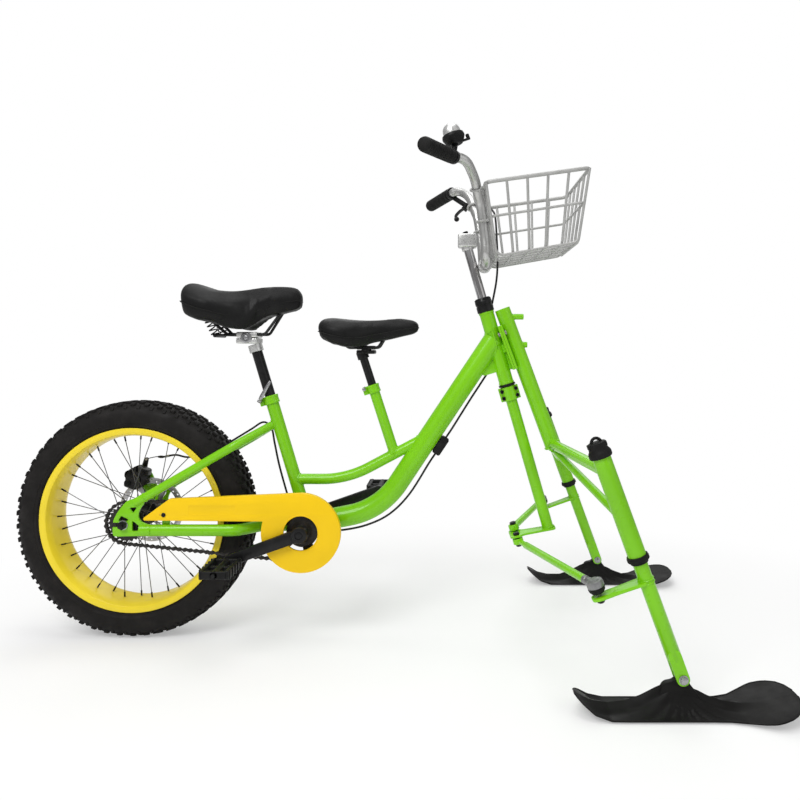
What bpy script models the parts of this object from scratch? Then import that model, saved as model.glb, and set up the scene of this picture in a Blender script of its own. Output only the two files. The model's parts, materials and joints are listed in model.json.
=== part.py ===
"""Snow bike: pedal-driven fat rear wheel, two steered skis in front, an adult and a child saddle.

Metres, +X forward, +Y to the rider's left, +Z up, heights above the snow. While the pieces are made, distances
along the bike are measured from the bottom bracket. The bike is moved at the end, so that its origin lies on the
snow under the middle of its length.
"""
import math

import bmesh
import bpy
from mathutils import Matrix, Vector

COLLECTION = "snow_bike"

# Clearances
FIT = 0.0003
RUNNING = 0.0008
SIDES = ((-1, "right"), (1, "left"))

# Wheel and drive layout
WHEEL_RADIUS = 0.280
WHEEL_STEPS = 36
BRACKET_HEIGHT = 0.2624
AXLE_SETBACK = 0.4085
CHAIN_LINE = 0.068
STAY_SPREAD = 0.085

# Tyre and rim
TYRE_WIDTH = 0.100
TYRE_WALL = 0.006
BEAD_RADIUS = 0.2036
RIM_WIDTH = 0.080
RIM_FLANGE_RADIUS = 0.2125
RIM_WALL = 0.003
RIM_BASE_RADIUS = 0.1990

# Hub, spokes and rotor
HUB_RADIUS = 0.016
HUB_FLANGE_RADIUS = 0.030
HUB_FLANGE_PLACE = 0.033
HUB_FLANGE_WALL = 0.004
HUB_LEFT_END = 0.0665
HUB_RIGHT_END = 0.0500
HUB_BORE = 0.0058
SPOKE_RADIUS = 0.0011
SPOKES_PER_SIDE = 18
SPOKE_SWEEP = math.radians(52)
SPOKE_HEAD_STEP = 0.0018
ROTOR_RADIUS = 0.080
ROTOR_HUB_RADIUS = 0.024
ROTOR_THICKNESS = 0.0020
ROTOR_PLACE = 0.068
ROTOR_WINDOWS = 6
AXLE_RADIUS = 0.0050
AXLE_HALF_LENGTH = 0.1050
AXLE_NUT_RADIUS = 0.0095
AXLE_NUT_LENGTH = 0.0100

# Chain, sprocket and crankset
CHAIN_PITCH = 0.0127
RING_TEETH = 36
SPROCKET_TEETH = 24
CHAIN_HEIGHT = 0.0085
CHAIN_WIDTH = 0.0085
TOOTH_DEPTH = 0.0045
SPROCKET_WALL = 0.0030
FREEWHEEL_RADIUS = 0.0290
FREEWHEEL_INNER_FACE = 0.0505
FREEWHEEL_OUTER_FACE = 0.0760
SHELL_RADIUS = 0.0210
SHELL_HALF_WIDTH = 0.0365
CUP_RADIUS = 0.0175
SPINDLE_RADIUS = 0.0085
SPINDLE_HALF_LENGTH = 0.1160
SPIDER_RADIUS = 0.0300
CRANK_LENGTH = 0.1700
CRANK_INNER_FACE = 0.0990
CRANK_THICKNESS = 0.0140
CRANK_BOSS_RADIUS = 0.0190
CRANK_EYE_RADIUS = 0.0130
CRANK_ANGLE = math.radians(200)
PEDAL_SPINDLE_RADIUS = 0.0045
PEDAL_SPINDLE_LENGTH = 0.1060
PEDAL_LENGTH = 0.0980
PEDAL_DEPTH = 0.0640
PEDAL_HEIGHT = 0.0200

# Chain guard
GUARD_FACE = 0.0950
GUARD_DEPTH = 0.0140
GUARD_WALL = 0.0025
GUARD_DISC_RADIUS = 0.0914
GUARD_HOLE_RADIUS = 0.0395
GUARD_TOP = 0.3540
GUARD_SHOULDER = (-0.3010, 0.3407)
GUARD_TIP = (-0.3601, 0.2924)
GUARD_TIP_RADIUS = 0.0040
GUARD_UNDERSIDE = 0.2890
GUARD_NECK = -0.1030
GUARD_SCREW = (-0.3132, 0.3047)
GUARD_SCREW_RADIUS = 0.0050
TAB_WIDTH = 0.0180
TAB_THICKNESS = 0.0030

# Main frame
SEAT_TUBE_LEAN = math.radians(16.75)
SEAT_TUBE_LENGTH = 0.3164
SEAT_TUBE_RADIUS = 0.0150
HEAD_RAKE = math.radians(16)
HEAD_TUBE_FOOT = Vector((0.4795, 0.0, 0.6000))
HEAD_TUBE_LENGTH = 0.1806
HEAD_TUBE_RADIUS = 0.0175
HEAD_TUBE_BORE = 0.0155
DOWN_TUBE_RADIUS = 0.0250
DOWN_TUBE_JOINT = 0.1122
DOWN_TUBE_CORNER = Vector((0.1747, 0.0, 0.2964))
DOWN_TUBE_BEND = 0.180
STEP_TUBE_RADIUS = 0.0127
STEP_TUBE_HEIGHT = 0.3695
STEP_TUBE_CORNER = 0.0935
STEP_TUBE_RISE = math.radians(27.9)
STEP_TUBE_BEND = 0.240
CHILD_TUBE_FOOT = Vector((0.2066, 0.0, 0.4346))
CHILD_TUBE_LEAN = math.radians(17.9)
CHILD_TUBE_LENGTH = 0.1654
CHILD_TUBE_RADIUS = 0.0125
SEAT_STAY_RADIUS = 0.0100
SEAT_STAY_FOOT = (-0.3826, 0.3299)
SEAT_STAY_KNEE = (-0.1500, 0.4641)
SEAT_STAY_TOP = (-0.0877, 0.5000)
CHAIN_STAY_RADIUS = 0.0108
CHAIN_STAY_TALL = 1.25
CHAIN_STAY_HEIGHT = 0.2672
CHAIN_STAY_FOOT = -0.3711
CHAIN_STAY_KNEE = -0.1500
CHAIN_STAY_NECK = (-0.0950, 0.0360)
DROPOUT_THICKNESS = 0.0060
SLOT_HALF_WIDTH = 0.0055
GUSSET_THICKNESS = 0.0120

# Dropout plate outline and windows, millimetres from the rear axle
DROPOUT_OUTLINE = ((-24.5, 7.3), (-13.1, 30.3), (7.6, 55.5), (36.0, 63.0), (50.0, 52.0), (37.0, 35.0),
                   (33.5, 19.0), (39.7, 7.3), (53.4, 1.6), (62.6, 0.5), (62.6, -24.8), (-24.5, -27.0))
DROPOUT_WINDOWS = (((13.3, 39.4), (31.6, 40.6), (22.5, 26.8)),
                   ((-11.9, 8.6), (-5.0, 21.1), (11.0, 13.1), (9.9, 8.6)),
                   ((20.2, 9.6), (25.9, 6.2), (45.4, -9.9), (42.0, -13.3), (20.2, -14.4)))
CALIPER_TAB_OUTLINE = ((-15.0, 26.0), (9.0, 52.0), (-8.0, 92.0), (-30.0, 100.0), (-58.0, 74.0), (-52.0, 58.0))

# Brake caliper, millimetres from the rear axle, and its arm
CALIPER_OUTLINE = ((-66.0, 60.0), (-38.0, 50.0), (-8.0, 66.0), (-4.0, 100.0), (-34.0, 112.0), (-64.0, 96.0))
CALIPER_INNER_FACE = 0.0560
CALIPER_SLOT_MARGIN = 0.0016
CALIPER_PIVOT = (-34.0, 82.0)
CALIPER_ARM_LENGTH = 0.0420
CALIPER_ARM_RADIUS = 0.0110
CALIPER_ARM_THICKNESS = 0.0060
CALIPER_ARM_ANGLE = math.radians(75)
CALIPER_PIN_RADIUS = 0.0040

# Seats
REAR_POST_RADIUS = 0.0127
REAR_POST_SHOWN = 0.1330
REAR_POST_INSERTED = 0.1400
REAR_POST_DROP = 0.0800
CHILD_POST_RADIUS = 0.0100
CHILD_POST_SHOWN = 0.0880
CHILD_POST_INSERTED = 0.0800
CHILD_POST_DROP = 0.0500
COLLAR_WALL = 0.0030
COLLAR_HEIGHT = 0.0200
COLLAR_EAR_REACH = 0.0100
COLLAR_EAR_WIDTH = 0.0140
COLLAR_ABOVE = 0.0060

# Adult saddle stations: place along the bike, half width, crown height, skirt height, hollow under the middle
REAR_SADDLE = ((-0.2830, 0.066, 0.8350, 0.7740, 0.004), (-0.2720, 0.086, 0.8395, 0.7620, 0.008),
               (-0.2450, 0.101, 0.8335, 0.7510, 0.012), (-0.2120, 0.100, 0.8235, 0.7430, 0.012),
               (-0.1720, 0.080, 0.8215, 0.7290, 0.013), (-0.1350, 0.054, 0.8270, 0.7270, 0.014),
               (-0.0950, 0.036, 0.8345, 0.7540, 0.006), (-0.0550, 0.028, 0.8385, 0.7700, 0.002),
               (-0.0280, 0.024, 0.8350, 0.7780, 0.002), (-0.0145, 0.017, 0.8200, 0.7870, 0.002))
# Child saddle stations, as above
CHILD_SADDLE = ((0.0300, 0.050, 0.7500, 0.7130, 0.004), (0.0420, 0.068, 0.7580, 0.7030, 0.007),
                (0.0680, 0.081, 0.7570, 0.6930, 0.009), (0.1020, 0.078, 0.7535, 0.6860, 0.012),
                (0.1350, 0.060, 0.7515, 0.6890, 0.010), (0.1650, 0.042, 0.7520, 0.6990, 0.005),
                (0.2000, 0.032, 0.7545, 0.7080, 0.003), (0.2350, 0.027, 0.7575, 0.7170, 0.002),
                (0.2580, 0.023, 0.7560, 0.7220, 0.002), (0.2690, 0.016, 0.7480, 0.7290, 0.002))
REAR_CLAMP_CENTRE = Vector((-0.1430, 0.0, 0.7110))
REAR_CLAMP_SIZE = (0.0500, 0.0560, 0.0280)
CHILD_CLAMP_CENTRE = Vector((0.1400, 0.0, 0.6820))
CHILD_CLAMP_SIZE = (0.0440, 0.0440, 0.0200)
RAIL_RADIUS = 0.0035
REAR_RAIL = ((-0.2500, 0.036, 0.7750), (-0.1900, 0.022, 0.7190), (-0.1000, 0.022, 0.7190), (-0.0600, 0.010, 0.7780))
CHILD_RAIL = ((0.0600, 0.028, 0.7180), (0.1000, 0.017, 0.6870), (0.1820, 0.017, 0.6870), (0.2200, 0.009, 0.7240))
QUICK_RELEASE_LENGTH = 0.0540
QUICK_RELEASE_RADIUS = 0.0058
QUICK_RELEASE_BLADE = 0.0034
QUICK_RELEASE_WAY = Vector((0.0266, 0.0, 0.0485)).normalized()

# Steering column, quill stem and headset
COLUMN_RADIUS = 0.0135
COLUMN_BORE = 0.0118
COLUMN_BELOW = 0.3635
COLUMN_ABOVE = 0.2020
HEADSET_RADIUS = 0.0205
HEADSET_TOP_HEIGHT = 0.0350
HEADSET_BOTTOM_HEIGHT = 0.0060
QUILL_RADIUS = 0.0111
QUILL_FOOT = 0.1300
STEM_BLOCK_PLACE = 0.3430
STEM_BLOCK_HEIGHT = 0.0330
STEM_BLOCK_LENGTH = 0.0460
STEM_BLOCK_WIDTH = 0.0360
STEM_CLAMP_RADIUS = 0.0165
STEM_CLAMP_WIDTH = 0.0340
CLAMP_RING_HEIGHT = 0.0340
CLAMP_RING_WALL = 0.0040
CLAMP_RING_BOLT_RADIUS = 0.0045

# Pitman plate under the column
PITMAN_LENGTH = 0.0790
PITMAN_SLOPE = math.radians(10)
PITMAN_THICKNESS = 0.0050
PITMAN_HALF_WIDTH = 0.0180
PITMAN_SPREAD = 0.0200
PITMAN_END_RADIUS = 0.0160
PIN_RADIUS = 0.0040
PIN_HEAD_RADIUS = 0.0075
PIN_HEAD_HEIGHT = 0.0060

# Handlebar: half of its centre line, from the middle of the clamp outwards
BAR_RADIUS = 0.0110
BAR_CLAMP = Vector((0.4259, 0.0, 0.8853))
BAR_LINE = ((0.4259, 0.022, 0.8853), (0.4259, 0.050, 0.8853), (0.4250, 0.0735, 0.9020), (0.4216, 0.0750, 0.9478),
            (0.4131, 0.082, 1.0111), (0.4056, 0.095, 1.0359), (0.3993, 0.110, 1.0620), (0.3895, 0.130, 1.0818), (0.3788, 0.152, 1.0950),
            (0.3652, 0.163, 1.1015), (0.3515, 0.1705, 1.1008))
BAR_STEPS = 2
GRIP_END = Vector((0.2888, 0.302, 1.0917))
GRIP_LENGTH = 0.1280
GRIP_RADIUS = 0.0160
GRIP_BORE_DEPTH = 0.1220

# Bell, brake lever and their clamps
BELL_BASE_RADIUS = 0.0250
BELL_BASE_HEIGHT = 0.0240
BELL_DOME_RADIUS = 0.0200
BELL_DOME_HEIGHT = 0.0250
BELL_LEAN = math.radians(18)
BELL_CENTRE = Vector((0.3540, -0.1700, 1.1290))
BAR_CLAMP_WIDTH = 0.0120
BAR_CLAMP_WALL = 0.0040
BELL_LEVER_LENGTH = 0.0180
BELL_LEVER_HUB = 0.0080
BELL_PIN_RADIUS = 0.0018
BELL_EAR_THICKNESS = 0.0040
LEVER_PIVOT = Vector((0.3860, 0.1700, 1.0610))
LEVER_LINE = ((0.3790, 0.195, 1.0620), (0.3690, 0.225, 1.0600), (0.3603, 0.250, 1.0537), (0.3625, 0.270, 1.0485))
LEVER_WAY = Vector((-0.20, 1.0, 0.0)).normalized()
LEVER_AXIS = Vector((1.0, 0.0, 1.0)).normalized()
LEVER_RADIUS = 0.0045

# Basket
BASKET_WIRE = 0.0050
BASKET_RIM_REAR = (0.4205, 1.0525)
BASKET_RIM_FRONT = (0.6500, 1.0840)
BASKET_FLOOR_REAR = (0.4470, 0.8930)
BASKET_FLOOR_FRONT = (0.6300, 0.9250)
BASKET_RIM_HALF_WIDTH = 0.1500
BASKET_FLOOR_HALF_WIDTH = 0.1200
BASKET_CELLS_LONG = 5
BASKET_CELLS_WIDE = 6
BASKET_MID_WIRE = 0.54
BASKET_RIM_RADIUS = 0.0040
HOOK_WIRE_RADIUS = 0.0024

# Ski frame
FRONT_TUBE_RADIUS = 0.0185
FRONT_TUBE_RAKE = math.radians(20.25)
FRONT_TUBE_TOP = Vector((0.4686, 0.0, 0.7808))
FRONT_TUBE_LENGTH = 0.3560
FLANGE_START = 0.0360
FLANGE_LENGTH = 0.1100
FLANGE_WIDTH = 0.0600
FLANGE_OFFSET = 0.0225
FLANGE_THICKNESS = 0.0050
BOSS_HEIGHT = 0.0200
BOSS_WIDTH = 0.0240
SUBFRAME_BOLT_RADIUS = 0.0040
SUBFRAME_BOLT_HEAD = 0.0065
SUBFRAME_BOLT_SPREAD = 0.0225
SUBFRAME_BOLT_DROP = 0.0200
FRONT_BOSS_RADIUS = 0.0070
FRONT_BOSS_LENGTH = 0.0200
STRUT_RADIUS = 0.0120
STRUT_HEIGHT = 0.4550
BRACE_RADIUS = 0.0085
BRACE_TOP = (0.5970, 0.0300, 0.4370)
BRACE_DROP = 0.1280
SKI_TRACK = 0.7440
LEG_RAKE = math.radians(20)
HOUSING_TOP = (0.6258, 0.4798)
HOUSING_LENGTH = 0.1993
HOUSING_RADIUS = 0.0178
HOUSING_BORE = 0.0152
LEG_RADIUS = 0.0142
CAP_RADIUS = 0.0225
CAP_HEIGHT = 0.0300
CAP_PLUG_DEPTH = 0.0080
CAP_LOOP_RADIUS = 0.0100
SEAL_RADIUS = 0.0215
SEAL_BELOW = 0.0125
SEAL_ABOVE = 0.0045

# Ski legs and steering arms
PIVOT_HEIGHT = 0.0650
FORK_EAR_GAP = 0.0090
FORK_EAR_WALL = 0.0046
FORK_EAR_RADIUS = 0.0125
FORK_EAR_LENGTH = 0.0360
SKI_BOLT_RADIUS = 0.0040
SKI_BOLT_HEAD = 0.0075
ARM_LENGTH = 0.0930
ARM_PLACE = 0.0480
ARM_HALF_WIDTH = 0.0160
ARM_THICKNESS = 0.0060
BOOT_RADIUS = 0.0165
BOOT_HEIGHT = 0.0280
BOOT_ROOF = 0.0030
BOOT_BORE = 0.0090
BOOT_LIFT = 0.0060
TIE_ROD_RADIUS = 0.0080
ROD_EYE_RADIUS = 0.0125
ROD_EYE_HEIGHT = 0.0130
ROD_EYE_GAP = 0.0030

# Skis: stations along the ski, as fractions of its length from the tail: sole, half width, edge and crown heights
SKI_REAR_REACH = 0.2035
SKI_FRONT_REACH = 0.2150
SKI_STATIONS = ((0.0000, 0.0350, 0.0150, 0.0385, 0.0400), (0.0350, 0.0230, 0.0310, 0.0270, 0.0300),
                (0.0800, 0.0090, 0.0410, 0.0135, 0.0215), (0.1500, 0.0000, 0.0450, 0.0055, 0.0175),
                (0.2300, 0.0000, 0.0460, 0.0050, 0.0210), (0.3000, 0.0000, 0.0460, 0.0050, 0.0315),
                (0.3700, 0.0000, 0.0460, 0.0050, 0.0465), (0.4250, 0.0000, 0.0460, 0.0050, 0.0560),
                (0.4700, 0.0000, 0.0460, 0.0050, 0.0495), (0.5200, 0.0000, 0.0460, 0.0050, 0.0460),
                (0.5600, 0.0000, 0.0460, 0.0050, 0.0400), (0.6000, 0.0000, 0.0460, 0.0050, 0.0310),
                (0.6700, 0.0000, 0.0470, 0.0050, 0.0205), (0.7400, 0.0010, 0.0540, 0.0060, 0.0165),
                (0.8000, 0.0050, 0.0660, 0.0105, 0.0165), (0.8700, 0.0130, 0.0750, 0.0185, 0.0205),
                (0.9400, 0.0215, 0.0640, 0.0270, 0.0290), (1.0000, 0.0290, 0.0330, 0.0345, 0.0355))
SKI_TONGUE_HALF_WIDTH = 0.0075
SKI_TONGUE_RADIUS = 0.0120

# Brake cable
CABLE_RADIUS = 0.0025
FRONT_CABLE = ((0.3920, 0.1500, 1.0620), (0.4100, 0.1280, 1.0640), (0.4190, 0.1020, 1.0660), (0.4320, 0.0750, 1.0540),
               (0.4472, 0.0550, 1.0320), (0.4546, 0.0420, 1.0120), (0.4575, 0.0280, 0.9560), (0.4590, 0.0215, 0.9000),
               (0.4560, 0.0225, 0.8500), (0.4460, 0.0270, 0.7950))
REAR_CABLE = ((0.2440, 0.0000, 0.3330), (0.1960, 0.0000, 0.2850), (0.1400, 0.0000, 0.2580), (0.0750, 0.0040, 0.2440),
              (0.0000, 0.0200, 0.2360), (-0.0400, 0.0450, 0.2500), (-0.0560, 0.0480, 0.3000), (-0.0780, 0.0360, 0.3900),
              (-0.0930, 0.0440, 0.4500), (-0.1050, 0.0600, 0.4860), (-0.1300, 0.0760, 0.4990), (-0.1700, 0.0900, 0.4760),
              (-0.2500, 0.0930, 0.4300), (-0.3200, 0.0950, 0.4080), (-0.3585, 0.0960, 0.4130), (-0.3900, 0.0960, 0.4080))
UPPER_CABLE = ((0.4460, 0.0270, 0.7940), (0.4425, 0.0295, 0.7600), (0.4455, 0.0305, 0.7100), (0.4470, 0.0260, 0.6680),
               (0.4420, 0.0165, 0.6400), (0.4200, 0.0080, 0.6050), (0.3900, 0.0000, 0.5600))
CABLE_BOX_LENGTH = 0.0480
CABLE_BOX_WIDTH = 0.0240
CABLE_BOX_DEPTH = 0.0200
CABLE_BOX_HEIGHT = 0.4700

# Colours, roughness and metallic value of each finish
FINISHES = {
    "green_paint": ((0.19, 0.62, 0.02), 0.25, 0.0),
    "yellow_plastic": ((0.93, 0.65, 0.02), 0.45, 0.0),
    "yellow_paint": ((0.95, 0.72, 0.05), 0.35, 0.0),
    "tyre_rubber": ((0.02, 0.02, 0.02), 0.85, 0.0),
    "black_plastic": ((0.02, 0.02, 0.02), 0.5, 0.0),
    "black_vinyl": ((0.015, 0.015, 0.015), 0.4, 0.0),
    "black_steel": ((0.03, 0.03, 0.03), 0.4, 0.6),
    "steel": ((0.6, 0.6, 0.6), 0.3, 1.0),
    "chrome": ((0.8, 0.8, 0.8), 0.12, 1.0),
    "satin_silver": ((0.7, 0.7, 0.7), 0.35, 1.0),
    "white_wire": ((0.85, 0.85, 0.83), 0.4, 0.2),
}

SIDE_VIEW = Matrix.Rotation(math.radians(90), 4, "X")
REAR_AXLE = Vector((-AXLE_SETBACK, 0.0, WHEEL_RADIUS))
BRACKET = Vector((0.0, 0.0, BRACKET_HEIGHT))
COLUMN_UP = Vector((-math.sin(HEAD_RAKE), 0.0, math.cos(HEAD_RAKE)))
SEAT_UP = Vector((-math.sin(SEAT_TUBE_LEAN), 0.0, math.cos(SEAT_TUBE_LEAN)))
CHILD_UP = Vector((-math.sin(CHILD_TUBE_LEAN), 0.0, math.cos(CHILD_TUBE_LEAN)))
FRONT_TUBE_DOWN = Vector((math.sin(FRONT_TUBE_RAKE), 0.0, -math.cos(FRONT_TUBE_RAKE)))
LEG_DOWN = Vector((math.sin(LEG_RAKE), 0.0, -math.cos(LEG_RAKE)))
SEAT_TUBE_TOP = BRACKET + SEAT_UP * SEAT_TUBE_LENGTH
CHILD_TUBE_TOP = CHILD_TUBE_FOOT + CHILD_UP * CHILD_TUBE_LENGTH
HEAD_TUBE_TOP = HEAD_TUBE_FOOT + COLUMN_UP * HEAD_TUBE_LENGTH
BAR_HANGER = HEAD_TUBE_FOOT + COLUMN_UP * STEM_BLOCK_PLACE
RING_RADIUS = CHAIN_PITCH / (2 * math.sin(math.pi / RING_TEETH))
SPROCKET_RADIUS = CHAIN_PITCH / (2 * math.sin(math.pi / SPROCKET_TEETH))


# Scene and finishes

def clear_scene():
    for thing in list(bpy.data.objects):
        bpy.data.objects.remove(thing)


def new_collection(name):
    folder = bpy.data.collections.new(name)
    bpy.context.scene.collection.children.link(folder)
    return folder


def make_material(name):
    colour, roughness, metallic = FINISHES[name]
    finish = bpy.data.materials.new(name)
    finish.use_nodes = True
    shader = finish.node_tree.nodes["Principled BSDF"]
    shader.inputs["Base Color"].default_value = (*colour, 1.0)
    shader.inputs["Roughness"].default_value = roughness
    shader.inputs["Metallic"].default_value = metallic
    finish.diffuse_color = (*colour, 1.0)
    return finish


# Modelling helpers: each returns an object with its shape in the bike's own frame

def add_object(name, data):
    thing = bpy.data.objects.new(name, data)
    bpy.data.collections[COLLECTION].objects.link(thing)
    return thing


def evaluated_mesh(thing):
    bpy.context.view_layer.update()
    graph = bpy.context.evaluated_depsgraph_get()
    return bpy.data.meshes.new_from_object(thing.evaluated_get(graph))


def frozen(thing, matrix=None):
    """Replaces a curve, or a mesh with modifiers, by its welded closed mesh."""
    mesh = evaluated_mesh(thing)
    name = thing.name
    bpy.data.objects.remove(thing)
    form = bmesh.new()
    form.from_mesh(mesh)
    bmesh.ops.remove_doubles(form, verts=form.verts, dist=1e-6)
    if matrix is not None:
        bmesh.ops.transform(form, matrix=matrix, verts=form.verts)
    bmesh.ops.recalc_face_normals(form, faces=form.faces)
    form.to_mesh(mesh)
    form.free()
    mesh.materials.clear()
    return add_object(name, mesh)


def rod(name, start, end, radius, sides=16):
    """A round bar between two points."""
    start = Vector(start)
    run = Vector(end) - start
    form = bmesh.new()
    bmesh.ops.create_cone(form, cap_ends=True, segments=sides, radius1=radius, radius2=radius, depth=run.length)
    turn = Vector((0, 0, 1)).rotation_difference(run).to_matrix().to_4x4()
    bmesh.ops.transform(form, matrix=Matrix.Translation(start + run / 2) @ turn, verts=form.verts)
    mesh = bpy.data.meshes.new(name)
    form.to_mesh(mesh)
    form.free()
    return add_object(name, mesh)


def block(name, size, place, turn=None):
    """A box of a given size, centred on a point."""
    form = bmesh.new()
    bmesh.ops.create_cube(form, size=1.0)
    matrix = Matrix.Translation(place) @ (turn or Matrix()) @ Matrix.Diagonal((*size, 1.0))
    bmesh.ops.transform(form, matrix=matrix, verts=form.verts)
    mesh = bpy.data.meshes.new(name)
    form.to_mesh(mesh)
    form.free()
    return add_object(name, mesh)


def turned(name, profile, origin, axis, steps=24, closed=False):
    """A turned shape: (radius, height) points down its outer side, spun about an axis by a Screw modifier."""
    mesh = bpy.data.meshes.new(name)
    points = [(radius, 0.0, height) for radius, height in profile]
    edges = [(i, i + 1) for i in range(len(points) - 1)]
    if closed:
        edges.append((len(points) - 1, 0))
    mesh.from_pydata(points, edges, [])
    thing = add_object(name, mesh)
    screw = thing.modifiers.new("Turn", "SCREW")
    screw.steps = steps
    screw.render_steps = steps
    screw.use_merge_vertices = True
    screw.merge_threshold = 0.00001
    turn = Vector((0, 0, 1)).rotation_difference(Vector(axis)).to_matrix().to_4x4()
    return frozen(thing, Matrix.Translation(origin) @ turn)


def tube(name, points, radius, resolution=4):
    """A bent tube of one radius along a list of points, with 4 + 2 * resolution sides."""
    curve = bpy.data.curves.new(name, "CURVE")
    curve.dimensions = "3D"
    curve.bevel_depth = radius
    curve.bevel_resolution = resolution
    curve.use_fill_caps = True
    spline = curve.splines.new("POLY")
    spline.points.add(len(points) - 1)
    for knot, place in zip(spline.points, points):
        knot.co = (*place, 1.0)
    return frozen(add_object(name, curve))


def plate(name, outlines, thickness, matrix):
    """A flat plate: its first outline, less the other outlines, given a thickness about its middle."""
    curve = bpy.data.curves.new(name, "CURVE")
    curve.dimensions = "2D"
    curve.fill_mode = "BOTH"
    curve.extrude = thickness / 2
    for outline in outlines:
        spline = curve.splines.new("POLY")
        spline.points.add(len(outline) - 1)
        for knot, place in zip(spline.points, outline):
            knot.co = (place[0], place[1], 0.0, 1.0)
        spline.use_cyclic_u = True
    return frozen(add_object(name, curve), matrix)


def loft(name, sections):
    """A skin through sections of equal point counts, with its two ends filled."""
    form = bmesh.new()
    rings = [[form.verts.new(point) for point in section] for section in sections]
    count = len(rings[0])
    for first, second in zip(rings, rings[1:]):
        for i in range(count):
            j = (i + 1) % count
            form.faces.new((first[i], first[j], second[j], second[i]))
    form.faces.new(rings[0])
    form.faces.new(rings[-1])
    bmesh.ops.recalc_face_normals(form, faces=form.faces)
    mesh = bpy.data.meshes.new(name)
    form.to_mesh(mesh)
    form.free()
    return add_object(name, mesh)


def combine(target, tools, operation):
    """Joins solids to a target, or cuts them from it, and removes them."""
    for tool in tools:
        step = target.modifiers.new(operation.title(), "BOOLEAN")
        step.operation = operation
        step.solver = "EXACT"
        step.object = tool
    mesh = evaluated_mesh(target)
    target.modifiers.clear()
    target.data = mesh
    for tool in tools:
        bpy.data.objects.remove(tool)
    return target


def joined(target, *tools):
    return combine(target, tools, "UNION")


def cut(target, *tools):
    return combine(target, tools, "DIFFERENCE")


# Outlines and paths

def circle(centre, radius, count=24, start=0.0, sweep=2 * math.pi):
    """Points on a circle, or on an arc with both of its ends."""
    full = abs(abs(sweep) - 2 * math.pi) < 1e-9
    steps = count if full else count - 1
    angles = [start + sweep * i / steps for i in range(count)]
    return [(centre[0] + radius * math.cos(a), centre[1] + radius * math.sin(a)) for a in angles]


def bent(points, radius, steps=6):
    """A polyline with its corners rounded to a bend radius."""
    points = [Vector(point) for point in points]
    path = [points[0]]
    for before, corner, after in zip(points, points[1:], points[2:]):
        back = (before - corner).normalized()
        ahead = (after - corner).normalized()
        half = back.angle(ahead) / 2
        reach = radius / math.tan(half)
        centre = corner + (back + ahead).normalized() * (radius / math.sin(half))
        first = corner + back * reach - centre
        last = corner + ahead * reach - centre
        for i in range(steps + 1):
            path.append(centre + first.lerp(last, i / steps).normalized() * radius)
    path.append(points[-1])
    return path


def flowing(points, steps=4):
    """A smooth curve through every point, as a list of points."""
    points = [Vector(point) for point in points]
    ends = [points[0] * 2 - points[1]] + points + [points[-1] * 2 - points[-2]]
    path = []
    for p0, p1, p2, p3 in zip(ends, ends[1:], ends[2:], ends[3:]):
        for i in range(steps):
            t = i / steps
            path.append(0.5 * (2 * p1 + (p2 - p0) * t + (2 * p0 - 5 * p1 + 4 * p2 - p3) * t ** 2
                               + (3 * p1 - p0 - 3 * p2 + p3) * t ** 3))
    path.append(points[-1])
    return path


def mirrored(points):
    return [Vector((x, -y, z)) for x, y, z in points]


def from_axle(point, side):
    """A point given in millimetres from the rear axle, at a distance to the side."""
    return Vector((REAR_AXLE.x + point[0] / 1000, side, REAR_AXLE.z + point[1] / 1000))


def axle_plate(name, outlines, thickness, side):
    """A plate square to the rear axle, its outlines in millimetres from the axle."""
    flat = [[(REAR_AXLE.x + x / 1000, REAR_AXLE.z + z / 1000) for x, z in outline] for outline in outlines]
    return plate(name, flat, thickness, Matrix.Translation((0, side, 0)) @ SIDE_VIEW)


# Rear wheel

def make_tyre():
    outer = WHEEL_RADIUS
    half = TYRE_WIDTH / 2
    bead = RIM_WIDTH / 2 - RIM_WALL - FIT
    middle = (outer + BEAD_RADIUS) / 2 + 0.004
    shape = [(outer, 0.0), (outer - 0.005, 0.62 * half), (outer - 0.020, 0.92 * half), (middle, half),
             (RIM_FLANGE_RADIUS + 0.001, bead), (BEAD_RADIUS, bead), (BEAD_RADIUS, bead - TYRE_WALL),
             (middle, half - TYRE_WALL), (outer - 0.022, 0.72 * half), (outer - 0.013, 0.0)]
    lower = [(radius, -height) for radius, height in shape[1:-1]][::-1]
    return turned("tyre", shape + lower, REAR_AXLE, (0, 1, 0), steps=WHEEL_STEPS, closed=True)


def make_rim():
    half = RIM_WIDTH / 2
    seat = BEAD_RADIUS - FIT
    shape = [(RIM_FLANGE_RADIUS, half), (RIM_FLANGE_RADIUS, half - RIM_WALL), (seat, half - RIM_WALL),
             (RIM_BASE_RADIUS, half - 0.016)]
    inner = [(RIM_BASE_RADIUS - RIM_WALL, half - 0.016), (seat - RIM_WALL, half)]
    profile = shape + [(r, -h) for r, h in shape[::-1]] + [(r, -h) for r, h in inner[::-1]] + inner
    return turned("rim", profile, REAR_AXLE, (0, 1, 0), steps=WHEEL_STEPS, closed=True)


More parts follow.
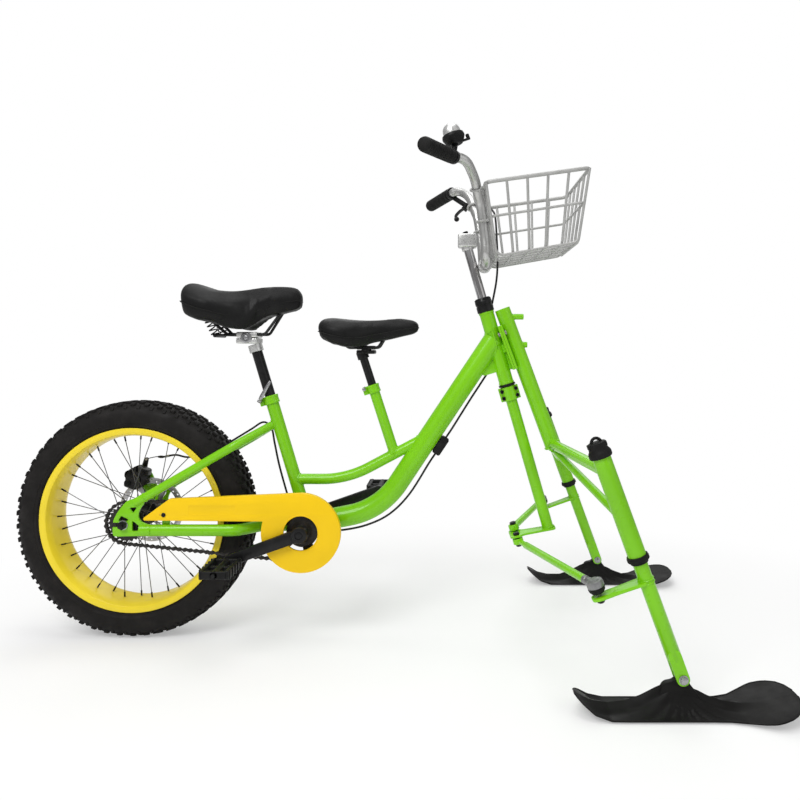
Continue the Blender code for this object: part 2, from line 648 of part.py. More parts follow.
def make_spoked_hub():
    flange = HUB_FLANGE_PLACE + HUB_FLANGE_WALL / 2
    inside = HUB_FLANGE_PLACE - HUB_FLANGE_WALL / 2
    profile = [(HUB_BORE, HUB_LEFT_END), (HUB_RADIUS, HUB_LEFT_END), (HUB_RADIUS, flange), (HUB_FLANGE_RADIUS, flange),
               (HUB_FLANGE_RADIUS, inside), (HUB_RADIUS, inside), (HUB_RADIUS, -inside), (HUB_FLANGE_RADIUS, -inside),
               (HUB_FLANGE_RADIUS, -flange), (HUB_RADIUS, -flange), (HUB_RADIUS, -HUB_RIGHT_END),
               (HUB_BORE, -HUB_RIGHT_END)]
    hub = turned("hub_and_spokes", profile, REAR_AXLE, (0, 1, 0), steps=16, closed=True)
    spokes = []
    reach = (RIM_BASE_RADIUS - RIM_WALL) * math.cos(math.pi / WHEEL_STEPS) - FIT
    for side, _ in SIDES:
        for i in range(SPOKES_PER_SIDE):
            sweep = SPOKE_SWEEP if i % 2 else -SPOKE_SWEEP
            head = 2 * math.pi * (i + (0.5 if side > 0 else 0.0)) / SPOKES_PER_SIDE
            step = SPOKE_HEAD_STEP if i % 2 else -SPOKE_HEAD_STEP
            start = wheel_point(HUB_FLANGE_RADIUS - 0.004, head - sweep, side * HUB_FLANGE_PLACE + step)
            end = wheel_point(reach, head, side * 0.008 + step)
            spokes.append(rod("spoke", start, end, SPOKE_RADIUS, 4))
    return joined(hub, *spokes)


def wheel_point(radius, angle, side):
    return REAR_AXLE + Vector((radius * math.cos(angle), side, radius * math.sin(angle)))


def make_rotor():
    centre = (REAR_AXLE.x, REAR_AXLE.z)
    outlines = [circle(centre, ROTOR_RADIUS, 36), circle(centre, HUB_RADIUS * 0.55, 16)]
    pitch = 2 * math.pi / ROTOR_WINDOWS
    for i in range(ROTOR_WINDOWS):
        start = i * pitch + 0.12 * pitch
        outer = circle(centre, ROTOR_RADIUS - 0.014, 6, start, 0.76 * pitch)
        inner = circle(centre, ROTOR_HUB_RADIUS, 4, start - 0.3 + 0.76 * pitch, -0.76 * pitch)
        outlines.append(outer + inner)
    return plate("brake_rotor", outlines, ROTOR_THICKNESS, Matrix.Translation((0, ROTOR_PLACE, 0)) @ SIDE_VIEW)


def make_rear_axle():
    nut_start = STAY_SPREAD + DROPOUT_THICKNESS / 2 + FIT
    nut_end = nut_start + AXLE_NUT_LENGTH
    profile = [(0.0, AXLE_HALF_LENGTH), (AXLE_RADIUS, AXLE_HALF_LENGTH), (AXLE_RADIUS, nut_end),
               (AXLE_NUT_RADIUS, nut_end), (AXLE_NUT_RADIUS, nut_start), (AXLE_RADIUS, nut_start)]
    profile += [(radius, -height) for radius, height in profile[::-1]]
    return turned("rear_axle", profile, REAR_AXLE, (0, 1, 0), steps=12)


# Drive

def toothed_outline(centre, teeth, pitch_radius):
    """A sprocket's outline: a root and a tip for each tooth."""
    root = pitch_radius - CHAIN_HEIGHT / 2 - TOOTH_DEPTH
    tip = pitch_radius - CHAIN_HEIGHT / 2 - FIT
    outline = []
    for i in range(teeth):
        turn = 2 * math.pi / teeth
        for share, radius in ((-0.5, root), (0.0, tip)):
            angle = (i + share) * turn
            outline.append((centre[0] + radius * math.cos(angle), centre[1] + radius * math.sin(angle)))
    return outline


def make_sprocket():
    centre = (REAR_AXLE.x, REAR_AXLE.z)
    teeth = plate("freewheel_sprocket", [toothed_outline(centre, SPROCKET_TEETH, SPROCKET_RADIUS)], SPROCKET_WALL,
                  Matrix.Translation((0, -CHAIN_LINE, 0)) @ SIDE_VIEW)
    body = turned("freewheel_body", [(0.0, -FREEWHEEL_INNER_FACE), (FREEWHEEL_RADIUS, -FREEWHEEL_INNER_FACE),
                                     (FREEWHEEL_RADIUS, -FREEWHEEL_OUTER_FACE), (0.0, -FREEWHEEL_OUTER_FACE)],
                  REAR_AXLE, (0, 1, 0), steps=16)
    bore = rod("bore", REAR_AXLE + Vector((0, -0.04, 0)), REAR_AXLE + Vector((0, -0.09, 0)), HUB_BORE, 16)
    return cut(joined(teeth, body), bore)


def make_chainring():
    centre = (BRACKET.x, BRACKET.z)
    ring = toothed_outline(centre, RING_TEETH, RING_RADIUS)
    windows = []
    for i in range(5):
        start = 2 * math.pi * i / 5 + 0.25
        outer = circle(centre, RING_RADIUS - 0.018, 5, start, 0.75)
        inner = circle(centre, SPIDER_RADIUS, 4, start + 0.65, -0.55)
        windows.append(outer + inner)
    hole = circle(centre, SPINDLE_RADIUS + FIT, 16)
    return plate("chainring", [ring, hole] + windows, SPROCKET_WALL,
                 Matrix.Translation((0, -CHAIN_LINE, 0)) @ SIDE_VIEW)


def chain_loop(offset):
    """The line at a distance outside the pitch line of the two sprockets."""
    run = Vector((REAR_AXLE.x, REAR_AXLE.z)) - Vector((BRACKET.x, BRACKET.z))
    lean = math.atan2(run.y, run.x)
    tilt = math.acos((RING_RADIUS - SPROCKET_RADIUS) / run.length)
    ring = circle((BRACKET.x, BRACKET.z), RING_RADIUS + offset, 24, lean + tilt, 2 * math.pi - 2 * tilt)
    small = circle((REAR_AXLE.x, REAR_AXLE.z), SPROCKET_RADIUS + offset, 16, lean - tilt, 2 * tilt)
    return ring + small


def make_chain():
    band = [chain_loop(CHAIN_HEIGHT / 2), chain_loop(-CHAIN_HEIGHT / 2)]
    return plate("chain", band, CHAIN_WIDTH, Matrix.Translation((0, -CHAIN_LINE, 0)) @ SIDE_VIEW)


def make_bottom_bracket():
    half = SHELL_HALF_WIDTH + 0.006
    outer = [(SPINDLE_RADIUS + RUNNING, half), (SHELL_RADIUS, half), (SHELL_RADIUS, SHELL_HALF_WIDTH + FIT),
             (CUP_RADIUS - FIT, SHELL_HALF_WIDTH + FIT)]
    lower = [(radius, -height) for radius, height in outer[::-1]]
    return turned("bottom_bracket", outer + lower, BRACKET, (0, 1, 0), steps=16, closed=True)


def make_spindle():
    return rod("crank_spindle", BRACKET + Vector((0, -SPINDLE_HALF_LENGTH, 0)),
               BRACKET + Vector((0, SPINDLE_HALF_LENGTH, 0)), SPINDLE_RADIUS, 16)


def crank_eye(side):
    """The pedal's place at the end of the crank on one side."""
    angle = CRANK_ANGLE if side < 0 else CRANK_ANGLE + math.pi
    return BRACKET + Vector((CRANK_LENGTH * math.cos(angle), 0, CRANK_LENGTH * math.sin(angle)))


def make_crank(side, name):
    """An arm, its boss round the spindle's end and the pedal's spindle."""
    eye = crank_eye(side)
    middle = side * (CRANK_INNER_FACE + CRANK_THICKNESS / 2)
    lean = math.atan2(eye.z - BRACKET.z, eye.x - BRACKET.x)
    root = circle((BRACKET.x, BRACKET.z), CRANK_BOSS_RADIUS * 0.8, 9, lean + math.pi / 2, math.pi)
    tip = circle((eye.x, eye.z), CRANK_EYE_RADIUS, 9, lean - math.pi / 2, math.pi)
    place = Matrix.Translation((0, middle, 0)) @ SIDE_VIEW
    arm = plate(name + "_crank", [root + tip], CRANK_THICKNESS, place)
    start = side * (CRANK_INNER_FACE - 0.003)
    end = side * (CRANK_INNER_FACE + CRANK_THICKNESS + 0.004)
    boss = rod("boss", BRACKET + Vector((0, start, 0)), BRACKET + Vector((0, end, 0)), CRANK_BOSS_RADIUS, 18)
    pin = rod("pin", eye + Vector((0, side * (CRANK_INNER_FACE + 0.004), 0)),
              eye + Vector((0, side * (CRANK_INNER_FACE + CRANK_THICKNESS + PEDAL_SPINDLE_LENGTH), 0)),
              PEDAL_SPINDLE_RADIUS, 10)
    hole = rod("hole", BRACKET + Vector((0, side * 0.08, 0)), BRACKET + Vector((0, side * 0.13, 0)),
               SPINDLE_RADIUS + FIT, 16)
    return cut(joined(arm, boss, pin), hole)


def make_pedal(side, name):
    """A platform with rounded ends, turning on its spindle."""
    eye = crank_eye(side)
    start = CRANK_INNER_FACE + CRANK_THICKNESS + 0.003
    middle = eye + Vector((0, side * (start + PEDAL_LENGTH / 2), 0))
    body = block(name + "_pedal", (PEDAL_DEPTH, PEDAL_LENGTH, PEDAL_HEIGHT), middle)
    windows = []
    for shift in (-1, 1):
        for step in (-1, 1):
            place = middle + Vector((shift * PEDAL_DEPTH * 0.29, step * PEDAL_LENGTH * 0.23, 0))
            windows.append(block("window", (PEDAL_DEPTH * 0.22, PEDAL_LENGTH * 0.34, PEDAL_HEIGHT * 2), place))
    bore = rod("bore", middle - Vector((0, PEDAL_LENGTH, 0)), middle + Vector((0, PEDAL_LENGTH, 0)),
               PEDAL_SPINDLE_RADIUS + RUNNING, 12)
    return cut(body, bore, *windows)


def guard_outline(inset):
    """The chain guard's outline: a disc round the crank with an arm back to the rear axle."""
    radius = GUARD_DISC_RADIUS - inset
    centre = (BRACKET.x, BRACKET.z)
    under = GUARD_UNDERSIDE + inset
    low = math.asin((under - centre[1]) / radius)
    disc = circle(centre, radius, 21, -math.pi - low, 1.5 * math.pi + low)
    tip = circle((GUARD_TIP[0] + GUARD_TIP_RADIUS, GUARD_TIP[1] + GUARD_TIP_RADIUS * 0.7),
                 max(GUARD_TIP_RADIUS - inset, 0.001), 5, math.radians(130), math.radians(130))
    shoulder = (GUARD_SHOULDER[0] + inset * 0.4, GUARD_SHOULDER[1] - inset)
    return disc + [shoulder] + tip + [(GUARD_NECK - inset, under)]


def make_chain_guard():
    centre = (BRACKET.x, BRACKET.z)
    middle = -(GUARD_FACE - GUARD_DEPTH / 2)
    guard = plate("chain_guard", [guard_outline(0.0)], GUARD_DEPTH, Matrix.Translation((0, middle, 0)) @ SIDE_VIEW)
    pocket = plate("pocket", [guard_outline(GUARD_WALL)], GUARD_DEPTH,
                   Matrix.Translation((0, middle + GUARD_WALL, 0)) @ SIDE_VIEW)
    hole = rod("hole", BRACKET + Vector((0, -0.12, 0)), BRACKET + Vector((0, -0.06, 0)), GUARD_HOLE_RADIUS, 24)
    screw = Vector((GUARD_SCREW[0], 0, GUARD_SCREW[1]))
    screw_hole = rod("screw_hole", screw + Vector((0, -0.12, 0)), screw + Vector((0, -0.06, 0)),
                     GUARD_SCREW_RADIUS * 0.6 + FIT, 10)
    return cut(guard, pocket, hole, screw_hole)


def make_guard_screw():
    head = GUARD_FACE + FIT
    profile = [(0.0, head + 0.003), (GUARD_SCREW_RADIUS, head + 0.003), (GUARD_SCREW_RADIUS, head),
               (GUARD_SCREW_RADIUS * 0.6, head), (GUARD_SCREW_RADIUS * 0.6, GUARD_FACE - GUARD_DEPTH + FIT),
               (0.0, GUARD_FACE - GUARD_DEPTH + FIT)]
    return turned("guard_screw", profile, (GUARD_SCREW[0], 0, GUARD_SCREW[1]), (0, -1, 0), steps=12)


# Main frame

def make_main_frame():
    tubes = [down_tube(), step_tube(), child_tube(), bracket_shell()]
    for side, _ in SIDES:
        tubes.append(seat_stay(side))
        tubes.append(chain_stay(side))
        tubes.append(dropout(side))
    frame = rod("main_frame", BRACKET, SEAT_TUBE_TOP, SEAT_TUBE_RADIUS, 16)
    head = rod("head_tube", HEAD_TUBE_FOOT, HEAD_TUBE_TOP, HEAD_TUBE_RADIUS, 18)
    frame = joined(frame, head, *tubes, head_gusset(), boss_plate(), guard_tab(), caliper_tab())
    return cut(frame, *frame_bores())


def frame_bores():
    """The bores for the headset, the seatposts, the crank bearings and the upper bolts."""
    reach = COLUMN_UP * 0.01
    head = rod("head_bore", HEAD_TUBE_FOOT - reach, HEAD_TUBE_TOP + reach, HEAD_TUBE_BORE, 18)
    rear_depth = REAR_POST_INSERTED + REAR_POST_DROP + 0.004
    rear = rod("rear_bore", SEAT_TUBE_TOP - SEAT_UP * rear_depth, SEAT_TUBE_TOP + SEAT_UP * 0.01,
               REAR_POST_RADIUS + 0.0005, 16)
    child_depth = CHILD_POST_INSERTED + CHILD_POST_DROP + 0.004
    child = rod("child_bore", CHILD_TUBE_TOP - CHILD_UP * child_depth, CHILD_TUBE_TOP + CHILD_UP * 0.01,
                CHILD_POST_RADIUS + 0.0005, 16)
    shell = rod("shell_bore", BRACKET - Vector((0, 0.05, 0)), BRACKET + Vector((0, 0.05, 0)), CUP_RADIUS, 16)
    return [head, rear, child, shell] + subframe_bolt_holes()


def down_tube():
    joint = HEAD_TUBE_FOOT + COLUMN_UP * DOWN_TUBE_JOINT
    return tube("down_tube", bent([joint, DOWN_TUBE_CORNER, BRACKET], DOWN_TUBE_BEND, 5), DOWN_TUBE_RADIUS, 5)


def step_tube():
    rear = (-0.0330, 0.0, STEP_TUBE_HEIGHT)
    corner = Vector((STEP_TUBE_CORNER, 0.0, STEP_TUBE_HEIGHT))
    front = corner + Vector((math.cos(STEP_TUBE_RISE), 0.0, math.sin(STEP_TUBE_RISE))) * 0.200
    return tube("step_tube", bent([rear, corner, front], STEP_TUBE_BEND, 4), STEP_TUBE_RADIUS, 3)


def child_tube():
    foot = CHILD_TUBE_FOOT - CHILD_UP * 0.004
    return rod("child_tube", foot, CHILD_TUBE_TOP, CHILD_TUBE_RADIUS, 16)


def bracket_shell():
    reach = Vector((0, SHELL_HALF_WIDTH, 0))
    return rod("bracket_shell", BRACKET - reach, BRACKET + reach, SHELL_RADIUS, 18)


def seat_stay(side):
    spread = side * STAY_SPREAD
    points = [(SEAT_STAY_FOOT[0], spread, SEAT_STAY_FOOT[1]), (SEAT_STAY_KNEE[0], spread, SEAT_STAY_KNEE[1]),
              (SEAT_STAY_TOP[0], side * 0.008, SEAT_STAY_TOP[1])]
    return tube("seat_stay", bent(points, 0.045, 4), SEAT_STAY_RADIUS, 3)


def chain_stay(side):
    """A stay taller than it is wide."""
    height = CHAIN_STAY_HEIGHT
    spread = side * STAY_SPREAD
    points = [(CHAIN_STAY_FOOT, spread, height), (CHAIN_STAY_KNEE, spread, height),
              (CHAIN_STAY_NECK[0], side * CHAIN_STAY_NECK[1], height), (0.0, side * 0.020, BRACKET_HEIGHT)]
    stay = tube("chain_stay", bent(points, 0.030, 3), CHAIN_STAY_RADIUS, 3)
    stay.data.transform(Matrix.Translation((0, 0, height * (1 - CHAIN_STAY_TALL)))
                        @ Matrix.Diagonal((1, 1, CHAIN_STAY_TALL, 1)))
    return stay


def dropout(side):
    """A laser-cut plate with an axle slot open to the rear."""
    solid = axle_plate("dropout", (DROPOUT_OUTLINE,) + DROPOUT_WINDOWS, DROPOUT_THICKNESS, side * STAY_SPREAD)
    slot_round = rod("slot_round", REAR_AXLE + Vector((0, -0.11, 0)), REAR_AXLE + Vector((0, 0.11, 0)),
                     SLOT_HALF_WIDTH, 16)
    slot = block("slot", (0.06, 0.22, 2 * SLOT_HALF_WIDTH), REAR_AXLE - Vector((0.03, 0, 0)))
    return cut(solid, joined(slot_round, slot))


def caliper_tab():
    tab = axle_plate("caliper_tab", (CALIPER_TAB_OUTLINE,), DROPOUT_THICKNESS - 0.0004, STAY_SPREAD)
    pivot = from_axle(CALIPER_PIVOT, STAY_SPREAD)
    reach = Vector((0, 0.02, 0))
    return cut(tab, rod("pin_hole", pivot - reach, pivot + reach, CALIPER_PIN_RADIUS + RUNNING, 12))


def guard_tab():
    """The tab on the right chain stay that the guard's screw goes into."""
    top = GUARD_SCREW[1] + TAB_WIDTH * 0.45
    centre = Vector((GUARD_SCREW[0], -(GUARD_FACE - GUARD_DEPTH) + TAB_THICKNESS / 2 + FIT,
                     (top + CHAIN_STAY_HEIGHT) / 2))
    return block("guard_tab", (TAB_WIDTH, TAB_THICKNESS, top - CHAIN_STAY_HEIGHT), centre)


def head_gusset():
    """A web in the corner under the down tube and behind the head tube."""
    joint = HEAD_TUBE_FOOT + COLUMN_UP * DOWN_TUBE_JOINT
    low = HEAD_TUBE_FOOT + COLUMN_UP * 0.034
    run = (DOWN_TUBE_CORNER - joint).normalized()
    back = joint + run * 0.088
    below = Vector((-run.z, 0, run.x)) * -DOWN_TUBE_RADIUS
    outline = [(joint.x, joint.z), (low.x, low.z), (back.x - below.x * 1.15, back.z - below.z * 1.15),
               (back.x, back.z)]
    return plate("gusset", [outline], GUSSET_THICKNESS, SIDE_VIEW)


def flange_frame():
    """Middle of the ski frame's flange on its mating face, the way down it and the way out of it to the rear."""
    middle = FRONT_TUBE_TOP + FRONT_TUBE_DOWN * (FLANGE_START + FLANGE_LENGTH / 2)
    rearward = Vector((-math.cos(FRONT_TUBE_RAKE), 0.0, -math.sin(FRONT_TUBE_RAKE)))
    return middle + rearward * FLANGE_OFFSET, FRONT_TUBE_DOWN, rearward


def subframe_bolt_place(side):
    """The middle of a bolt's hole on the flange's mating face, beside the front tube."""
    place = FRONT_TUBE_TOP + FRONT_TUBE_DOWN * (FLANGE_START + SUBFRAME_BOLT_DROP)
    return place + flange_frame()[2] * FLANGE_OFFSET + Vector((0, side * SUBFRAME_BOLT_SPREAD, 0))


def subframe_bolt_holes():
    rearward = flange_frame()[2] * 0.012
    places = [subframe_bolt_place(side) for side, _ in SIDES]
    return [rod("bolt_hole", place - rearward, place + rearward, SUBFRAME_BOLT_RADIUS + FIT, 10) for place in places]


def boss_plate():
    """The plate that the ski frame bolts to, on a boss welded to the head tube."""
    middle, down, rearward = flange_frame()
    turn = Matrix.Rotation(FRONT_TUBE_RAKE, 4, "Y").inverted()
    centre = middle + rearward * (FIT + FLANGE_THICKNESS / 2)
    face = block("boss_plate", (FLANGE_THICKNESS, FLANGE_WIDTH, FLANGE_LENGTH), centre, turn)
    boss = block("boss", (0.0240, BOSS_WIDTH, BOSS_HEIGHT), middle + rearward * (FIT + 0.0125), turn)
    web = block("web", (0.0240, GUSSET_THICKNESS - 0.0004, FLANGE_LENGTH - 0.0040), middle + rearward * (FIT + 0.0125), turn)
    return joined(face, boss, web)


# Ski frame

def make_ski_frame():
    frame = rod("ski_frame", FRONT_TUBE_TOP, FRONT_TUBE_TOP + FRONT_TUBE_DOWN * FRONT_TUBE_LENGTH,
                FRONT_TUBE_RADIUS, 18)
    middle, down, rearward = flange_frame()
    turn = Matrix.Rotation(FRONT_TUBE_RAKE, 4, "Y").inverted()
    thickness = FLANGE_OFFSET - FRONT_TUBE_RADIUS + 0.002
    flange = block("flange", (thickness, FLANGE_WIDTH, FLANGE_LENGTH), middle - rearward * thickness / 2, turn)
    pieces = [flange, front_boss(0.0200, 0.026), front_boss(0.0920, 0.010)]
    for side, _ in SIDES:
        pieces.append(upper_strut(side))
        pieces.append(lower_brace(side))
        pieces.append(leg_housing(side))
    frame = joined(frame, *pieces)
    return cut(frame, *[housing_bore(side) for side, _ in SIDES], *subframe_bolt_holes())


def front_boss(distance, length):
    start = FRONT_TUBE_TOP + FRONT_TUBE_DOWN * distance
    return rod("front_boss", start, start + Vector((FRONT_TUBE_RADIUS + length, 0, 0)), FRONT_BOSS_RADIUS, 12)


def housing_axis(side):
    top = Vector((HOUSING_TOP[0], side * SKI_TRACK / 2, HOUSING_TOP[1]))
    return top, top + LEG_DOWN * HOUSING_LENGTH


def point_on_leg(side, height):
    """The point on a leg's axis at a height above the snow."""
    top, _ = housing_axis(side)
    return top + LEG_DOWN * ((top.z - height) / -LEG_DOWN.z)


def upper_strut(side):
    start = FRONT_TUBE_TOP + FRONT_TUBE_DOWN * ((FRONT_TUBE_TOP.z - STRUT_HEIGHT) / -FRONT_TUBE_DOWN.z)
    return rod("upper_strut", start, point_on_leg(side, STRUT_HEIGHT - 0.003), STRUT_RADIUS, 16)


def lower_brace(side):
    start = Vector((BRACE_TOP[0], side * BRACE_TOP[1], BRACE_TOP[2]))
    top, _ = housing_axis(side)
    return rod("lower_brace", start, top + LEG_DOWN * BRACE_DROP, BRACE_RADIUS, 12)


def leg_housing(side):
    top, foot = housing_axis(side)
    return rod("leg_housing", top, foot, HOUSING_RADIUS, 16)


def housing_bore(side):
    top, foot = housing_axis(side)
    return rod("housing_bore", top - LEG_DOWN * 0.01, foot + LEG_DOWN * 0.01, HOUSING_BORE, 16)


def make_subframe_bolt(side, name):
    """A bolt through both flanges, its head in front and its nut behind."""
    front = FLANGE_OFFSET - FRONT_TUBE_RADIUS + 0.002 + FIT
    back = -(FIT + FLANGE_THICKNESS + FIT)
    profile = [(0.0, front + 0.0045), (SUBFRAME_BOLT_HEAD, front + 0.0045), (SUBFRAME_BOLT_HEAD, front),
               (SUBFRAME_BOLT_RADIUS, front), (SUBFRAME_BOLT_RADIUS, back), (SUBFRAME_BOLT_HEAD, back),
               (SUBFRAME_BOLT_HEAD, back - 0.0045), (0.0, back - 0.0045)]
    return turned("subframe_bolt_" + name, profile, subframe_bolt_place(side), -flange_frame()[2], steps=10)


def make_leg_cap(side, name):
    """A black cap with a flared rim and a loop, plugged into the housing's top."""
    top, _ = housing_axis(side)
    up = -LEG_DOWN
    profile = [(0.0, CAP_HEIGHT), (CAP_RADIUS * 0.78, CAP_HEIGHT), (CAP_RADIUS * 0.84, CAP_HEIGHT * 0.55),
               (CAP_RADIUS, CAP_HEIGHT * 0.30), (CAP_RADIUS, FIT), (HOUSING_BORE - 2 * FIT, FIT),
               (HOUSING_BORE - 2 * FIT, -CAP_PLUG_DEPTH), (0.0, -CAP_PLUG_DEPTH)]
    cap = turned(name + "_leg_cap", profile, top, up, steps=16)
    crown = top + up * CAP_HEIGHT
    ahead = Vector((up.z, 0, -up.x))
    arch = [crown - up * 0.004 + ahead * (CAP_LOOP_RADIUS * math.cos(a)) + up * (CAP_LOOP_RADIUS * math.sin(a))
            for a in [math.pi * i / 4 for i in range(5)]]
    return joined(cap, tube("loop", arch, 0.0030, 1))


def make_leg_seal(side, name):
    _, foot = housing_axis(side)
    profile = [(HOUSING_RADIUS + FIT, SEAL_ABOVE), (SEAL_RADIUS, SEAL_ABOVE), (SEAL_RADIUS, -SEAL_BELOW),
               (LEG_RADIUS + RUNNING, -SEAL_BELOW), (LEG_RADIUS + RUNNING, -FIT), (HOUSING_RADIUS + FIT, -FIT)]
    return turned(name + "_leg_seal", profile, foot, -LEG_DOWN, steps=16, closed=True)


# Ski legs, tie rods and skis

def pivot_point(side):
    return point_on_leg(side, PIVOT_HEIGHT)


def arm_frame(side):
    """Where the steering arm meets the leg's axis, and the way along the arm to the rear."""
    _, foot = housing_axis(side)
    rearward = Vector((LEG_DOWN.z, 0, -LEG_DOWN.x))
    return foot + LEG_DOWN * ARM_PLACE, rearward


def make_ski_leg(side, name):
    """A leg that turns in its housing, with a steering arm, a ball stud and a fork for the ski."""
    top, _ = housing_axis(side)
    pivot = pivot_point(side)
    fork_start = pivot - LEG_DOWN * FORK_EAR_LENGTH
    leg = rod(name + "_ski_leg", top + LEG_DOWN * (CAP_PLUG_DEPTH + RUNNING), fork_start, LEG_RADIUS, 16)
    root, rearward = arm_frame(side)
    turn = Matrix.Rotation(LEG_RAKE, 4, "Y").inverted()
    arm = block("arm", (ARM_LENGTH, 2 * ARM_HALF_WIDTH, ARM_THICKNESS), root + rearward * ARM_LENGTH / 2, turn)
    stud_foot = root + rearward * ARM_LENGTH
    half = LEG_DOWN * (ARM_THICKNESS / 2 + 0.0003)
    end = rod("arm_end", stud_foot + half, stud_foot - half,
              ARM_HALF_WIDTH, 16)
    stud_top = ARM_THICKNESS / 2 + BOOT_LIFT + BOOT_HEIGHT - BOOT_ROOF - 0.0015
    stud = rod("stud", stud_foot - LEG_DOWN * stud_top, stud_foot + LEG_DOWN * 0.012, PIN_RADIUS, 12)
    nut = rod("nut", stud_foot, stud_foot + LEG_DOWN * 0.010, PIN_HEAD_RADIUS, 6)
    pieces = [arm, end, stud, nut]
    for shift in (-1, 1):
        middle = shift * (FORK_EAR_GAP + FORK_EAR_WALL / 2)
        lean = math.atan2(LEG_DOWN.z, LEG_DOWN.x)
        low = circle((pivot.x, pivot.z), FORK_EAR_RADIUS, 7, lean - math.pi / 2, math.pi)
        high_place = fork_start - LEG_DOWN * 0.010
        high = circle((high_place.x, high_place.z), FORK_EAR_RADIUS, 3, lean + math.pi / 2, math.pi)
        pieces.append(plate("ear", [low + high], FORK_EAR_WALL,
                            Matrix.Translation((0, pivot.y + middle, 0)) @ SIDE_VIEW))
    leg = joined(leg, *pieces)
    gap = 2 * (FORK_EAR_GAP + FORK_EAR_WALL)
    bolt = rod("bolt_hole", pivot - Vector((0, gap, 0)), pivot + Vector((0, gap, 0)), SKI_BOLT_RADIUS + FIT, 12)
    return cut(leg, bolt)


def make_ski_bolt(side, name):
    """A bolt through the fork and the ski's tongue, a head at one end and a nut at the other."""
    reach = FORK_EAR_GAP + FORK_EAR_WALL + FIT
    profile = [(0.0, reach + 0.006), (SKI_BOLT_HEAD, reach + 0.006), (SKI_BOLT_HEAD, reach), (SKI_BOLT_RADIUS, reach)]
    profile += [(radius, -height) for radius, height in profile[::-1]]
    return turned(name + "_ski_bolt", profile, pivot_point(side), (0, 1, 0), steps=12)


def make_ski(side, name):
    """A dished plastic ski, turned up at both ends, with a ridge that rises to the tongue at the fork."""
    pivot = pivot_point(side)
    tail = pivot.x - SKI_REAR_REACH
    length = SKI_REAR_REACH + SKI_FRONT_REACH
    sections = []
    for share, sole, half, edge, crown in SKI_STATIONS:
        x = tail + share * length
        shoulder = edge + (crown - edge) * 0.42
        ridge = 0.10 * half + 0.003
        ring = [(-half, sole + 0.003), (-half + 0.002, sole), (0.0, sole), (half - 0.002, sole), (half, sole + 0.003),
                (half, edge - 0.001), (half * 0.94, edge), (half * 0.50, shoulder), (ridge, crown),
                (-ridge, crown), (-half * 0.50, shoulder), (-half * 0.94, edge), (-half, edge - 0.001)]
        sections.append([(x, pivot.y + y, z) for y, z in ring])
    ski = loft(name + "_ski", sections)
    tongue = rod("tongue", pivot - Vector((0, SKI_TONGUE_HALF_WIDTH, 0)), pivot + Vector((0, SKI_TONGUE_HALF_WIDTH, 0)),
                 SKI_TONGUE_RADIUS, 18)
    web = plate("web", [[(pivot.x - 0.030, 0.030), (pivot.x + 0.030, 0.030),
                         (pivot.x + SKI_TONGUE_RADIUS * 0.97, pivot.z - 0.001),
                         (pivot.x - SKI_TONGUE_RADIUS * 0.97, pivot.z - 0.001)]],
                2 * SKI_TONGUE_HALF_WIDTH - 0.0004, Matrix.Translation((0, pivot.y, 0)) @ SIDE_VIEW)
    ski = joined(ski, tongue, web)
    reach = Vector((0, 0.03, 0))
    bolt = rod("bolt_hole", pivot - reach, pivot + reach, SKI_BOLT_RADIUS + RUNNING, 12)
    return cut(ski, bolt)


def pitman_frame():
    """The pitman plate's middle on the column's axis, and the way along it to the rear."""
    root = HEAD_TUBE_FOOT - COLUMN_UP * COLUMN_BELOW
    return root, Vector((-math.cos(PITMAN_SLOPE), 0, -math.sin(PITMAN_SLOPE)))


def rod_pin(side):
    """Where a tie rod's pin goes through the pitman plate."""
    root, rearward = pitman_frame()
    return root + rearward * PITMAN_LENGTH + Vector((0, side * PITMAN_SPREAD, 0))


def make_tie_rod(side, name):
    """A rod with an eye on its pitman pin, and a ball housing over the steering arm's stud."""
    pin = rod_pin(side)
    lift = side * (PITMAN_THICKNESS / 2 + ROD_EYE_GAP + ROD_EYE_HEIGHT / 2)
    inner = pin + COLUMN_UP * lift
    root, rearward = arm_frame(side)
    foot = root + rearward * ARM_LENGTH - LEG_DOWN * (ARM_THICKNESS / 2 + BOOT_LIFT)
    outer = foot - LEG_DOWN * BOOT_HEIGHT / 2
    run = (outer - inner).normalized()
    bar = rod(name + "_tie_rod", inner + run * ROD_EYE_RADIUS * 0.8, outer - run * BOOT_RADIUS * 0.8,
              TIE_ROD_RADIUS, 10)
    eye = rod("eye", inner - COLUMN_UP * ROD_EYE_HEIGHT / 2, inner + COLUMN_UP * ROD_EYE_HEIGHT / 2,
              ROD_EYE_RADIUS, 14)
    boot = turned("boot", [(0.0, BOOT_HEIGHT), (BOOT_RADIUS * 0.62, BOOT_HEIGHT), (BOOT_RADIUS, BOOT_HEIGHT * 0.72),
                           (BOOT_RADIUS, BOOT_HEIGHT * 0.28), (BOOT_RADIUS * 0.80, 0.0), (0.0, 0.0)],
                  foot, -LEG_DOWN, steps=14)
    solid = joined(bar, eye, boot)
    pin_bore = rod("pin_bore", inner - COLUMN_UP * 0.02, inner + COLUMN_UP * 0.02, PIN_RADIUS + RUNNING, 10)
    stud_bore = rod("stud_bore", foot + LEG_DOWN * 0.01, foot - LEG_DOWN * (BOOT_HEIGHT - BOOT_ROOF), BOOT_BORE, 14)
    return cut(solid, pin_bore, stud_bore)


# Steering column, stem and handlebar

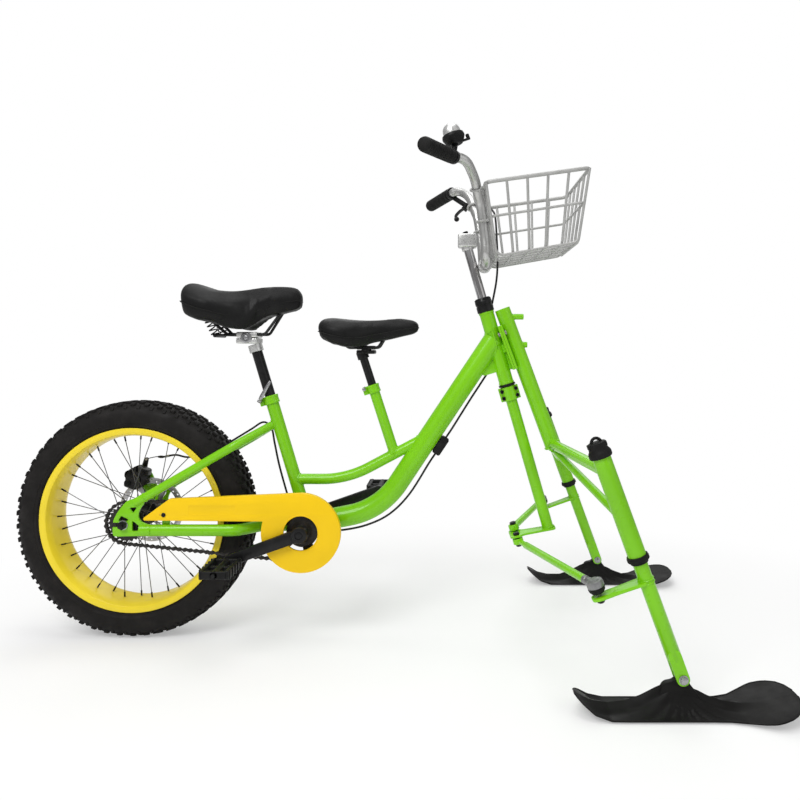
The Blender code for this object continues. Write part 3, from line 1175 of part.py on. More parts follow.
def make_steering_column():
    """The column through the head tube, with the pitman plate and its two pins at the bottom."""
    top = HEAD_TUBE_FOOT + COLUMN_UP * COLUMN_ABOVE
    root, rearward = pitman_frame()
    column = rod("steering_column", root, top, COLUMN_RADIUS, 16)
    turn = Matrix.Rotation(-PITMAN_SLOPE, 4, "Y")
    size = (PITMAN_LENGTH + 0.012, 2 * PITMAN_HALF_WIDTH, PITMAN_THICKNESS)
    arm = block("arm", size, root + rearward * (PITMAN_LENGTH / 2 - 0.006), turn)
    end = block("end", (2 * PITMAN_END_RADIUS, 2 * (PITMAN_SPREAD + PITMAN_END_RADIUS * 0.7), PITMAN_THICKNESS - 0.0004),
                root + rearward * PITMAN_LENGTH, turn)
    pieces = [arm, end]
    for side, _ in SIDES:
        pin = rod_pin(side)
        along = COLUMN_UP * side
        far = PITMAN_THICKNESS / 2 + ROD_EYE_GAP + ROD_EYE_HEIGHT + FIT
        pieces.append(rod("pin", pin - along * 0.006, pin + along * (far + PIN_HEAD_HEIGHT), PIN_RADIUS, 12))
        pieces.append(rod("pin_head", pin + along * far, pin + along * (far + PIN_HEAD_HEIGHT), PIN_HEAD_RADIUS, 6))
        pieces.append(rod("pin_nut", pin, pin - along * 0.009, PIN_HEAD_RADIUS, 6))
        pieces.append(rod("spacer", pin, pin + along * (far - ROD_EYE_HEIGHT - 2 * FIT), PIN_RADIUS * 1.5, 12))
    column = joined(column, *pieces)
    bore = rod("quill_bore", HEAD_TUBE_FOOT + COLUMN_UP * (QUILL_FOOT - 0.004), top + COLUMN_UP * 0.01, COLUMN_BORE, 16)
    return cut(column, bore)


def make_clamp_ring():
    """The clamp round the column under the head tube, with two bolts across it at the front."""
    top = -(HEADSET_BOTTOM_HEIGHT + 2 * FIT)
    inner = COLUMN_RADIUS + FIT
    outer = inner + CLAMP_RING_WALL
    core = inner - 0.0020
    profile = [(core, top), (outer, top), (outer, top - CLAMP_RING_HEIGHT), (core, top - CLAMP_RING_HEIGHT)]
    ring = turned("column_clamp", profile, HEAD_TUBE_FOOT, COLUMN_UP, steps=16, closed=True)
    ahead = Vector((COLUMN_UP.z, 0, -COLUMN_UP.x))
    pieces = []
    for share in (0.25, 0.75):
        for way in (-1, 1):
            place = HEAD_TUBE_FOOT + COLUMN_UP * (top - CLAMP_RING_HEIGHT * share) + ahead * way * (outer - 0.001)
            pieces.append(rod("bolt", place - Vector((0, 0.014, 0)), place + Vector((0, 0.014, 0)),
                              CLAMP_RING_BOLT_RADIUS, 10))
    ring = joined(ring, *pieces)
    bore = rod("bore", HEAD_TUBE_FOOT, HEAD_TUBE_FOOT - COLUMN_UP * 0.06, inner, 16)
    return cut(ring, bore)


def make_headset(name, place, way, height):
    """A bearing cup pressed against one end of the head tube, with a lip inside it."""
    inner = COLUMN_RADIUS + RUNNING
    lip = HEAD_TUBE_BORE - FIT
    profile = [(inner, height), (HEADSET_RADIUS * 0.86, height), (HEADSET_RADIUS, height * 0.8),
               (HEADSET_RADIUS, FIT), (lip, FIT), (lip, -0.008), (inner, -0.008)]
    return turned(name, profile, place, way, steps=18, closed=True)


def make_stem():
    """A chrome quill with a head block, and an arm down and forward to the clamp round the bar."""
    quill = rod("stem", HEAD_TUBE_FOOT + COLUMN_UP * QUILL_FOOT,
                HEAD_TUBE_FOOT + COLUMN_UP * (STEM_BLOCK_PLACE + 0.004), QUILL_RADIUS, 16)
    centre = HEAD_TUBE_FOOT + COLUMN_UP * (STEM_BLOCK_PLACE + STEM_BLOCK_HEIGHT / 2) + Vector((0.004, 0, 0))
    head = block("head", (STEM_BLOCK_LENGTH, STEM_BLOCK_WIDTH, STEM_BLOCK_HEIGHT), centre)
    reach = Vector((0, STEM_CLAMP_WIDTH / 2, 0))
    clamp = rod("clamp", BAR_CLAMP - reach, BAR_CLAMP + reach, STEM_CLAMP_RADIUS, 20)
    low = BAR_CLAMP + Vector((-0.010, 0, -0.004))
    high = centre + Vector((STEM_BLOCK_LENGTH / 2 - 0.003, 0, -0.004))
    outline = [(high.x - 0.030, high.z), (high.x, high.z + 0.008), (BAR_CLAMP.x + 0.010, BAR_CLAMP.z + 0.006),
               (low.x, low.z)]
    arm = plate("arm", [outline], STEM_CLAMP_WIDTH - 0.006, SIDE_VIEW)
    stem = joined(quill, head, clamp, arm)
    bore = rod("bar_bore", BAR_CLAMP - reach * 2, BAR_CLAMP + reach * 2, BAR_RADIUS + 0.0004, 20)
    return cut(stem, bore)


def grip_line(side):
    """The bar's last bend and the grip's end, on one side."""
    start = Vector(BAR_LINE[-1])
    end = GRIP_END.copy()
    if side < 0:
        start.y = -start.y
        end.y = -end.y
    return start, end


def make_handlebar():
    start, end = grip_line(1)
    half = flowing(BAR_LINE, BAR_STEPS) + [end - (end - start).normalized() * 0.004]
    return tube("handlebar", mirrored(half[::-1]) + half, BAR_RADIUS, 3)


def make_grip(side, name):
    start, end = grip_line(side)
    run = (start - end).normalized()
    foot = end
    profile = [(0.0, GRIP_LENGTH), (GRIP_RADIUS * 0.85, GRIP_LENGTH), (GRIP_RADIUS, GRIP_LENGTH - 0.006),
               (GRIP_RADIUS, 0.006), (GRIP_RADIUS * 0.8, 0.0), (0.0, 0.0)]
    profile = [(radius, height - 0.003) for radius, height in profile]
    grip = turned(name + "_grip", profile, foot, run, steps=16)
    bore = rod("bore", foot - run * -0.0034, foot + run * 0.2, BAR_RADIUS + 0.0004, 16)
    return cut(grip, bore)


def bar_place(side, back):
    """A point on the bar's end stretch, a distance inboard of the grip, and the way along it outwards."""
    start, end = grip_line(side)
    run = (end - start).normalized()
    return end - run * (GRIP_LENGTH + back), run


def make_bar_clamp(name, side, back):
    """A ring round the bar."""
    place, run = bar_place(side, back)
    inner = BAR_RADIUS + 0.0005
    outer = inner + BAR_CLAMP_WALL
    half = BAR_CLAMP_WIDTH / 2
    return turned(name, [(inner, half), (outer, half), (outer, -half), (inner, -half)], place, run, 16, closed=True)


def bell_up():
    return Vector((-math.sin(BELL_LEAN), 0, math.cos(BELL_LEAN)))


def make_bell():
    """A dome on a round base, clamped to the bar."""
    up = bell_up()
    ring = make_bar_clamp("ring", -1, 0.008)
    dome_foot = BELL_BASE_HEIGHT
    wall = BELL_DOME_HEIGHT - BELL_DOME_RADIUS
    profile = [(0.0, dome_foot + BELL_DOME_HEIGHT)]
    for i in range(1, 5):
        angle = math.pi / 2 * i / 4
        profile.append((BELL_DOME_RADIUS * math.sin(angle), dome_foot + wall + BELL_DOME_RADIUS * math.cos(angle)))
    profile += [(BELL_DOME_RADIUS, dome_foot), (BELL_BASE_RADIUS * 0.92, dome_foot), (BELL_BASE_RADIUS, dome_foot * 0.7),
                (BELL_BASE_RADIUS * 0.64, 0.0), (0.0, 0.0)]
    bell = turned("bell", profile, BELL_CENTRE, up, steps=16)
    place, _ = bar_place(-1, 0.008)
    run = (BELL_CENTRE - place).normalized()
    neck = rod("neck", place + run * (BAR_RADIUS + BAR_CLAMP_WALL), BELL_CENTRE + up * 0.003, 0.0055, 10)
    pivot, _ = bell_lever_pivot()
    foot = pivot - up * (BELL_LEVER_HUB / 2 + FIT + BELL_EAR_THICKNESS / 2)
    ahead = (pivot - BELL_CENTRE - up * (pivot - BELL_CENTRE).dot(up)).normalized()
    turn = Matrix.Rotation(-BELL_LEAN, 4, "Y")
    ear = block("ear", (0.0220, 0.0080, BELL_EAR_THICKNESS), foot - ahead * 0.0070, turn)
    pin = rod("pin", foot, pivot + up * (BELL_LEVER_HUB / 2 + 0.0015), BELL_PIN_RADIUS, 10)
    return joined(bell, neck, ring, ear, pin)


def bell_lever_pivot():
    ahead = Vector((math.cos(BELL_LEAN), 0, math.sin(BELL_LEAN)))
    return BELL_CENTRE + ahead * (BELL_BASE_RADIUS + 0.0050) + bell_up() * 0.010, bell_up()


def make_bell_lever():
    """A thumb lever just ahead of the base, on an upright pin."""
    pivot, up = bell_lever_pivot()
    hub = rod("bell_lever", pivot - up * BELL_LEVER_HUB / 2, pivot + up * BELL_LEVER_HUB / 2, 0.0040, 12)
    ahead = Vector((math.cos(BELL_LEAN), 0, math.sin(BELL_LEAN)))
    tip = pivot + Vector((0, 1, 0)) * BELL_LEVER_LENGTH + ahead * 0.003
    blade = rod("blade", pivot, tip, 0.0030, 10)
    bore = rod("bore", pivot - up * BELL_LEVER_HUB, pivot + up * BELL_LEVER_HUB, BELL_PIN_RADIUS + RUNNING / 4, 10)
    return cut(joined(hub, blade), bore)


def make_lever_perch():
    """A clamp on the bar, and a body below it that ends in a fork for the lever."""
    ring = make_bar_clamp("brake_lever_perch", 1, 0.008)
    place, run = bar_place(1, 0.008)
    spine = LEVER_PIVOT - LEVER_WAY * 0.0140
    out = spine - place
    out = (out - run * out.dot(run)).normalized()
    body = rod("body", place + out * (BAR_RADIUS + BAR_CLAMP_WALL), spine, 0.0060, 12)
    barrel = rod("barrel", spine, Vector(FRONT_CABLE[0]) + LEVER_WAY * 0.003, 0.0055, 10)
    turn = Matrix.Rotation(math.radians(45), 4, "Y")
    back = block("back", (0.0140, 0.0080, 0.0180), spine, turn)
    cheeks = rod("cheeks", LEVER_PIVOT - LEVER_AXIS * 0.0088, LEVER_PIVOT + LEVER_AXIS * 0.0088, 0.0085, 12)
    bridge = block("bridge", (0.0130, 0.0140, 0.0174), LEVER_PIVOT - LEVER_WAY * 0.0070, turn)
    slot = rod("slot", LEVER_PIVOT - LEVER_AXIS * 0.0058, LEVER_PIVOT + LEVER_AXIS * 0.0058, 0.0094, 16)
    return cut(joined(ring, body, barrel, back, cheeks, bridge), slot)


def make_brake_lever():
    """A blade that runs outwards ahead of the grip, to a ball end."""
    hub = rod("brake_lever", LEVER_PIVOT - LEVER_AXIS * 0.0050, LEVER_PIVOT + LEVER_AXIS * 0.0050, 0.0080, 12)
    blade = tube("blade", flowing((LEVER_PIVOT,) + LEVER_LINE, 2), LEVER_RADIUS, 2)
    bpy.ops.mesh.primitive_uv_sphere_add(segments=10, ring_count=6, radius=LEVER_RADIUS * 1.6)
    ball = frozen(bpy.context.object, Matrix.Translation(LEVER_LINE[-1]))
    return joined(hub, blade, ball)


# Basket

def basket_point(length_share, width_share, height_share):
    """A point of the tapered basket: shares of the way forward, across and up."""
    rear = [low + (high - low) * height_share for low, high in zip(BASKET_FLOOR_REAR, BASKET_RIM_REAR)]
    front = [low + (high - low) * height_share for low, high in zip(BASKET_FLOOR_FRONT, BASKET_RIM_FRONT)]
    half = BASKET_FLOOR_HALF_WIDTH + (BASKET_RIM_HALF_WIDTH - BASKET_FLOOR_HALF_WIDTH) * height_share
    x = rear[0] + (front[0] - rear[0]) * length_share
    z = rear[1] + (front[1] - rear[1]) * length_share
    return Vector((x, half * (2 * width_share - 1), z))


def make_basket():
    """A wire grid folded into a floor and four walls, with a thicker rim, on two pairs of rings round the bar."""
    long, wide = BASKET_CELLS_LONG, BASKET_CELLS_WIDE
    form = bmesh.new()
    floor = [[form.verts.new(basket_point(i / long, j / wide, 0.0)) for j in range(wide + 1)] for i in range(long + 1)]
    for i in range(long):
        for j in range(wide):
            form.faces.new((floor[i][j], floor[i + 1][j], floor[i + 1][j + 1], floor[i][j + 1]))
    edge = [(i, 0) for i in range(long)] + [(long, j) for j in range(wide)]
    edge += [(i, wide) for i in range(long, 0, -1)] + [(0, j) for j in range(wide, 0, -1)]
    lower = [floor[i][j] for i, j in edge]
    for height in (BASKET_MID_WIRE, 1.0):
        upper = [form.verts.new(basket_point(i / long, j / wide, height)) for i, j in edge]
        for k in range(len(edge)):
            n = (k + 1) % len(edge)
            form.faces.new((lower[k], lower[n], upper[n], upper[k]))
        lower = upper
    bmesh.ops.recalc_face_normals(form, faces=form.faces)
    mesh = bpy.data.meshes.new("basket")
    form.to_mesh(mesh)
    form.free()
    basket = add_object("basket", mesh)
    wires = basket.modifiers.new("Wires", "WIREFRAME")
    wires.thickness = BASKET_WIRE
    wires.use_even_offset = False
    wires.use_boundary = True
    wires.use_replace = True
    basket = frozen(basket)
    rim = [basket_point(i / long, j / wide, 1.0) for i, j in ((0, 0), (long, 0), (long, wide), (0, wide))]
    rods = [rod("rim", start, end, BASKET_RIM_RADIUS, 10) for start, end in zip(rim, rim[1:] + rim[:1])]
    return joined(basket, *rods, *basket_rings())


def basket_rings():
    """Rings round the bar's two risers, at the rim and at the middle wire."""
    rings = []
    line = flowing(BAR_LINE, BAR_STEPS)
    mid = BASKET_FLOOR_REAR[1] + (BASKET_RIM_REAR[1] - BASKET_FLOOR_REAR[1]) * BASKET_MID_WIRE
    for height in (mid, BASKET_RIM_REAR[1] - 0.0045):
        for before, after in zip(line, line[1:]):
            if before.z <= height < after.z:
                place = before.lerp(after, (height - before.z) / (after.z - before.z))
                way = (after - before).normalized()
        middle = BAR_RADIUS + HOOK_WIRE_RADIUS + RUNNING
        profile = circle((middle, 0.0), HOOK_WIRE_RADIUS, 5)
        for centre, run in zip([place] + mirrored([place]), [way] + mirrored([way])):
            rings.append(turned("hook", profile, centre, run, steps=10, closed=True))
    return rings


# Seats

def post_rearward(lean):
    return Vector((-math.cos(lean), 0, -math.sin(lean)))


def make_collar(name, top, up, lean, tube_radius):
    """A clamp ring round a seat tube's end, with two ears behind it and a pin through them."""
    inner = tube_radius + FIT
    outer = inner + COLLAR_WALL
    ring = turned(name, [(inner, COLLAR_ABOVE), (outer, COLLAR_ABOVE), (outer, COLLAR_ABOVE - COLLAR_HEIGHT),
                         (inner, COLLAR_ABOVE - COLLAR_HEIGHT)], top, up, steps=20, closed=True)
    turn = Matrix.Rotation(-lean, 4, "Y")
    centre = top + up * (COLLAR_ABOVE - COLLAR_HEIGHT / 2) + post_rearward(lean) * (outer + COLLAR_EAR_REACH / 2 - 0.001)
    ears = block("ears", (COLLAR_EAR_REACH, COLLAR_EAR_WIDTH, COLLAR_HEIGHT - 0.0004), centre, turn)
    pin_place = collar_pin(top, up, lean, tube_radius)
    pin = rod("pin", pin_place + Vector((0, -COLLAR_EAR_WIDTH / 2 + 0.002, 0)),
              pin_place + Vector((0, COLLAR_EAR_WIDTH / 2 + 0.007, 0)), 0.0042, 12)
    return joined(ring, ears, pin)


def collar_pin(top, up, lean, tube_radius):
    outer = tube_radius + FIT + COLLAR_WALL
    return top + up * (COLLAR_ABOVE - 0.0048) + post_rearward(lean) * (outer + COLLAR_EAR_REACH * 0.55)


def make_child_collar():
    collar = make_collar("child_seat_collar", CHILD_TUBE_TOP, CHILD_UP, CHILD_TUBE_LEAN, CHILD_TUBE_RADIUS)
    place = collar_pin(CHILD_TUBE_TOP, CHILD_UP, CHILD_TUBE_LEAN, CHILD_TUBE_RADIUS)
    head = rod("head", place, place - Vector((0, COLLAR_EAR_WIDTH / 2 + 0.005, 0)), 0.0044, 12)
    return joined(collar, head)


def quick_release_pivot():
    place = collar_pin(SEAT_TUBE_TOP, SEAT_UP, SEAT_TUBE_LEAN, SEAT_TUBE_RADIUS)
    return place - Vector((0, COLLAR_EAR_WIDTH / 2 + FIT + QUICK_RELEASE_RADIUS, 0))


def make_quick_release():
    """A cam against the collar's near ear, with a blade that flips outwards."""
    pivot = quick_release_pivot()
    across = Vector((QUICK_RELEASE_WAY.z, 0, -QUICK_RELEASE_WAY.x))
    cam = rod("quick_release_lever", pivot - across * 0.0048, pivot + across * 0.0048, QUICK_RELEASE_RADIUS, 16)
    out = Vector((0, -1, 0))
    line = flowing([pivot + out * 0.0010, pivot + QUICK_RELEASE_WAY * 0.008 + out * 0.0055,
                    pivot + QUICK_RELEASE_WAY * 0.026 + out * 0.0070,
                    pivot + QUICK_RELEASE_WAY * QUICK_RELEASE_LENGTH + out * 0.0070], 2)
    return joined(cam, tube("blade", line, QUICK_RELEASE_BLADE, 2))


def saddle(name, stations):
    """A padded saddle: its sections have a crown, a widest edge, drawn-in sides and a belly."""
    sections = []
    for x, half, crown, belly, hollow in stations:
        depth = crown - belly
        side = [(0.0, crown), (0.42 * half, crown - 0.05 * depth), (0.78 * half, crown - 0.19 * depth),
                (half, crown - 0.44 * depth), (0.96 * half, crown - 0.78 * depth), (0.82 * half, belly),
                (0.52 * half, belly + hollow), (0.0, belly + hollow)]
        ring = side + [(-y, z) for y, z in side[-2:0:-1]]
        sections.append([(x, y, z) for y, z in ring])
    return loft(name, sections)


def rails(points, radius):
    """A pair of saddle rails through (x, y, z) points given for the left one."""
    path = bent(points, 0.012, 3)
    return [tube("rail", path, radius, 1), tube("rail", mirrored(path), radius, 1)]


def make_rear_saddle():
    return joined(saddle("rear_saddle", REAR_SADDLE), *rails(REAR_RAIL, RAIL_RADIUS))


def make_child_saddle():
    return joined(saddle("child_saddle", CHILD_SADDLE), *rails(CHILD_RAIL, RAIL_RADIUS))


def make_seatpost(name, top, up, shown, inserted, radius):
    return rod(name, top - up * inserted, top + up * shown, radius, 20)


def make_saddle_clamp(name, centre, size, rail, post_top, up, post_radius):
    """A clamp on the post's end, with two grooves that grip the rails."""
    body = block(name, size, centre)
    pin = rod("pin", centre - Vector((0, size[1] / 2 + 0.006, 0)), centre + Vector((0, size[1] / 2 + 0.006, 0)),
              size[2] * 0.34, 12)
    collar = rod("socket", post_top - up * 0.016, post_top + up * 0.002, post_radius + 0.0040, 20)
    body = joined(body, pin, collar)
    start = Vector(rail[1])
    end = Vector(rail[2])
    reach = (end - start).normalized() * 0.01
    bores = [rod("bore", start - reach, end + reach, RAIL_RADIUS + FIT, 12)]
    flat = mirrored([start - reach, end + reach])
    bores.append(rod("bore", flat[0], flat[1], RAIL_RADIUS + FIT, 12))
    bores.append(rod("post_bore", post_top - up * 0.05, post_top + up * FIT, post_radius + 0.0004, 20))
    return cut(body, *bores)


def make_rear_saddle_clamp():
    top = SEAT_TUBE_TOP + SEAT_UP * REAR_POST_SHOWN
    return make_saddle_clamp("rear_saddle_clamp", REAR_CLAMP_CENTRE, REAR_CLAMP_SIZE, REAR_RAIL, top, SEAT_UP,
                             REAR_POST_RADIUS)


def make_child_saddle_clamp():
    top = CHILD_TUBE_TOP + CHILD_UP * CHILD_POST_SHOWN
    return make_saddle_clamp("child_saddle_clamp", CHILD_CLAMP_CENTRE, CHILD_CLAMP_SIZE, CHILD_RAIL, top, CHILD_UP,
                             CHILD_POST_RADIUS)


# Brake caliper and cables

def make_caliper_body():
    outer_face = STAY_SPREAD - DROPOUT_THICKNESS / 2 - FIT
    middle = (CALIPER_INNER_FACE + outer_face) / 2
    body = axle_plate("caliper_body", (CALIPER_OUTLINE,), outer_face - CALIPER_INNER_FACE, middle)
    half = ROTOR_THICKNESS / 2 + CALIPER_SLOT_MARGIN
    disc = rod("disc", REAR_AXLE + Vector((0, ROTOR_PLACE - half, 0)), REAR_AXLE + Vector((0, ROTOR_PLACE + half, 0)),
               ROTOR_RADIUS + 0.0025, 48)
    return cut(body, disc)


def make_caliper_arm():
    """The arm outside the caliper, on a pin through the frame's tab."""
    pivot = from_axle(CALIPER_PIVOT, 0.0)
    inner = STAY_SPREAD + DROPOUT_THICKNESS / 2 + 0.0010
    outer = inner + CALIPER_ARM_THICKNESS
    tip = pivot + Vector((math.cos(CALIPER_ARM_ANGLE), 0, math.sin(CALIPER_ARM_ANGLE))) * CALIPER_ARM_LENGTH
    hub = rod("caliper_arm", pivot + Vector((0, inner, 0)), pivot + Vector((0, outer + 0.002, 0)), CALIPER_ARM_RADIUS, 18)
    start = CALIPER_ARM_ANGLE + math.pi / 2
    outline = circle((pivot.x, pivot.z), CALIPER_ARM_RADIUS * 0.8, 7, start, math.pi)
    outline += circle((tip.x, tip.z), CALIPER_ARM_RADIUS * 0.45, 7, start + math.pi, math.pi)
    blade = plate("blade", [outline], CALIPER_ARM_THICKNESS - 0.001,
                  Matrix.Translation((0, (inner + outer) / 2, 0)) @ SIDE_VIEW)
    pin = rod("pin", pivot + Vector((0, STAY_SPREAD - DROPOUT_THICKNESS / 2, 0)), pivot + Vector((0, outer, 0)),
              CALIPER_PIN_RADIUS, 12)
    return joined(hub, blade, pin)


def make_cable(name, points, steps=2):
    return tube(name, flowing(points, steps), CABLE_RADIUS, 1)


def box_frame():
    """The middle of the cable box and the way up along the down tube's underside."""
    joint = HEAD_TUBE_FOOT + COLUMN_UP * DOWN_TUBE_JOINT
    way = (joint - DOWN_TUBE_CORNER).normalized()
    under = Vector((way.z, 0, -way.x))
    share = (CABLE_BOX_HEIGHT - DOWN_TUBE_CORNER.z) / way.z
    return DOWN_TUBE_CORNER + way * share + under * (DOWN_TUBE_RADIUS + FIT + CABLE_BOX_DEPTH / 2), way, under


def make_cable_box():
    """A black box under the down tube that joins the two runs of the brake cable."""
    centre, way, under = box_frame()
    turn = Matrix.Rotation(-math.atan2(way.z, way.x), 4, "Y")
    box = block("cable_box", (CABLE_BOX_LENGTH, CABLE_BOX_WIDTH, CABLE_BOX_DEPTH), centre, turn)
    bore = rod("bore", centre - way * CABLE_BOX_LENGTH, centre + way * CABLE_BOX_LENGTH, CABLE_RADIUS + 0.0004, 12)
    return cut(box, bore)


def cable_through_box(share):
    """A point on the cable's line through the box, from its lower end (-1) to its upper end (1)."""
    centre, way, _ = box_frame()
    return centre + way * CABLE_BOX_LENGTH / 2 * share


def make_upper_cable():
    return make_cable("upper_brake_cable", UPPER_CABLE + (cable_through_box(2.2), cable_through_box(1.3), cable_through_box(0.1)))


def make_rear_cable():
    return make_cable("rear_brake_cable", (cable_through_box(-0.1), cable_through_box(-1.3), cable_through_box(-2.2)) + REAR_CABLE)


# Assembly: each moving body has an empty on its joint, and its pieces hang from it

def make_pieces():
    """Every piece by the body it moves with, with its finish and the place of its origin."""
    bodies = {
        "frame": [
            (make_main_frame(), "green_paint", BRACKET),
            (make_ski_frame(), "green_paint", FRONT_TUBE_TOP),
            (make_headset("headset_top", HEAD_TUBE_TOP, COLUMN_UP, HEADSET_TOP_HEIGHT), "black_steel", HEAD_TUBE_TOP),
            (make_headset("headset_bottom", HEAD_TUBE_FOOT, -COLUMN_UP, HEADSET_BOTTOM_HEIGHT), "black_steel",
             HEAD_TUBE_FOOT),
            (make_collar("rear_seat_collar", SEAT_TUBE_TOP, SEAT_UP, SEAT_TUBE_LEAN, SEAT_TUBE_RADIUS), "green_paint",
             SEAT_TUBE_TOP),
            (make_child_collar(), "green_paint", CHILD_TUBE_TOP),
            (make_chain_guard(), "yellow_plastic", BRACKET),
            (make_guard_screw(), "black_steel", Vector((GUARD_SCREW[0], -GUARD_FACE, GUARD_SCREW[1]))),
            (make_chain(), "black_steel", BRACKET),
            (make_caliper_body(), "black_steel", from_axle(CALIPER_PIVOT, ROTOR_PLACE)),
            (make_upper_cable(), "black_plastic", Vector(UPPER_CABLE[0])),
            (make_rear_cable(), "black_plastic", Vector(REAR_CABLE[-1])),
            (make_cable_box(), "black_plastic", box_frame()[0]),
            (make_rear_axle(), "steel", REAR_AXLE),
            (make_bottom_bracket(), "black_steel", BRACKET),
        ],
        "rear_wheel": [
            (make_tyre(), "tyre_rubber", REAR_AXLE),
            (make_rim(), "yellow_paint", REAR_AXLE),
            (make_spoked_hub(), "black_steel", REAR_AXLE),
            (make_rotor(), "steel", REAR_AXLE),
        ],
        "freewheel": [(make_sprocket(), "steel", REAR_AXLE)],
        "crankset": [
            (make_spindle(), "steel", BRACKET),
            (make_chainring(), "black_steel", BRACKET),
            (make_crank(-1, "right"), "black_steel", BRACKET),
            (make_crank(1, "left"), "black_steel", BRACKET),
        ],
        "right_pedal": [(make_pedal(-1, "right"), "black_plastic", crank_eye(-1))],
        "left_pedal": [(make_pedal(1, "left"), "black_plastic", crank_eye(1))],
        "steering": [
            (make_steering_column(), "green_paint", HEAD_TUBE_FOOT),
            (make_clamp_ring(), "green_paint", HEAD_TUBE_FOOT),
            (make_stem(), "chrome", BAR_CLAMP),
            (make_handlebar(), "satin_silver", BAR_CLAMP),
            (make_grip(-1, "right"), "black_plastic", grip_line(-1)[1]),
            (make_grip(1, "left"), "black_plastic", grip_line(1)[1]),
            (make_basket(), "white_wire", basket_point(0.0, 0.5, 0.0)),
            (make_bell(), "chrome", BELL_CENTRE),
            (make_lever_perch(), "black_plastic", LEVER_PIVOT),
            (make_cable("front_brake_cable", FRONT_CABLE), "black_plastic", Vector(FRONT_CABLE[-1])),
        ],
        "bell_lever": [(make_bell_lever(), "black_plastic", bell_lever_pivot()[0])],
        "brake_lever": [(make_brake_lever(), "black_plastic", LEVER_PIVOT)],
        "caliper_arm": [(make_caliper_arm(), "black_steel", from_axle(CALIPER_PIVOT, STAY_SPREAD))],
        "rear_seat": [
            (make_seatpost("rear_seatpost", SEAT_TUBE_TOP, SEAT_UP, REAR_POST_SHOWN, REAR_POST_INSERTED,
                           REAR_POST_RADIUS), "black_steel", SEAT_TUBE_TOP),
            (make_rear_saddle(), "black_vinyl", REAR_CLAMP_CENTRE),
            (make_rear_saddle_clamp(), "satin_silver", REAR_CLAMP_CENTRE),
        ],
        "child_seat": [
            (make_seatpost("child_seatpost", CHILD_TUBE_TOP, CHILD_UP, CHILD_POST_SHOWN, CHILD_POST_INSERTED,
                           CHILD_POST_RADIUS), "black_steel", CHILD_TUBE_TOP),
            (make_child_saddle(), "black_vinyl", CHILD_CLAMP_CENTRE),
            (make_child_saddle_clamp(), "black_steel", CHILD_CLAMP_CENTRE),
        ],
        "quick_release": [(make_quick_release(), "satin_silver", quick_release_pivot())],
    }
    for side, name in SIDES:
        top, foot = housing_axis(side)
        bodies["frame"].append((make_subframe_bolt(side, name), "black_steel", subframe_bolt_place(side)))
        bodies["frame"].append((make_leg_cap(side, name), "black_plastic", top))
        bodies["frame"].append((make_leg_seal(side, name), "black_plastic", foot))
        bodies[name + "_leg"] = [
            (make_ski_leg(side, name), "green_paint", pivot_point(side)),
            (make_ski_bolt(side, name), "black_steel", pivot_point(side)),
        ]
        bodies[name + "_tie_rod"] = [(make_tie_rod(side, name), "green_paint", rod_pin(side))]
        bodies[name + "_ski"] = [(make_ski(side, name), "black_plastic", pivot_point(side))]
    return bodies


def body_places():
    """Each moving body's parent body and a point on its joint's axis."""
    places = {
        "frame": (None, Vector((0, 0, 0))),
        "rear_wheel": ("frame", REAR_AXLE),
        "freewheel": ("frame", REAR_AXLE - Vector((0, CHAIN_LINE, 0))),
        "crankset": ("frame", BRACKET),
        "right_pedal": ("crankset", crank_eye(-1)),
        "left_pedal": ("crankset", crank_eye(1)),
        "steering": ("frame", HEAD_TUBE_FOOT),
        "bell_lever": ("steering", bell_lever_pivot()[0]),
        "brake_lever": ("steering", LEVER_PIVOT),
        "caliper_arm": ("frame", from_axle(CALIPER_PIVOT, STAY_SPREAD)),
        "rear_seat": ("frame", SEAT_TUBE_TOP),
        "child_seat": ("frame", CHILD_TUBE_TOP),
        "quick_release": ("frame", quick_release_pivot()),
    }
    for side, name in SIDES:
        places[name + "_leg"] = ("frame", housing_axis(side)[1])
        places[name + "_tie_rod"] = ("steering", rod_pin(side))
        places[name + "_ski"] = (name + "_leg", pivot_point(side))
    return places


def place_origin(thing, origin):
    """Moves a piece's origin to a point, its shape staying where it is."""
    thing.data.transform(Matrix.Translation(-origin))
    thing.location = origin


def middle_along(bodies):
    """The middle of the bike's length, from its furthest points to the rear and to the front."""
    corners = [thing.location.x + vertex.co.x for pieces in bodies.values() for thing, _, _ in pieces
               for vertex in thing.data.vertices]
    return Vector(((min(corners) + max(corners)) / 2, 0, 0))


def assemble():
    clear_scene()
    folder = new_collection(COLLECTION)
    finishes = {name: make_material(name) for name in FINISHES}
    bodies = make_pieces()
    for pieces in bodies.values():
        for thing, finish, origin in pieces:
            place_origin(thing, origin)
            thing.data.name = thing.name
            thing.data.materials.append(finishes[finish])
    shift = middle_along(bodies)
    empties = {}
    places = body_places()
    for name, (parent, place) in places.items():
        empty = bpy.data.objects.new(name + "_joint", None)
        empty.empty_display_size = 0.05
        folder.objects.link(empty)
        empties[name] = empty
        if parent is None:
            empty.location = place
            continue
        empty.parent = empties[parent]
        home = places[parent][1] if places[parent][0] else shift
        empty.location = place - home
    for name, pieces in bodies.items():
        home = places[name][1] if places[name][0] else shift
        for thing, _, _ in pieces:
            thing.parent = empties[name]
            thing.location = thing.location - home


assemble()
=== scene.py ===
"""Dresses the packed snow bike for its picture: pieces, finishes, camera, floor and light.

Metres, +X forward, +Y to the rider's left, +Z up. Pieces are drawn with distances along the bike counted
from the bottom bracket, and put_on_model() moves each one to the packed model's own place.
"""
import json
import math

import bpy
from bpy.props import FloatProperty, FloatVectorProperty, IntProperty, PointerProperty
from mathutils import Matrix, Vector


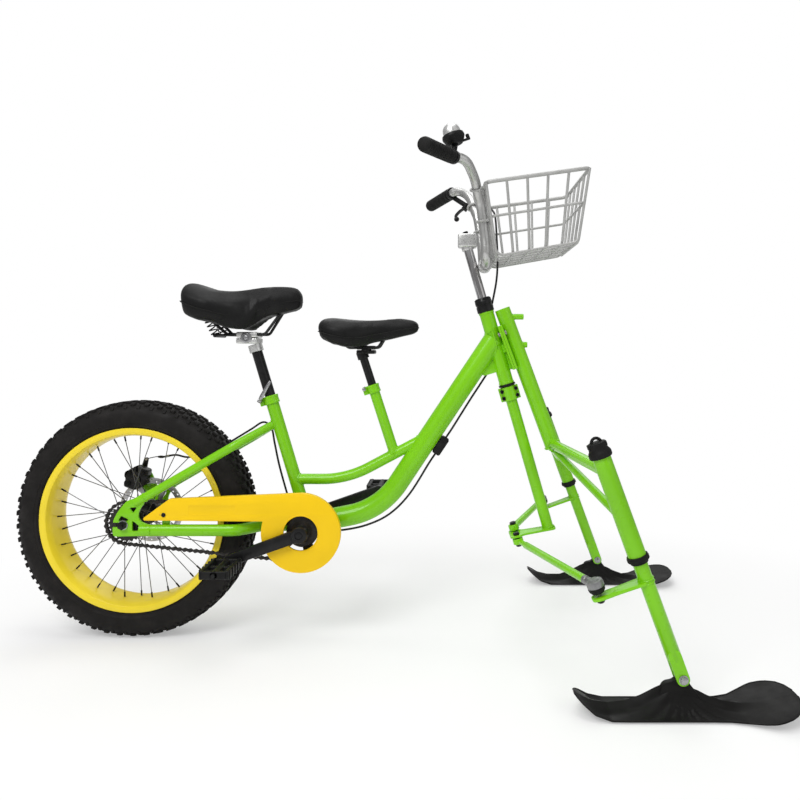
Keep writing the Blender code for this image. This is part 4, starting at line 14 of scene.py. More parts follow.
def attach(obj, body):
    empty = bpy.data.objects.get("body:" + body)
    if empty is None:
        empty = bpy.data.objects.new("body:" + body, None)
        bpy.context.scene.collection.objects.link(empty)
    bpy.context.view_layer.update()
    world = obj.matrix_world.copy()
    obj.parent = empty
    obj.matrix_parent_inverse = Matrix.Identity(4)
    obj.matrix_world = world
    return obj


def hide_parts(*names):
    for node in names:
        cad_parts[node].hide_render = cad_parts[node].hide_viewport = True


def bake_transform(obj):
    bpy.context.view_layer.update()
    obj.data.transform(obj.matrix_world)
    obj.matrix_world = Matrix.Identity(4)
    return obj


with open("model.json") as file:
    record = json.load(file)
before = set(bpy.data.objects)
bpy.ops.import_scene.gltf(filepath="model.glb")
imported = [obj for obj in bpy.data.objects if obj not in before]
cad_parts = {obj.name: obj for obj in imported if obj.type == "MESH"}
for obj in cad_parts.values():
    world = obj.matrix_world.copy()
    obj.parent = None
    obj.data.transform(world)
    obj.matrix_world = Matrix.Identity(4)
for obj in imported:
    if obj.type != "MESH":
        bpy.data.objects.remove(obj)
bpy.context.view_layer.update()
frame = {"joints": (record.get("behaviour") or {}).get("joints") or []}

bl_info = {
    "name": "Snow bike",
    "version": (1, 0, 0),
    "blender": (4, 5, 0),
    "location": "3D View > Sidebar > Snow Bike",
    "description": "Builds the visible pieces of a snow bike over its packed model",
    "category": "Object",
}


def sideways(distance):
    """A step to the rider's left."""
    return Vector((0, distance, 0))


def tilted_up(angle):
    """The way forward, tilted up by an angle."""
    return Vector((math.cos(angle), 0, math.sin(angle)))


def leaned_back(angle):
    """The way up, leaned back by an angle."""
    return Vector((-math.sin(angle), 0, math.cos(angle)))


def pitched(angle):
    """The turn that lifts the front by an angle."""
    return Matrix.Rotation(-angle, 4, "Y")


def joint_place(name):
    return Vector(next(joint["pos_m"] for joint in frame["joints"] if joint["name"] == name))


MODEL_SHIFT = Vector((joint_place("crank_spin").x, 0, 0))
SIDES = ((-1, "right"), (1, "left"))
SIDE_VIEW = Matrix.Rotation(math.radians(90), 4, "X")

# Main points of the bike
AXLE = Vector((-0.4085, 0.0, 0.28))
BRACKET = Vector((0.0, 0.0, 0.2624))
HEAD_FOOT = Vector((0.4795, 0.0, 0.6))
HEAD_LEAN = math.radians(16)
SEAT_LEAN = math.radians(16.75)
CHILD_LEAN = math.radians(17.9)
LEG_LEAN = math.radians(20)
FRONT_LEAN = math.radians(20.25)
COLUMN_UP = leaned_back(HEAD_LEAN)
COLUMN_AHEAD = tilted_up(HEAD_LEAN)
SEAT_UP = leaned_back(SEAT_LEAN)
CHILD_UP = leaned_back(CHILD_LEAN)
LEG_DOWN = -leaned_back(LEG_LEAN)
LEG_BACK = Vector((LEG_DOWN.z, 0.0, -LEG_DOWN.x))
FRONT_TURN = pitched(FRONT_LEAN)
FRONT_DOWN = -leaned_back(FRONT_LEAN)
SEAT_TOP = BRACKET + SEAT_UP * 0.3164
CHILD_FOOT = Vector((0.2066, 0.0, 0.4346))
CHILD_TOP = CHILD_FOOT + CHILD_UP * 0.1654
HEAD_TOP = HEAD_FOOT + COLUMN_UP * 0.1806
DOWN_JOINT = HEAD_FOOT + COLUMN_UP * 0.1122
DOWN_CORNER = Vector((0.1747, 0.0, 0.2964))
FRONT_TOP = Vector((0.4686, 0.0, 0.7808))
BAR_CLAMP = Vector((0.4259, 0.0, 0.8853))
CHAIN_LINE = 0.068
STAY_SPREAD = 0.085
DROPOUT_HALF = 0.003
SKI_TRACK = 0.744
HOUSING_TOP = (0.6258, 0.4798)
HOUSING_LENGTH = 0.1993
FIT = 0.0003
CHAIN_PITCH = 0.0127
RING_TEETH = 36
COG_TEETH = 24
CRANK_LENGTH = 0.17
CRANK_TURN = math.radians(200)
SHELL_RADIUS = 0.021
HEAD_RADIUS = 0.0175
STEP_RADIUS = 0.0127
CHILD_RADIUS = 0.0125
FRONT_RADIUS = 0.0185
HOUSING_RADIUS = 0.0178
BRACE_RADIUS = 0.0085
LEG_RADIUS = 0.0142
SKI_PIVOT_HEIGHT = 0.065
ROTOR_MIDDLE = 0.068


# Picking, drawing and shaping

def pick(*pieces):
    """Selects these pieces only, the first one active."""
    if bpy.context.mode != "OBJECT":
        bpy.ops.object.mode_set(mode="OBJECT")
    bpy.ops.object.select_all(action="DESELECT")
    for piece in pieces:
        piece.select_set(True)
    if pieces:
        bpy.context.view_layer.objects.active = pieces[0]


def settle(piece, matrix=None):
    """Puts a piece's place, turn and scale into its mesh."""
    pick(piece)
    if matrix is not None:
        piece.matrix_world = matrix @ piece.matrix_world
    bpy.ops.object.transform_apply(location=True, rotation=True, scale=True)
    return piece


def edit_all(piece):
    pick(piece)
    bpy.ops.object.mode_set(mode="EDIT")
    bpy.ops.mesh.select_all(action="SELECT")


def weld(piece, distance=0.00001, outward=True):
    """Merges doubles and turns the faces outwards."""
    edit_all(piece)
    bpy.ops.mesh.remove_doubles(threshold=distance)
    if outward:
        bpy.ops.mesh.normals_make_consistent(inside=False)
    bpy.ops.object.mode_set(mode="OBJECT")
    return piece


def with_step(piece, kind, **values):
    """Adds a modifier and applies it."""
    step = piece.modifiers.new(kind.title(), kind)
    for name, value in values.items():
        setattr(step, name, value)
    pick(piece)
    bpy.ops.object.modifier_apply(modifier=step.name)
    return piece


def rounded(piece, width, segments=2, angle=35):
    return with_step(piece, "BEVEL", width=width, segments=segments, limit_method="ANGLE",
        angle_limit=math.radians(angle), use_clamp_overlap=True)


def draw_line(name, points, closed=False):
    """A path through points, from Blender's own path primitive."""
    pick()
    bpy.ops.curve.primitive_nurbs_path_add()
    line = bpy.context.object
    line.name = name
    line.data.splines.clear()
    spline = line.data.splines.new("POLY")
    spline.points.add(len(points) - 1)
    for knot, point in zip(spline.points, points):
        knot.co = (*point, 1.0)
    spline.use_cyclic_u = closed
    return line


def to_mesh(line):
    pick(line)
    bpy.ops.object.convert(target="MESH")
    return bpy.context.object


def draw_tube(name, points, radius, sides=10, closed=False):
    """A round tube along a path, with 4 + 2 * sides faces around."""
    line = draw_line(name, points, closed)
    line.data.bevel_depth = radius
    line.data.bevel_resolution = sides
    line.data.use_fill_caps = not closed
    return weld(to_mesh(line))


def stood_on(place, axis):
    """The matrix that turns +Z to an axis and moves the origin to a place."""
    turn = Vector((0, 0, 1)).rotation_difference(Vector(axis)).to_matrix().to_4x4()
    return Matrix.Translation(place) @ turn


def spin_up(name, profile, place, axis, steps=48, closed=False):
    """Spins a profile of (radius, height) points about an axis through a place."""
    piece = to_mesh(draw_line(name, [(radius, 0.0, height) for radius, height in profile], closed))
    edit_all(piece)
    bpy.ops.mesh.spin(steps=steps, angle=2 * math.pi, center=(0, 0, 0), axis=(0, 0, 1))
    weld(piece)
    return settle(piece, stood_on(place, axis))


def cut_plate(name, outlines, thickness, matrix, edge=0.0004):
    """A flat plate from an outline and its holes, with broken edges."""
    line = draw_line(name, [(x, z, 0.0) for x, z in outlines[0]], True)
    curve = line.data
    curve.dimensions = "2D"
    curve.fill_mode = "BOTH"
    for outline in outlines[1:]:
        spline = curve.splines.new("POLY")
        spline.points.add(len(outline) - 1)
        for knot, point in zip(spline.points, outline):
            knot.co = (point[0], point[1], 0.0, 1.0)
        spline.use_cyclic_u = True
    curve.extrude = thickness / 2 - edge
    curve.bevel_depth = edge
    curve.bevel_resolution = 1
    curve.offset = -edge
    return settle(weld(to_mesh(line), 0.000005), matrix)


def add_bar(name, start, end, radius, sides=32, edge=0.0):
    """A round bar between two points."""
    start, end = Vector(start), Vector(end)
    pick()
    bpy.ops.mesh.primitive_cylinder_add(vertices=sides, radius=radius, depth=(end - start).length,
        location=(start + end) / 2, rotation=(end - start).to_track_quat("Z", "Y").to_euler())
    bar = settle(bpy.context.object)
    bar.name = name
    return rounded(bar, edge) if edge else bar


def centred_bar(name, middle, reach, radius, sides=32, edge=0.0):
    """A round bar that reaches equally far to both sides of its middle."""
    return add_bar(name, middle - reach, middle + reach, radius, sides, edge)


def bar_on(name, place, way, span, radius, sides=32, edge=0.0):
    """A round bar along a way from a place, from the first to the second distance of its span."""
    return add_bar(name, place + way * span[0], place + way * span[1], radius, sides, edge)


def add_block(name, size, place, turn=None, edge=0.001, segments=3):
    pick()
    bpy.ops.mesh.primitive_cube_add(size=1)
    block = bpy.context.object
    block.name = name
    settle(block, Matrix.Translation(place) @ (turn or Matrix()) @ Matrix.Diagonal((*size, 1.0)))
    return rounded(block, edge, segments) if edge else block


def hex_on(name, place, way, span, radius, edge):
    """A hexagon head or nut with a chamfered face."""
    return bar_on(name, place, way, span, radius, 6, edge)


def fuse(name, *pieces):
    """Joins pieces into one object, the first piece's name and place kept."""
    pick(*pieces)
    if len(pieces) > 1:
        bpy.ops.object.join()
    whole = bpy.context.object
    whole.name = name
    return whole


def cut(target, *tools):
    for tool in tools:
        with_step(target, "BOOLEAN", operation="DIFFERENCE", solver="EXACT", object=tool)
        bpy.data.objects.remove(tool)
    return target


def repeated(piece, count, centre, axis):
    """Repeats a piece's mesh evenly about an axis."""
    edit_all(piece)
    bpy.ops.mesh.spin(steps=count - 1, angle=2 * math.pi * (count - 1) / count, dupli=True, center=centre,
        axis=axis)
    bpy.ops.object.mode_set(mode="OBJECT")
    return piece


def dress(piece, finish):
    """Gives a piece one finish all over."""
    piece.data.materials.clear()
    piece.data.materials.append(FINISHES[finish])
    return piece


def wrap_grid(name, sections):
    """Wraps a grid round a list of closed sections of equal point counts, and caps its two ends."""
    rings, around = len(sections), len(sections[0])
    pick()
    bpy.ops.mesh.primitive_grid_add(x_subdivisions=rings - 1, y_subdivisions=around)
    skin = bpy.context.object
    skin.name = name
    for index, vertex in enumerate(skin.data.vertices):
        vertex.co = sections[index % rings][(index // rings) % around]
    weld(skin, 0.000005, False)
    edit_all(skin)
    bpy.ops.mesh.fill_holes(sides=0)
    bpy.ops.object.mode_set(mode="OBJECT")
    return weld(skin, 0.000005)


def put_on_model(piece, smooth=None):
    """Moves a piece to its place on the packed model, and smooths its shading by angle when asked."""
    settle(piece, Matrix.Translation(MODEL_SHIFT))
    if smooth:
        bpy.ops.object.shade_smooth_by_angle(angle=math.radians(smooth))


def fit_piece(piece, finish, body, *nodes, smooth=35, dressed=False):
    """Gives a finished piece its finish, its place on the packed model and the body it moves with."""
    if not dressed:
        dress(piece, finish)
    put_on_model(piece, smooth)
    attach(piece, body)
    if nodes:
        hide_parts(*nodes)
    return piece


# Outlines and paths

def arc(centre, radius, count=24, start=0.0, sweep=2 * math.pi):
    full = abs(abs(sweep) - 2 * math.pi) < 1e-9
    steps = count if full else count - 1
    angles = [start + sweep * i / steps for i in range(count)]
    return [(centre[0] + radius * math.cos(a), centre[1] + radius * math.sin(a)) for a in angles]


def ring_profile(inner, outer, half, edge):
    """The closed profile of a ring with broken outer edges, equally high to both sides."""
    upper = [(outer, half - edge), (outer - edge, half), (inner, half)]
    return [(radius, -height) for radius, height in upper[::-1]] + upper


def bent(points, radius, steps=12):
    """A polyline with its corners rounded to a bend radius."""
    points = [Vector(point) for point in points]
    path = [points[0]]
    for before, corner, after in zip(points, points[1:], points[2:]):
        back = (before - corner).normalized()
        ahead = (after - corner).normalized()
        half = back.angle(ahead) / 2
        reach = radius / math.tan(half)
        centre = corner + (back + ahead).normalized() * (radius / math.sin(half))
        first = corner + back * reach - centre
        last = corner + ahead * reach - centre
        for i in range(steps + 1):
            path.append(centre + first.lerp(last, i / steps).normalized() * radius)
    path.append(points[-1])
    return path


def flowing(points, steps=8):
    """A smooth curve through every point."""
    points = [Vector(point) for point in points]
    ends = [points[0] * 2 - points[1]] + points + [points[-1] * 2 - points[-2]]
    path = []
    for p0, p1, p2, p3 in zip(ends, ends[1:], ends[2:], ends[3:]):
        for i in range(steps):
            t = i / steps
            path.append(0.5 * (2 * p1 + (p2 - p0) * t + (2 * p0 - 5 * p1 + 4 * p2 - p3) * t ** 2
                + (3 * p1 - p0 - 3 * p2 + p3) * t ** 3))
    path.append(points[-1])
    return path


def mirrored(points):
    return [Vector((point[0], -point[1], point[2])) for point in points]


def from_axle(point, side):
    """A place given in millimetres forward and up from the rear axle."""
    return Vector((AXLE.x + point[0] / 1000, side, AXLE.z + point[1] / 1000))


def near_axle(points):
    """An outline given in millimetres from the rear axle."""
    return [(AXLE.x + x / 1000, AXLE.z + z / 1000) for x, z in points]


def side_plate(name, outlines, thickness, side, edge=0.0004):
    """A plate that faces sideways, its outlines in the bike's own X and Z."""
    return cut_plate(name, outlines, thickness, Matrix.Translation((0, side, 0)) @ SIDE_VIEW, edge)


def along_run(path, distance):
    """The place at a distance along a closed path, and the way on from it."""
    for start, end in zip(path, path[1:] + path[:1]):
        step = (end - start).length
        if distance <= step:
            return start + (end - start) * (distance / step), (end - start).normalized()
        distance -= step
    return path[0], (path[1] - path[0]).normalized()


def seam(name, place, axis, radius, bead=0.0022, steps=40):
    """A rippled bead of weld round a tube."""
    matrix = stood_on(place, axis)
    ring = []
    for i in range(steps):
        angle = 2 * math.pi * i / steps
        swell = radius + 0.0003 * math.sin(angle * 11)
        ring.append(matrix @ Vector((swell * math.cos(angle), swell * math.sin(angle),
            0.0003 * math.cos(angle * 13))))
    return draw_tube(name, ring, bead, 2, True)


# Settings that a user may change

def colour_property(name, text, value):
    return FloatVectorProperty(name=name, description=text, default=value, size=3, min=0.0, max=1.0,
        subtype="COLOR")


def length_property(name, text, value):
    return FloatProperty(name=name, description=text, default=value, min=0.0, unit="LENGTH")


class SnowBikeColours(bpy.types.PropertyGroup):
    """Base colours of the bike's finishes."""
    frame_green: colour_property("Frame green", "Gloss paint of the frame, the ski frame and the legs",
        (0.215, 0.62, 0.004))
    guard_yellow: colour_property("Guard yellow", "Plastic of the chain guard", (0.93, 0.6, 0.006))
    rim_yellow: colour_property("Rim yellow", "Paint of the rim", (0.9, 0.7, 0.03))
    rubber: colour_property("Rubber", "Tyre, boots and seals", (0.0105, 0.0095, 0.009))
    vinyl: colour_property("Vinyl", "Saddle covers", (0.0065, 0.0065, 0.0066))
    ski_black: colour_property("Ski black", "Moulded plastic of the skis", (0.008, 0.0078, 0.0075))


class SnowBikeWheel(bpy.types.PropertyGroup):
    """Rear wheel sizes."""
    spokes: IntProperty(name="Spokes", description="Spokes in the wheel, in crossed pairs", default=36,
        min=16, max=48)
    spoke_radius: length_property("Spoke radius", "Half a spoke's thickness", 0.001)
    knob_pitches: IntProperty(name="Knob pitches", description="Repeats of the tread round the tyre",
        default=54, min=20, max=90)
    knob_height: length_property("Knob height", "How far the tread stands out of the casing", 0.0046)
    rotor_radius: length_property("Rotor radius", "Outer radius of the brake disc", 0.08)


class SnowBikeFrame(bpy.types.PropertyGroup):
    """Main frame and ski frame sizes."""
    down_tube_radius: length_property("Down tube radius", "Radius of the large bent tube", 0.025)
    seat_tube_radius: length_property("Seat tube radius", "Radius of the rear seat tube", 0.015)
    strut_radius: length_property("Strut radius", "Radius of the ski frame's upper struts", 0.012)
    weld_bead: length_property("Weld bead", "Thickness of the weld beads", 0.0019)


class SnowBikeSteering(bpy.types.PropertyGroup):
    """Handlebar, basket and grip sizes."""
    bar_radius: length_property("Bar radius", "Radius of the handlebar's tube", 0.011)
    grip_ribs: IntProperty(name="Grip ribs", description="Raised rings on each grip", default=22, min=4,
        max=40)
    basket_wire: length_property("Basket wire", "Radius of the basket's wires", 0.0031)
    basket_rim: length_property("Basket rim", "Radius of the basket's rim wire", 0.0046)


class SnowBikeSeats(bpy.types.PropertyGroup):
    """Saddle settings."""
    padding_pressure: FloatProperty(name="Padding pressure",
        description="Pressure that swells the saddle covers", default=4.0, min=0.0, max=10.0)
    swell_limit: length_property("Swell limit", "Furthest that a cover may move as it swells", 0.004)
    piping: length_property("Piping", "Radius of the welt round a saddle's lower edge", 0.0016)


class SnowBikeSkis(bpy.types.PropertyGroup):
    """Ski settings."""
    flute_depth: length_property("Flute depth", "Depth of the folds that spread from the ski's pylon",
        0.0026)


# Finishes

FINISHES = {}


class Finish:
    """A node material in the making: one shader, with noise, grain and relief led into it."""

    def __init__(self, name, colour, roughness, metallic=0.0, specular=0.5):
        self.material = bpy.data.materials.new(name.replace(" ", "_"))
        self.material.use_nodes = True
        self.tree = self.material.node_tree
        self.shader = self.tree.nodes["Principled BSDF"]
        self.colour = tuple(colour)
        self.set("Base Color", (*self.colour, 1.0))
        self.set("Roughness", roughness)
        self.set("Metallic", metallic)
        self.set("Specular IOR Level", specular)
        self.relief = None
        FINISHES[name] = self.material

    def set(self, socket, value):
        self.shader.inputs[socket].default_value = value
        return self

    def node(self, kind, **values):
        made = self.tree.nodes.new(kind)
        for name, value in values.items():
            if name in made.inputs:
                made.inputs[name].default_value = value
            else:
                setattr(made, name, value)
        return made

    def link(self, start, end):
        self.tree.links.new(start, end)

    def places(self, stretch):
        """Object coordinates, stretched."""
        source = self.node("ShaderNodeTexCoord")
        mapping = self.node("ShaderNodeMapping", Scale=stretch)
        self.link(source.outputs["Object"], mapping.inputs["Vector"])
        return mapping.outputs["Vector"]

    def noise(self, scale, detail, roughness=0.5, stretch=(1, 1, 1)):
        made = self.node("ShaderNodeTexNoise", Scale=scale, Detail=detail, Roughness=roughness)
        self.link(self.places(stretch), made.inputs["Vector"])
        return made.outputs["Fac"]

    def cells(self, scale):
        made = self.node("ShaderNodeTexVoronoi", Scale=scale)
        made.feature = "DISTANCE_TO_EDGE"
        self.link(self.places((1, 1, 1)), made.inputs["Vector"])
        return made.outputs["Distance"]

    def ranged(self, pattern, low, high, start, end):
        """Maps a pattern to a range. A tuple of numbers stands for a noise."""
        value = self.noise(*pattern) if isinstance(pattern, tuple) else pattern
        made = self.node("ShaderNodeMapRange")
        for socket, number in (("From Min", start), ("From Max", end), ("To Min", low), ("To Max", high)):
            made.inputs[socket].default_value = number
        self.link(value, made.inputs["Value"])
        return made.outputs["Result"]

    def tinted(self, pattern, other, start, end):
        """Blends the base colour towards another where a pattern is high."""
        mix = self.node("ShaderNodeMix", data_type="RGBA")
        sockets = [socket for socket in mix.inputs if socket.type == "RGBA"]
        sockets[0].default_value = (*self.colour, 1.0)
        sockets[1].default_value = (*other, 1.0)
        self.link(self.ranged(pattern, 0.0, 1.0, start, end), mix.inputs[0])
        self.link([socket for socket in mix.outputs if socket.type == "RGBA"][0],
            self.shader.inputs["Base Color"])
        return self

    def worn(self, pattern, low, high):
        """Varies the roughness between two values by a pattern."""
        self.link(self.ranged(pattern, low, high, 0.3, 0.7), self.shader.inputs["Roughness"])
        return self

    def raised(self, pattern, strength, distance):
        """Adds relief from a height pattern, on top of the relief before it."""
        height = self.noise(*pattern) if isinstance(pattern, tuple) else pattern
        bump = self.node("ShaderNodeBump", Strength=strength, Distance=distance)
        self.link(height, bump.inputs["Height"])
        if self.relief:
            self.link(self.relief, bump.inputs["Normal"])
        self.relief = bump.outputs["Normal"]
        self.link(self.relief, self.shader.inputs["Normal"])
        return self


def make_finishes(colours):
    """Every finish on the bike."""
    paint = Finish("green paint", colours.frame_green, 0.3)
    paint.set("Coat Weight", 0.3).set("Coat Roughness", 0.08).set("Specular IOR Level", 0.25)
    paint.tinted((7.0, 2.0), [c * 0.86 for c in colours.frame_green], 0.35, 0.75)
    paint.worn((55.0, 4.0), 0.24, 0.38)
    paint.raised((420.0, 2.0), 0.05, 0.0004)

    guard = Finish("guard plastic", colours.guard_yellow, 0.38)
    guard.set("Specular IOR Level", 0.22)
    guard.tinted((9.0, 3.0), [c * 0.93 for c in colours.guard_yellow], 0.4, 0.8)
    guard.worn((90.0, 3.0), 0.34, 0.46)
    guard.raised((900.0, 2.0), 0.12, 0.0003)

    rim = Finish("rim paint", colours.rim_yellow, 0.32)
    rim.set("Coat Weight", 0.15).set("Coat Roughness", 0.15).set("Specular IOR Level", 0.3)
    rim.tinted((12.0, 3.0), [c * 0.9 for c in colours.rim_yellow], 0.4, 0.8)
    rim.worn((60.0, 3.0), 0.28, 0.42)
    rim.raised((500.0, 2.0), 0.05, 0.0003)

    tyre = Finish("tyre rubber", colours.rubber, 0.62)
    tyre.tinted((30.0, 5.0, 0.6), (0.02, 0.018, 0.017), 0.45, 0.8)
    tyre.set("Specular IOR Level", 0.16)
    tyre.worn((45.0, 4.0), 0.5, 0.78)
    tyre.raised((1400.0, 3.0), 0.25, 0.0004)

    plastic = Finish("black plastic", (0.006, 0.006, 0.0062), 0.42, 0.0, 0.18)
    plastic.tinted((40.0, 3.0), (0.014, 0.014, 0.014), 0.45, 0.8)
    plastic.worn((130.0, 3.0), 0.36, 0.52)
    plastic.raised(plastic.cells(1500.0), 0.12, 0.0002)

    soft = Finish("soft rubber", (0.008, 0.0078, 0.0076), 0.58, 0.0, 0.18)
    soft.tinted((60.0, 4.0), (0.015, 0.0145, 0.014), 0.45, 0.85)
    soft.worn((80.0, 3.0), 0.52, 0.72)
    soft.raised((1700.0, 2.0), 0.08, 0.0002)

    ski = Finish("ski plastic", colours.ski_black, 0.44, 0.0, 0.1)
    ski.tinted(ski.noise(16.0, 4.0, stretch=(0.5, 2.0, 2.0)), (0.014, 0.0135, 0.013), 0.4, 0.8)
    ski.worn((26.0, 5.0, 0.6), 0.3, 0.52)
    ski.raised(ski.noise(320.0, 3.0, stretch=(0.35, 1.6, 1.6)), 0.1, 0.0006)
    ski.raised(ski.cells(1100.0), 0.08, 0.0002)

    housing = Finish("cable housing", (0.008, 0.008, 0.0083), 0.3, 0.0, 0.3)
    housing.tinted((70.0, 3.0), (0.02, 0.02, 0.02), 0.4, 0.8)
    housing.worn((200.0, 3.0), 0.24, 0.38)

    vinyl = Finish("saddle vinyl", colours.vinyl, 0.44, 0.0, 0.16)
    vinyl.set("Sheen Weight", 0.02)
    vinyl.tinted((25.0, 4.0), (0.012, 0.012, 0.012), 0.45, 0.85)
    vinyl.worn((18.0, 4.0, 0.6), 0.36, 0.54)
    vinyl.raised(vinyl.cells(520.0), 0.22, 0.0005)
    vinyl.raised((75.0, 3.0), 0.08, 0.0009)

    black = Finish("black paint", (0.006, 0.006, 0.0062), 0.34, 0.0, 0.22)
    black.set("Coat Weight", 0.08).set("Coat Roughness", 0.18)
    black.tinted((35.0, 3.0), (0.016, 0.016, 0.0165), 0.45, 0.85)
    black.worn((150.0, 3.0), 0.28, 0.44)
    black.raised((700.0, 2.0), 0.06, 0.0003)

    spoke = Finish("spoke steel", (0.1, 0.1, 0.105), 0.34, 0.85)
    spoke.worn((300.0, 2.0), 0.26, 0.44)

    chain = Finish("chain steel", (0.018, 0.016, 0.015), 0.42, 0.35)
    chain.tinted((260.0, 4.0), (0.05, 0.042, 0.036), 0.5, 0.8)
    chain.worn((400.0, 3.0), 0.3, 0.58)

    steel = Finish("bright steel", (0.4, 0.4, 0.41), 0.28, 1.0)
    steel.tinted((90.0, 3.0), (0.22, 0.22, 0.23), 0.45, 0.9)
    steel.worn((240.0, 3.0), 0.2, 0.4)

    disc = Finish("brushed disc", (0.46, 0.46, 0.47), 0.34, 1.0)
    disc.worn((60.0, 5.0, 0.7), 0.24, 0.5)
    disc.raised((900.0, 2.0), 0.08, 0.0002)

    zinc = Finish("zinc", (0.42, 0.41, 0.38), 0.36, 1.0)
    zinc.tinted((160.0, 4.0), (0.28, 0.27, 0.25), 0.45, 0.9)
    zinc.worn((200.0, 3.0), 0.26, 0.5)

    chrome = Finish("chrome", (0.68, 0.68, 0.69), 0.09, 1.0)
    # Painted reflection: dark streaks that run up and down are painted into the chrome's colour, standing
    # in for the surroundings that it reflects.
    chrome.tinted(chrome.noise(14.0, 2.0, 0.5, (3, 3, 0.6)), (0.4, 0.39, 0.39), 0.46, 0.62)
    chrome.worn((40.0, 4.0), 0.05, 0.15)

    satin = Finish("satin aluminium", (0.53, 0.53, 0.52), 0.36, 0.9)
    satin.tinted((30.0, 4.0), (0.44, 0.44, 0.43), 0.45, 0.85)
    satin.worn((350.0, 3.0), 0.28, 0.44)
    satin.raised((1500.0, 2.0), 0.06, 0.0002)

    clamp = Finish("clamp silver", (0.66, 0.66, 0.65), 0.3, 0.7)
    clamp.tinted((60.0, 4.0), (0.48, 0.48, 0.48), 0.45, 0.85)
    clamp.worn((250.0, 3.0), 0.22, 0.42)

    casting = Finish("grey casting", (0.24, 0.24, 0.245), 0.4, 0.8)
    casting.tinted((110.0, 4.0), (0.36, 0.36, 0.365), 0.4, 0.85)
    casting.worn((200.0, 3.0), 0.32, 0.55)
    casting.raised((650.0, 3.0), 0.2, 0.0004)

    wire = Finish("basket paint", (0.4, 0.4, 0.39), 0.28)
    wire.set("Coat Weight", 0.2).set("Coat Roughness", 0.15)
    wire.tinted((45.0, 3.0), (0.3, 0.3, 0.29), 0.45, 0.85)
    wire.worn((180.0, 3.0), 0.28, 0.44)
    wire.raised((800.0, 2.0), 0.06, 0.0002)


# Rear wheel

TYRE_OUTSIDE = ((0.2754, 0.0), (0.2752, 0.012), (0.2742, 0.024), (0.2722, 0.0335), (0.2682, 0.041),
    (0.2615, 0.0468), (0.253, 0.0502), (0.244, 0.051), (0.235, 0.0506), (0.2302, 0.05), (0.2296, 0.0505),
    (0.2288, 0.0494), (0.223, 0.0478), (0.2224, 0.0482), (0.2214, 0.0466), (0.2184, 0.0436),
    (0.209, 0.0434), (0.2074, 0.043))
TYRE_INSIDE = ((0.2074, 0.038), (0.214, 0.0385), (0.227, 0.043), (0.238, 0.0455), (0.25, 0.045),
    (0.26, 0.039), (0.267, 0.018))
# Tread: half distance apart, radius, lean in degrees, length round the tyre, width and place in the pitch
KNOBS = ((0.0072, 0.28, 1, 0.0135, 0.01, 0.0), (0.0212, 0.2792, 4, 0.0125, 0.0105, 0.5),
    (0.0352, 0.2762, 16, 0.011, 0.012, 0.0), (0.044, 0.2686, 48, 0.007, 0.0105, 0.5))
RIM_OUTSIDE = ((0.2178, 0.047), (0.2178, 0.044), (0.2074, 0.044), (0.2025, 0.032), (0.201, 0.024))
RIM_INSIDE = ((0.1975, 0.024), (0.1985, 0.032), (0.203, 0.0455), (0.211, 0.047))


def both_halves(upper):
    """A closed profile from its half on one side of the wheel's middle."""
    return upper + [(radius, -height) for radius, height in upper[::-1] if height]


def make_tyre(wheel):
    casing = spin_up("tyre_casing", both_halves([*TYRE_INSIDE[::-1], *TYRE_OUTSIDE[::-1]]), AXLE, (0, 1, 0),
        108, True)
    pitch = 2 * math.pi / wheel.knob_pitches
    knobs = []
    for spread, radius, lean, along, wide, share in KNOBS:
        for side in (-1, 1):
            turn = Matrix.Rotation((share + 0.5 * (side > 0)) * pitch, 4, "Y")
            tilt = math.radians(lean) * side
            out = Vector((0, math.sin(tilt), math.cos(tilt)))
            place = Vector((0, side * spread, radius)) - out * wheel.knob_height * 0.7
            block = add_block("knob", (along, wide, wheel.knob_height * 1.4), (0, 0, 0), None, 0.0011, 2)
            knobs.append(settle(block,
                Matrix.Translation(AXLE) @ turn @ Matrix.Translation(place) @ Matrix.Rotation(-tilt, 4,
                "X")))
    tread = repeated(fuse("tread", *knobs), wheel.knob_pitches, AXLE, (0, 1, 0))
    return fuse("snow_bike_tyre", casing, tread)


def make_rim():
    profile = both_halves([*RIM_OUTSIDE[::-1], *RIM_INSIDE[::-1]])
    return rounded(spin_up("snow_bike_rim", profile, AXLE, (0, 1, 0), 108, True), 0.0009, 2, 30)


def wheel_point(radius, angle, side):
    return AXLE + Vector((radius * math.cos(angle), side, radius * math.sin(angle)))


def make_spokes(wheel):
    """Crossed spokes with their elbows in the flanges and a nipple at the rim."""
    pairs = wheel.spokes // 4
    spokes = []
    nipples = []
    for side, _ in SIDES:
        for odd in (0, 1):
            way = 1 if odd else -1
            head = 2 * math.pi * (odd + 0.5 * (side > 0)) / (2 * pairs)
            step = 0.003 * way
            start = wheel_point(0.0262, head - way * math.radians(52), side * 0.033 + step)
            end = wheel_point(0.195, head, side * 0.008 + step * 0.6)
            elbow = start - sideways(2.1 * step)
            spokes.append(draw_tube("spoke", [elbow, start - sideways(0.5 * step), start.lerp(end, 0.008),
                end], wheel.spoke_radius, 2))
            spokes.append(add_bar("spoke_head", elbow, elbow - sideways(0.3 * step), 0.0021, 12, 0.0003))
            nipples.append(add_bar("nipple", end.lerp(start, -0.006), end.lerp(start, 0.062), 0.002, 10,
                0.0004))
    spokes = dress(repeated(fuse("spokes", *spokes), pairs, AXLE, (0, 1, 0)), "spoke steel")
    nipples = dress(repeated(fuse("nipples", *nipples), pairs, AXLE, (0, 1, 0)), "black paint")
    return spokes, nipples


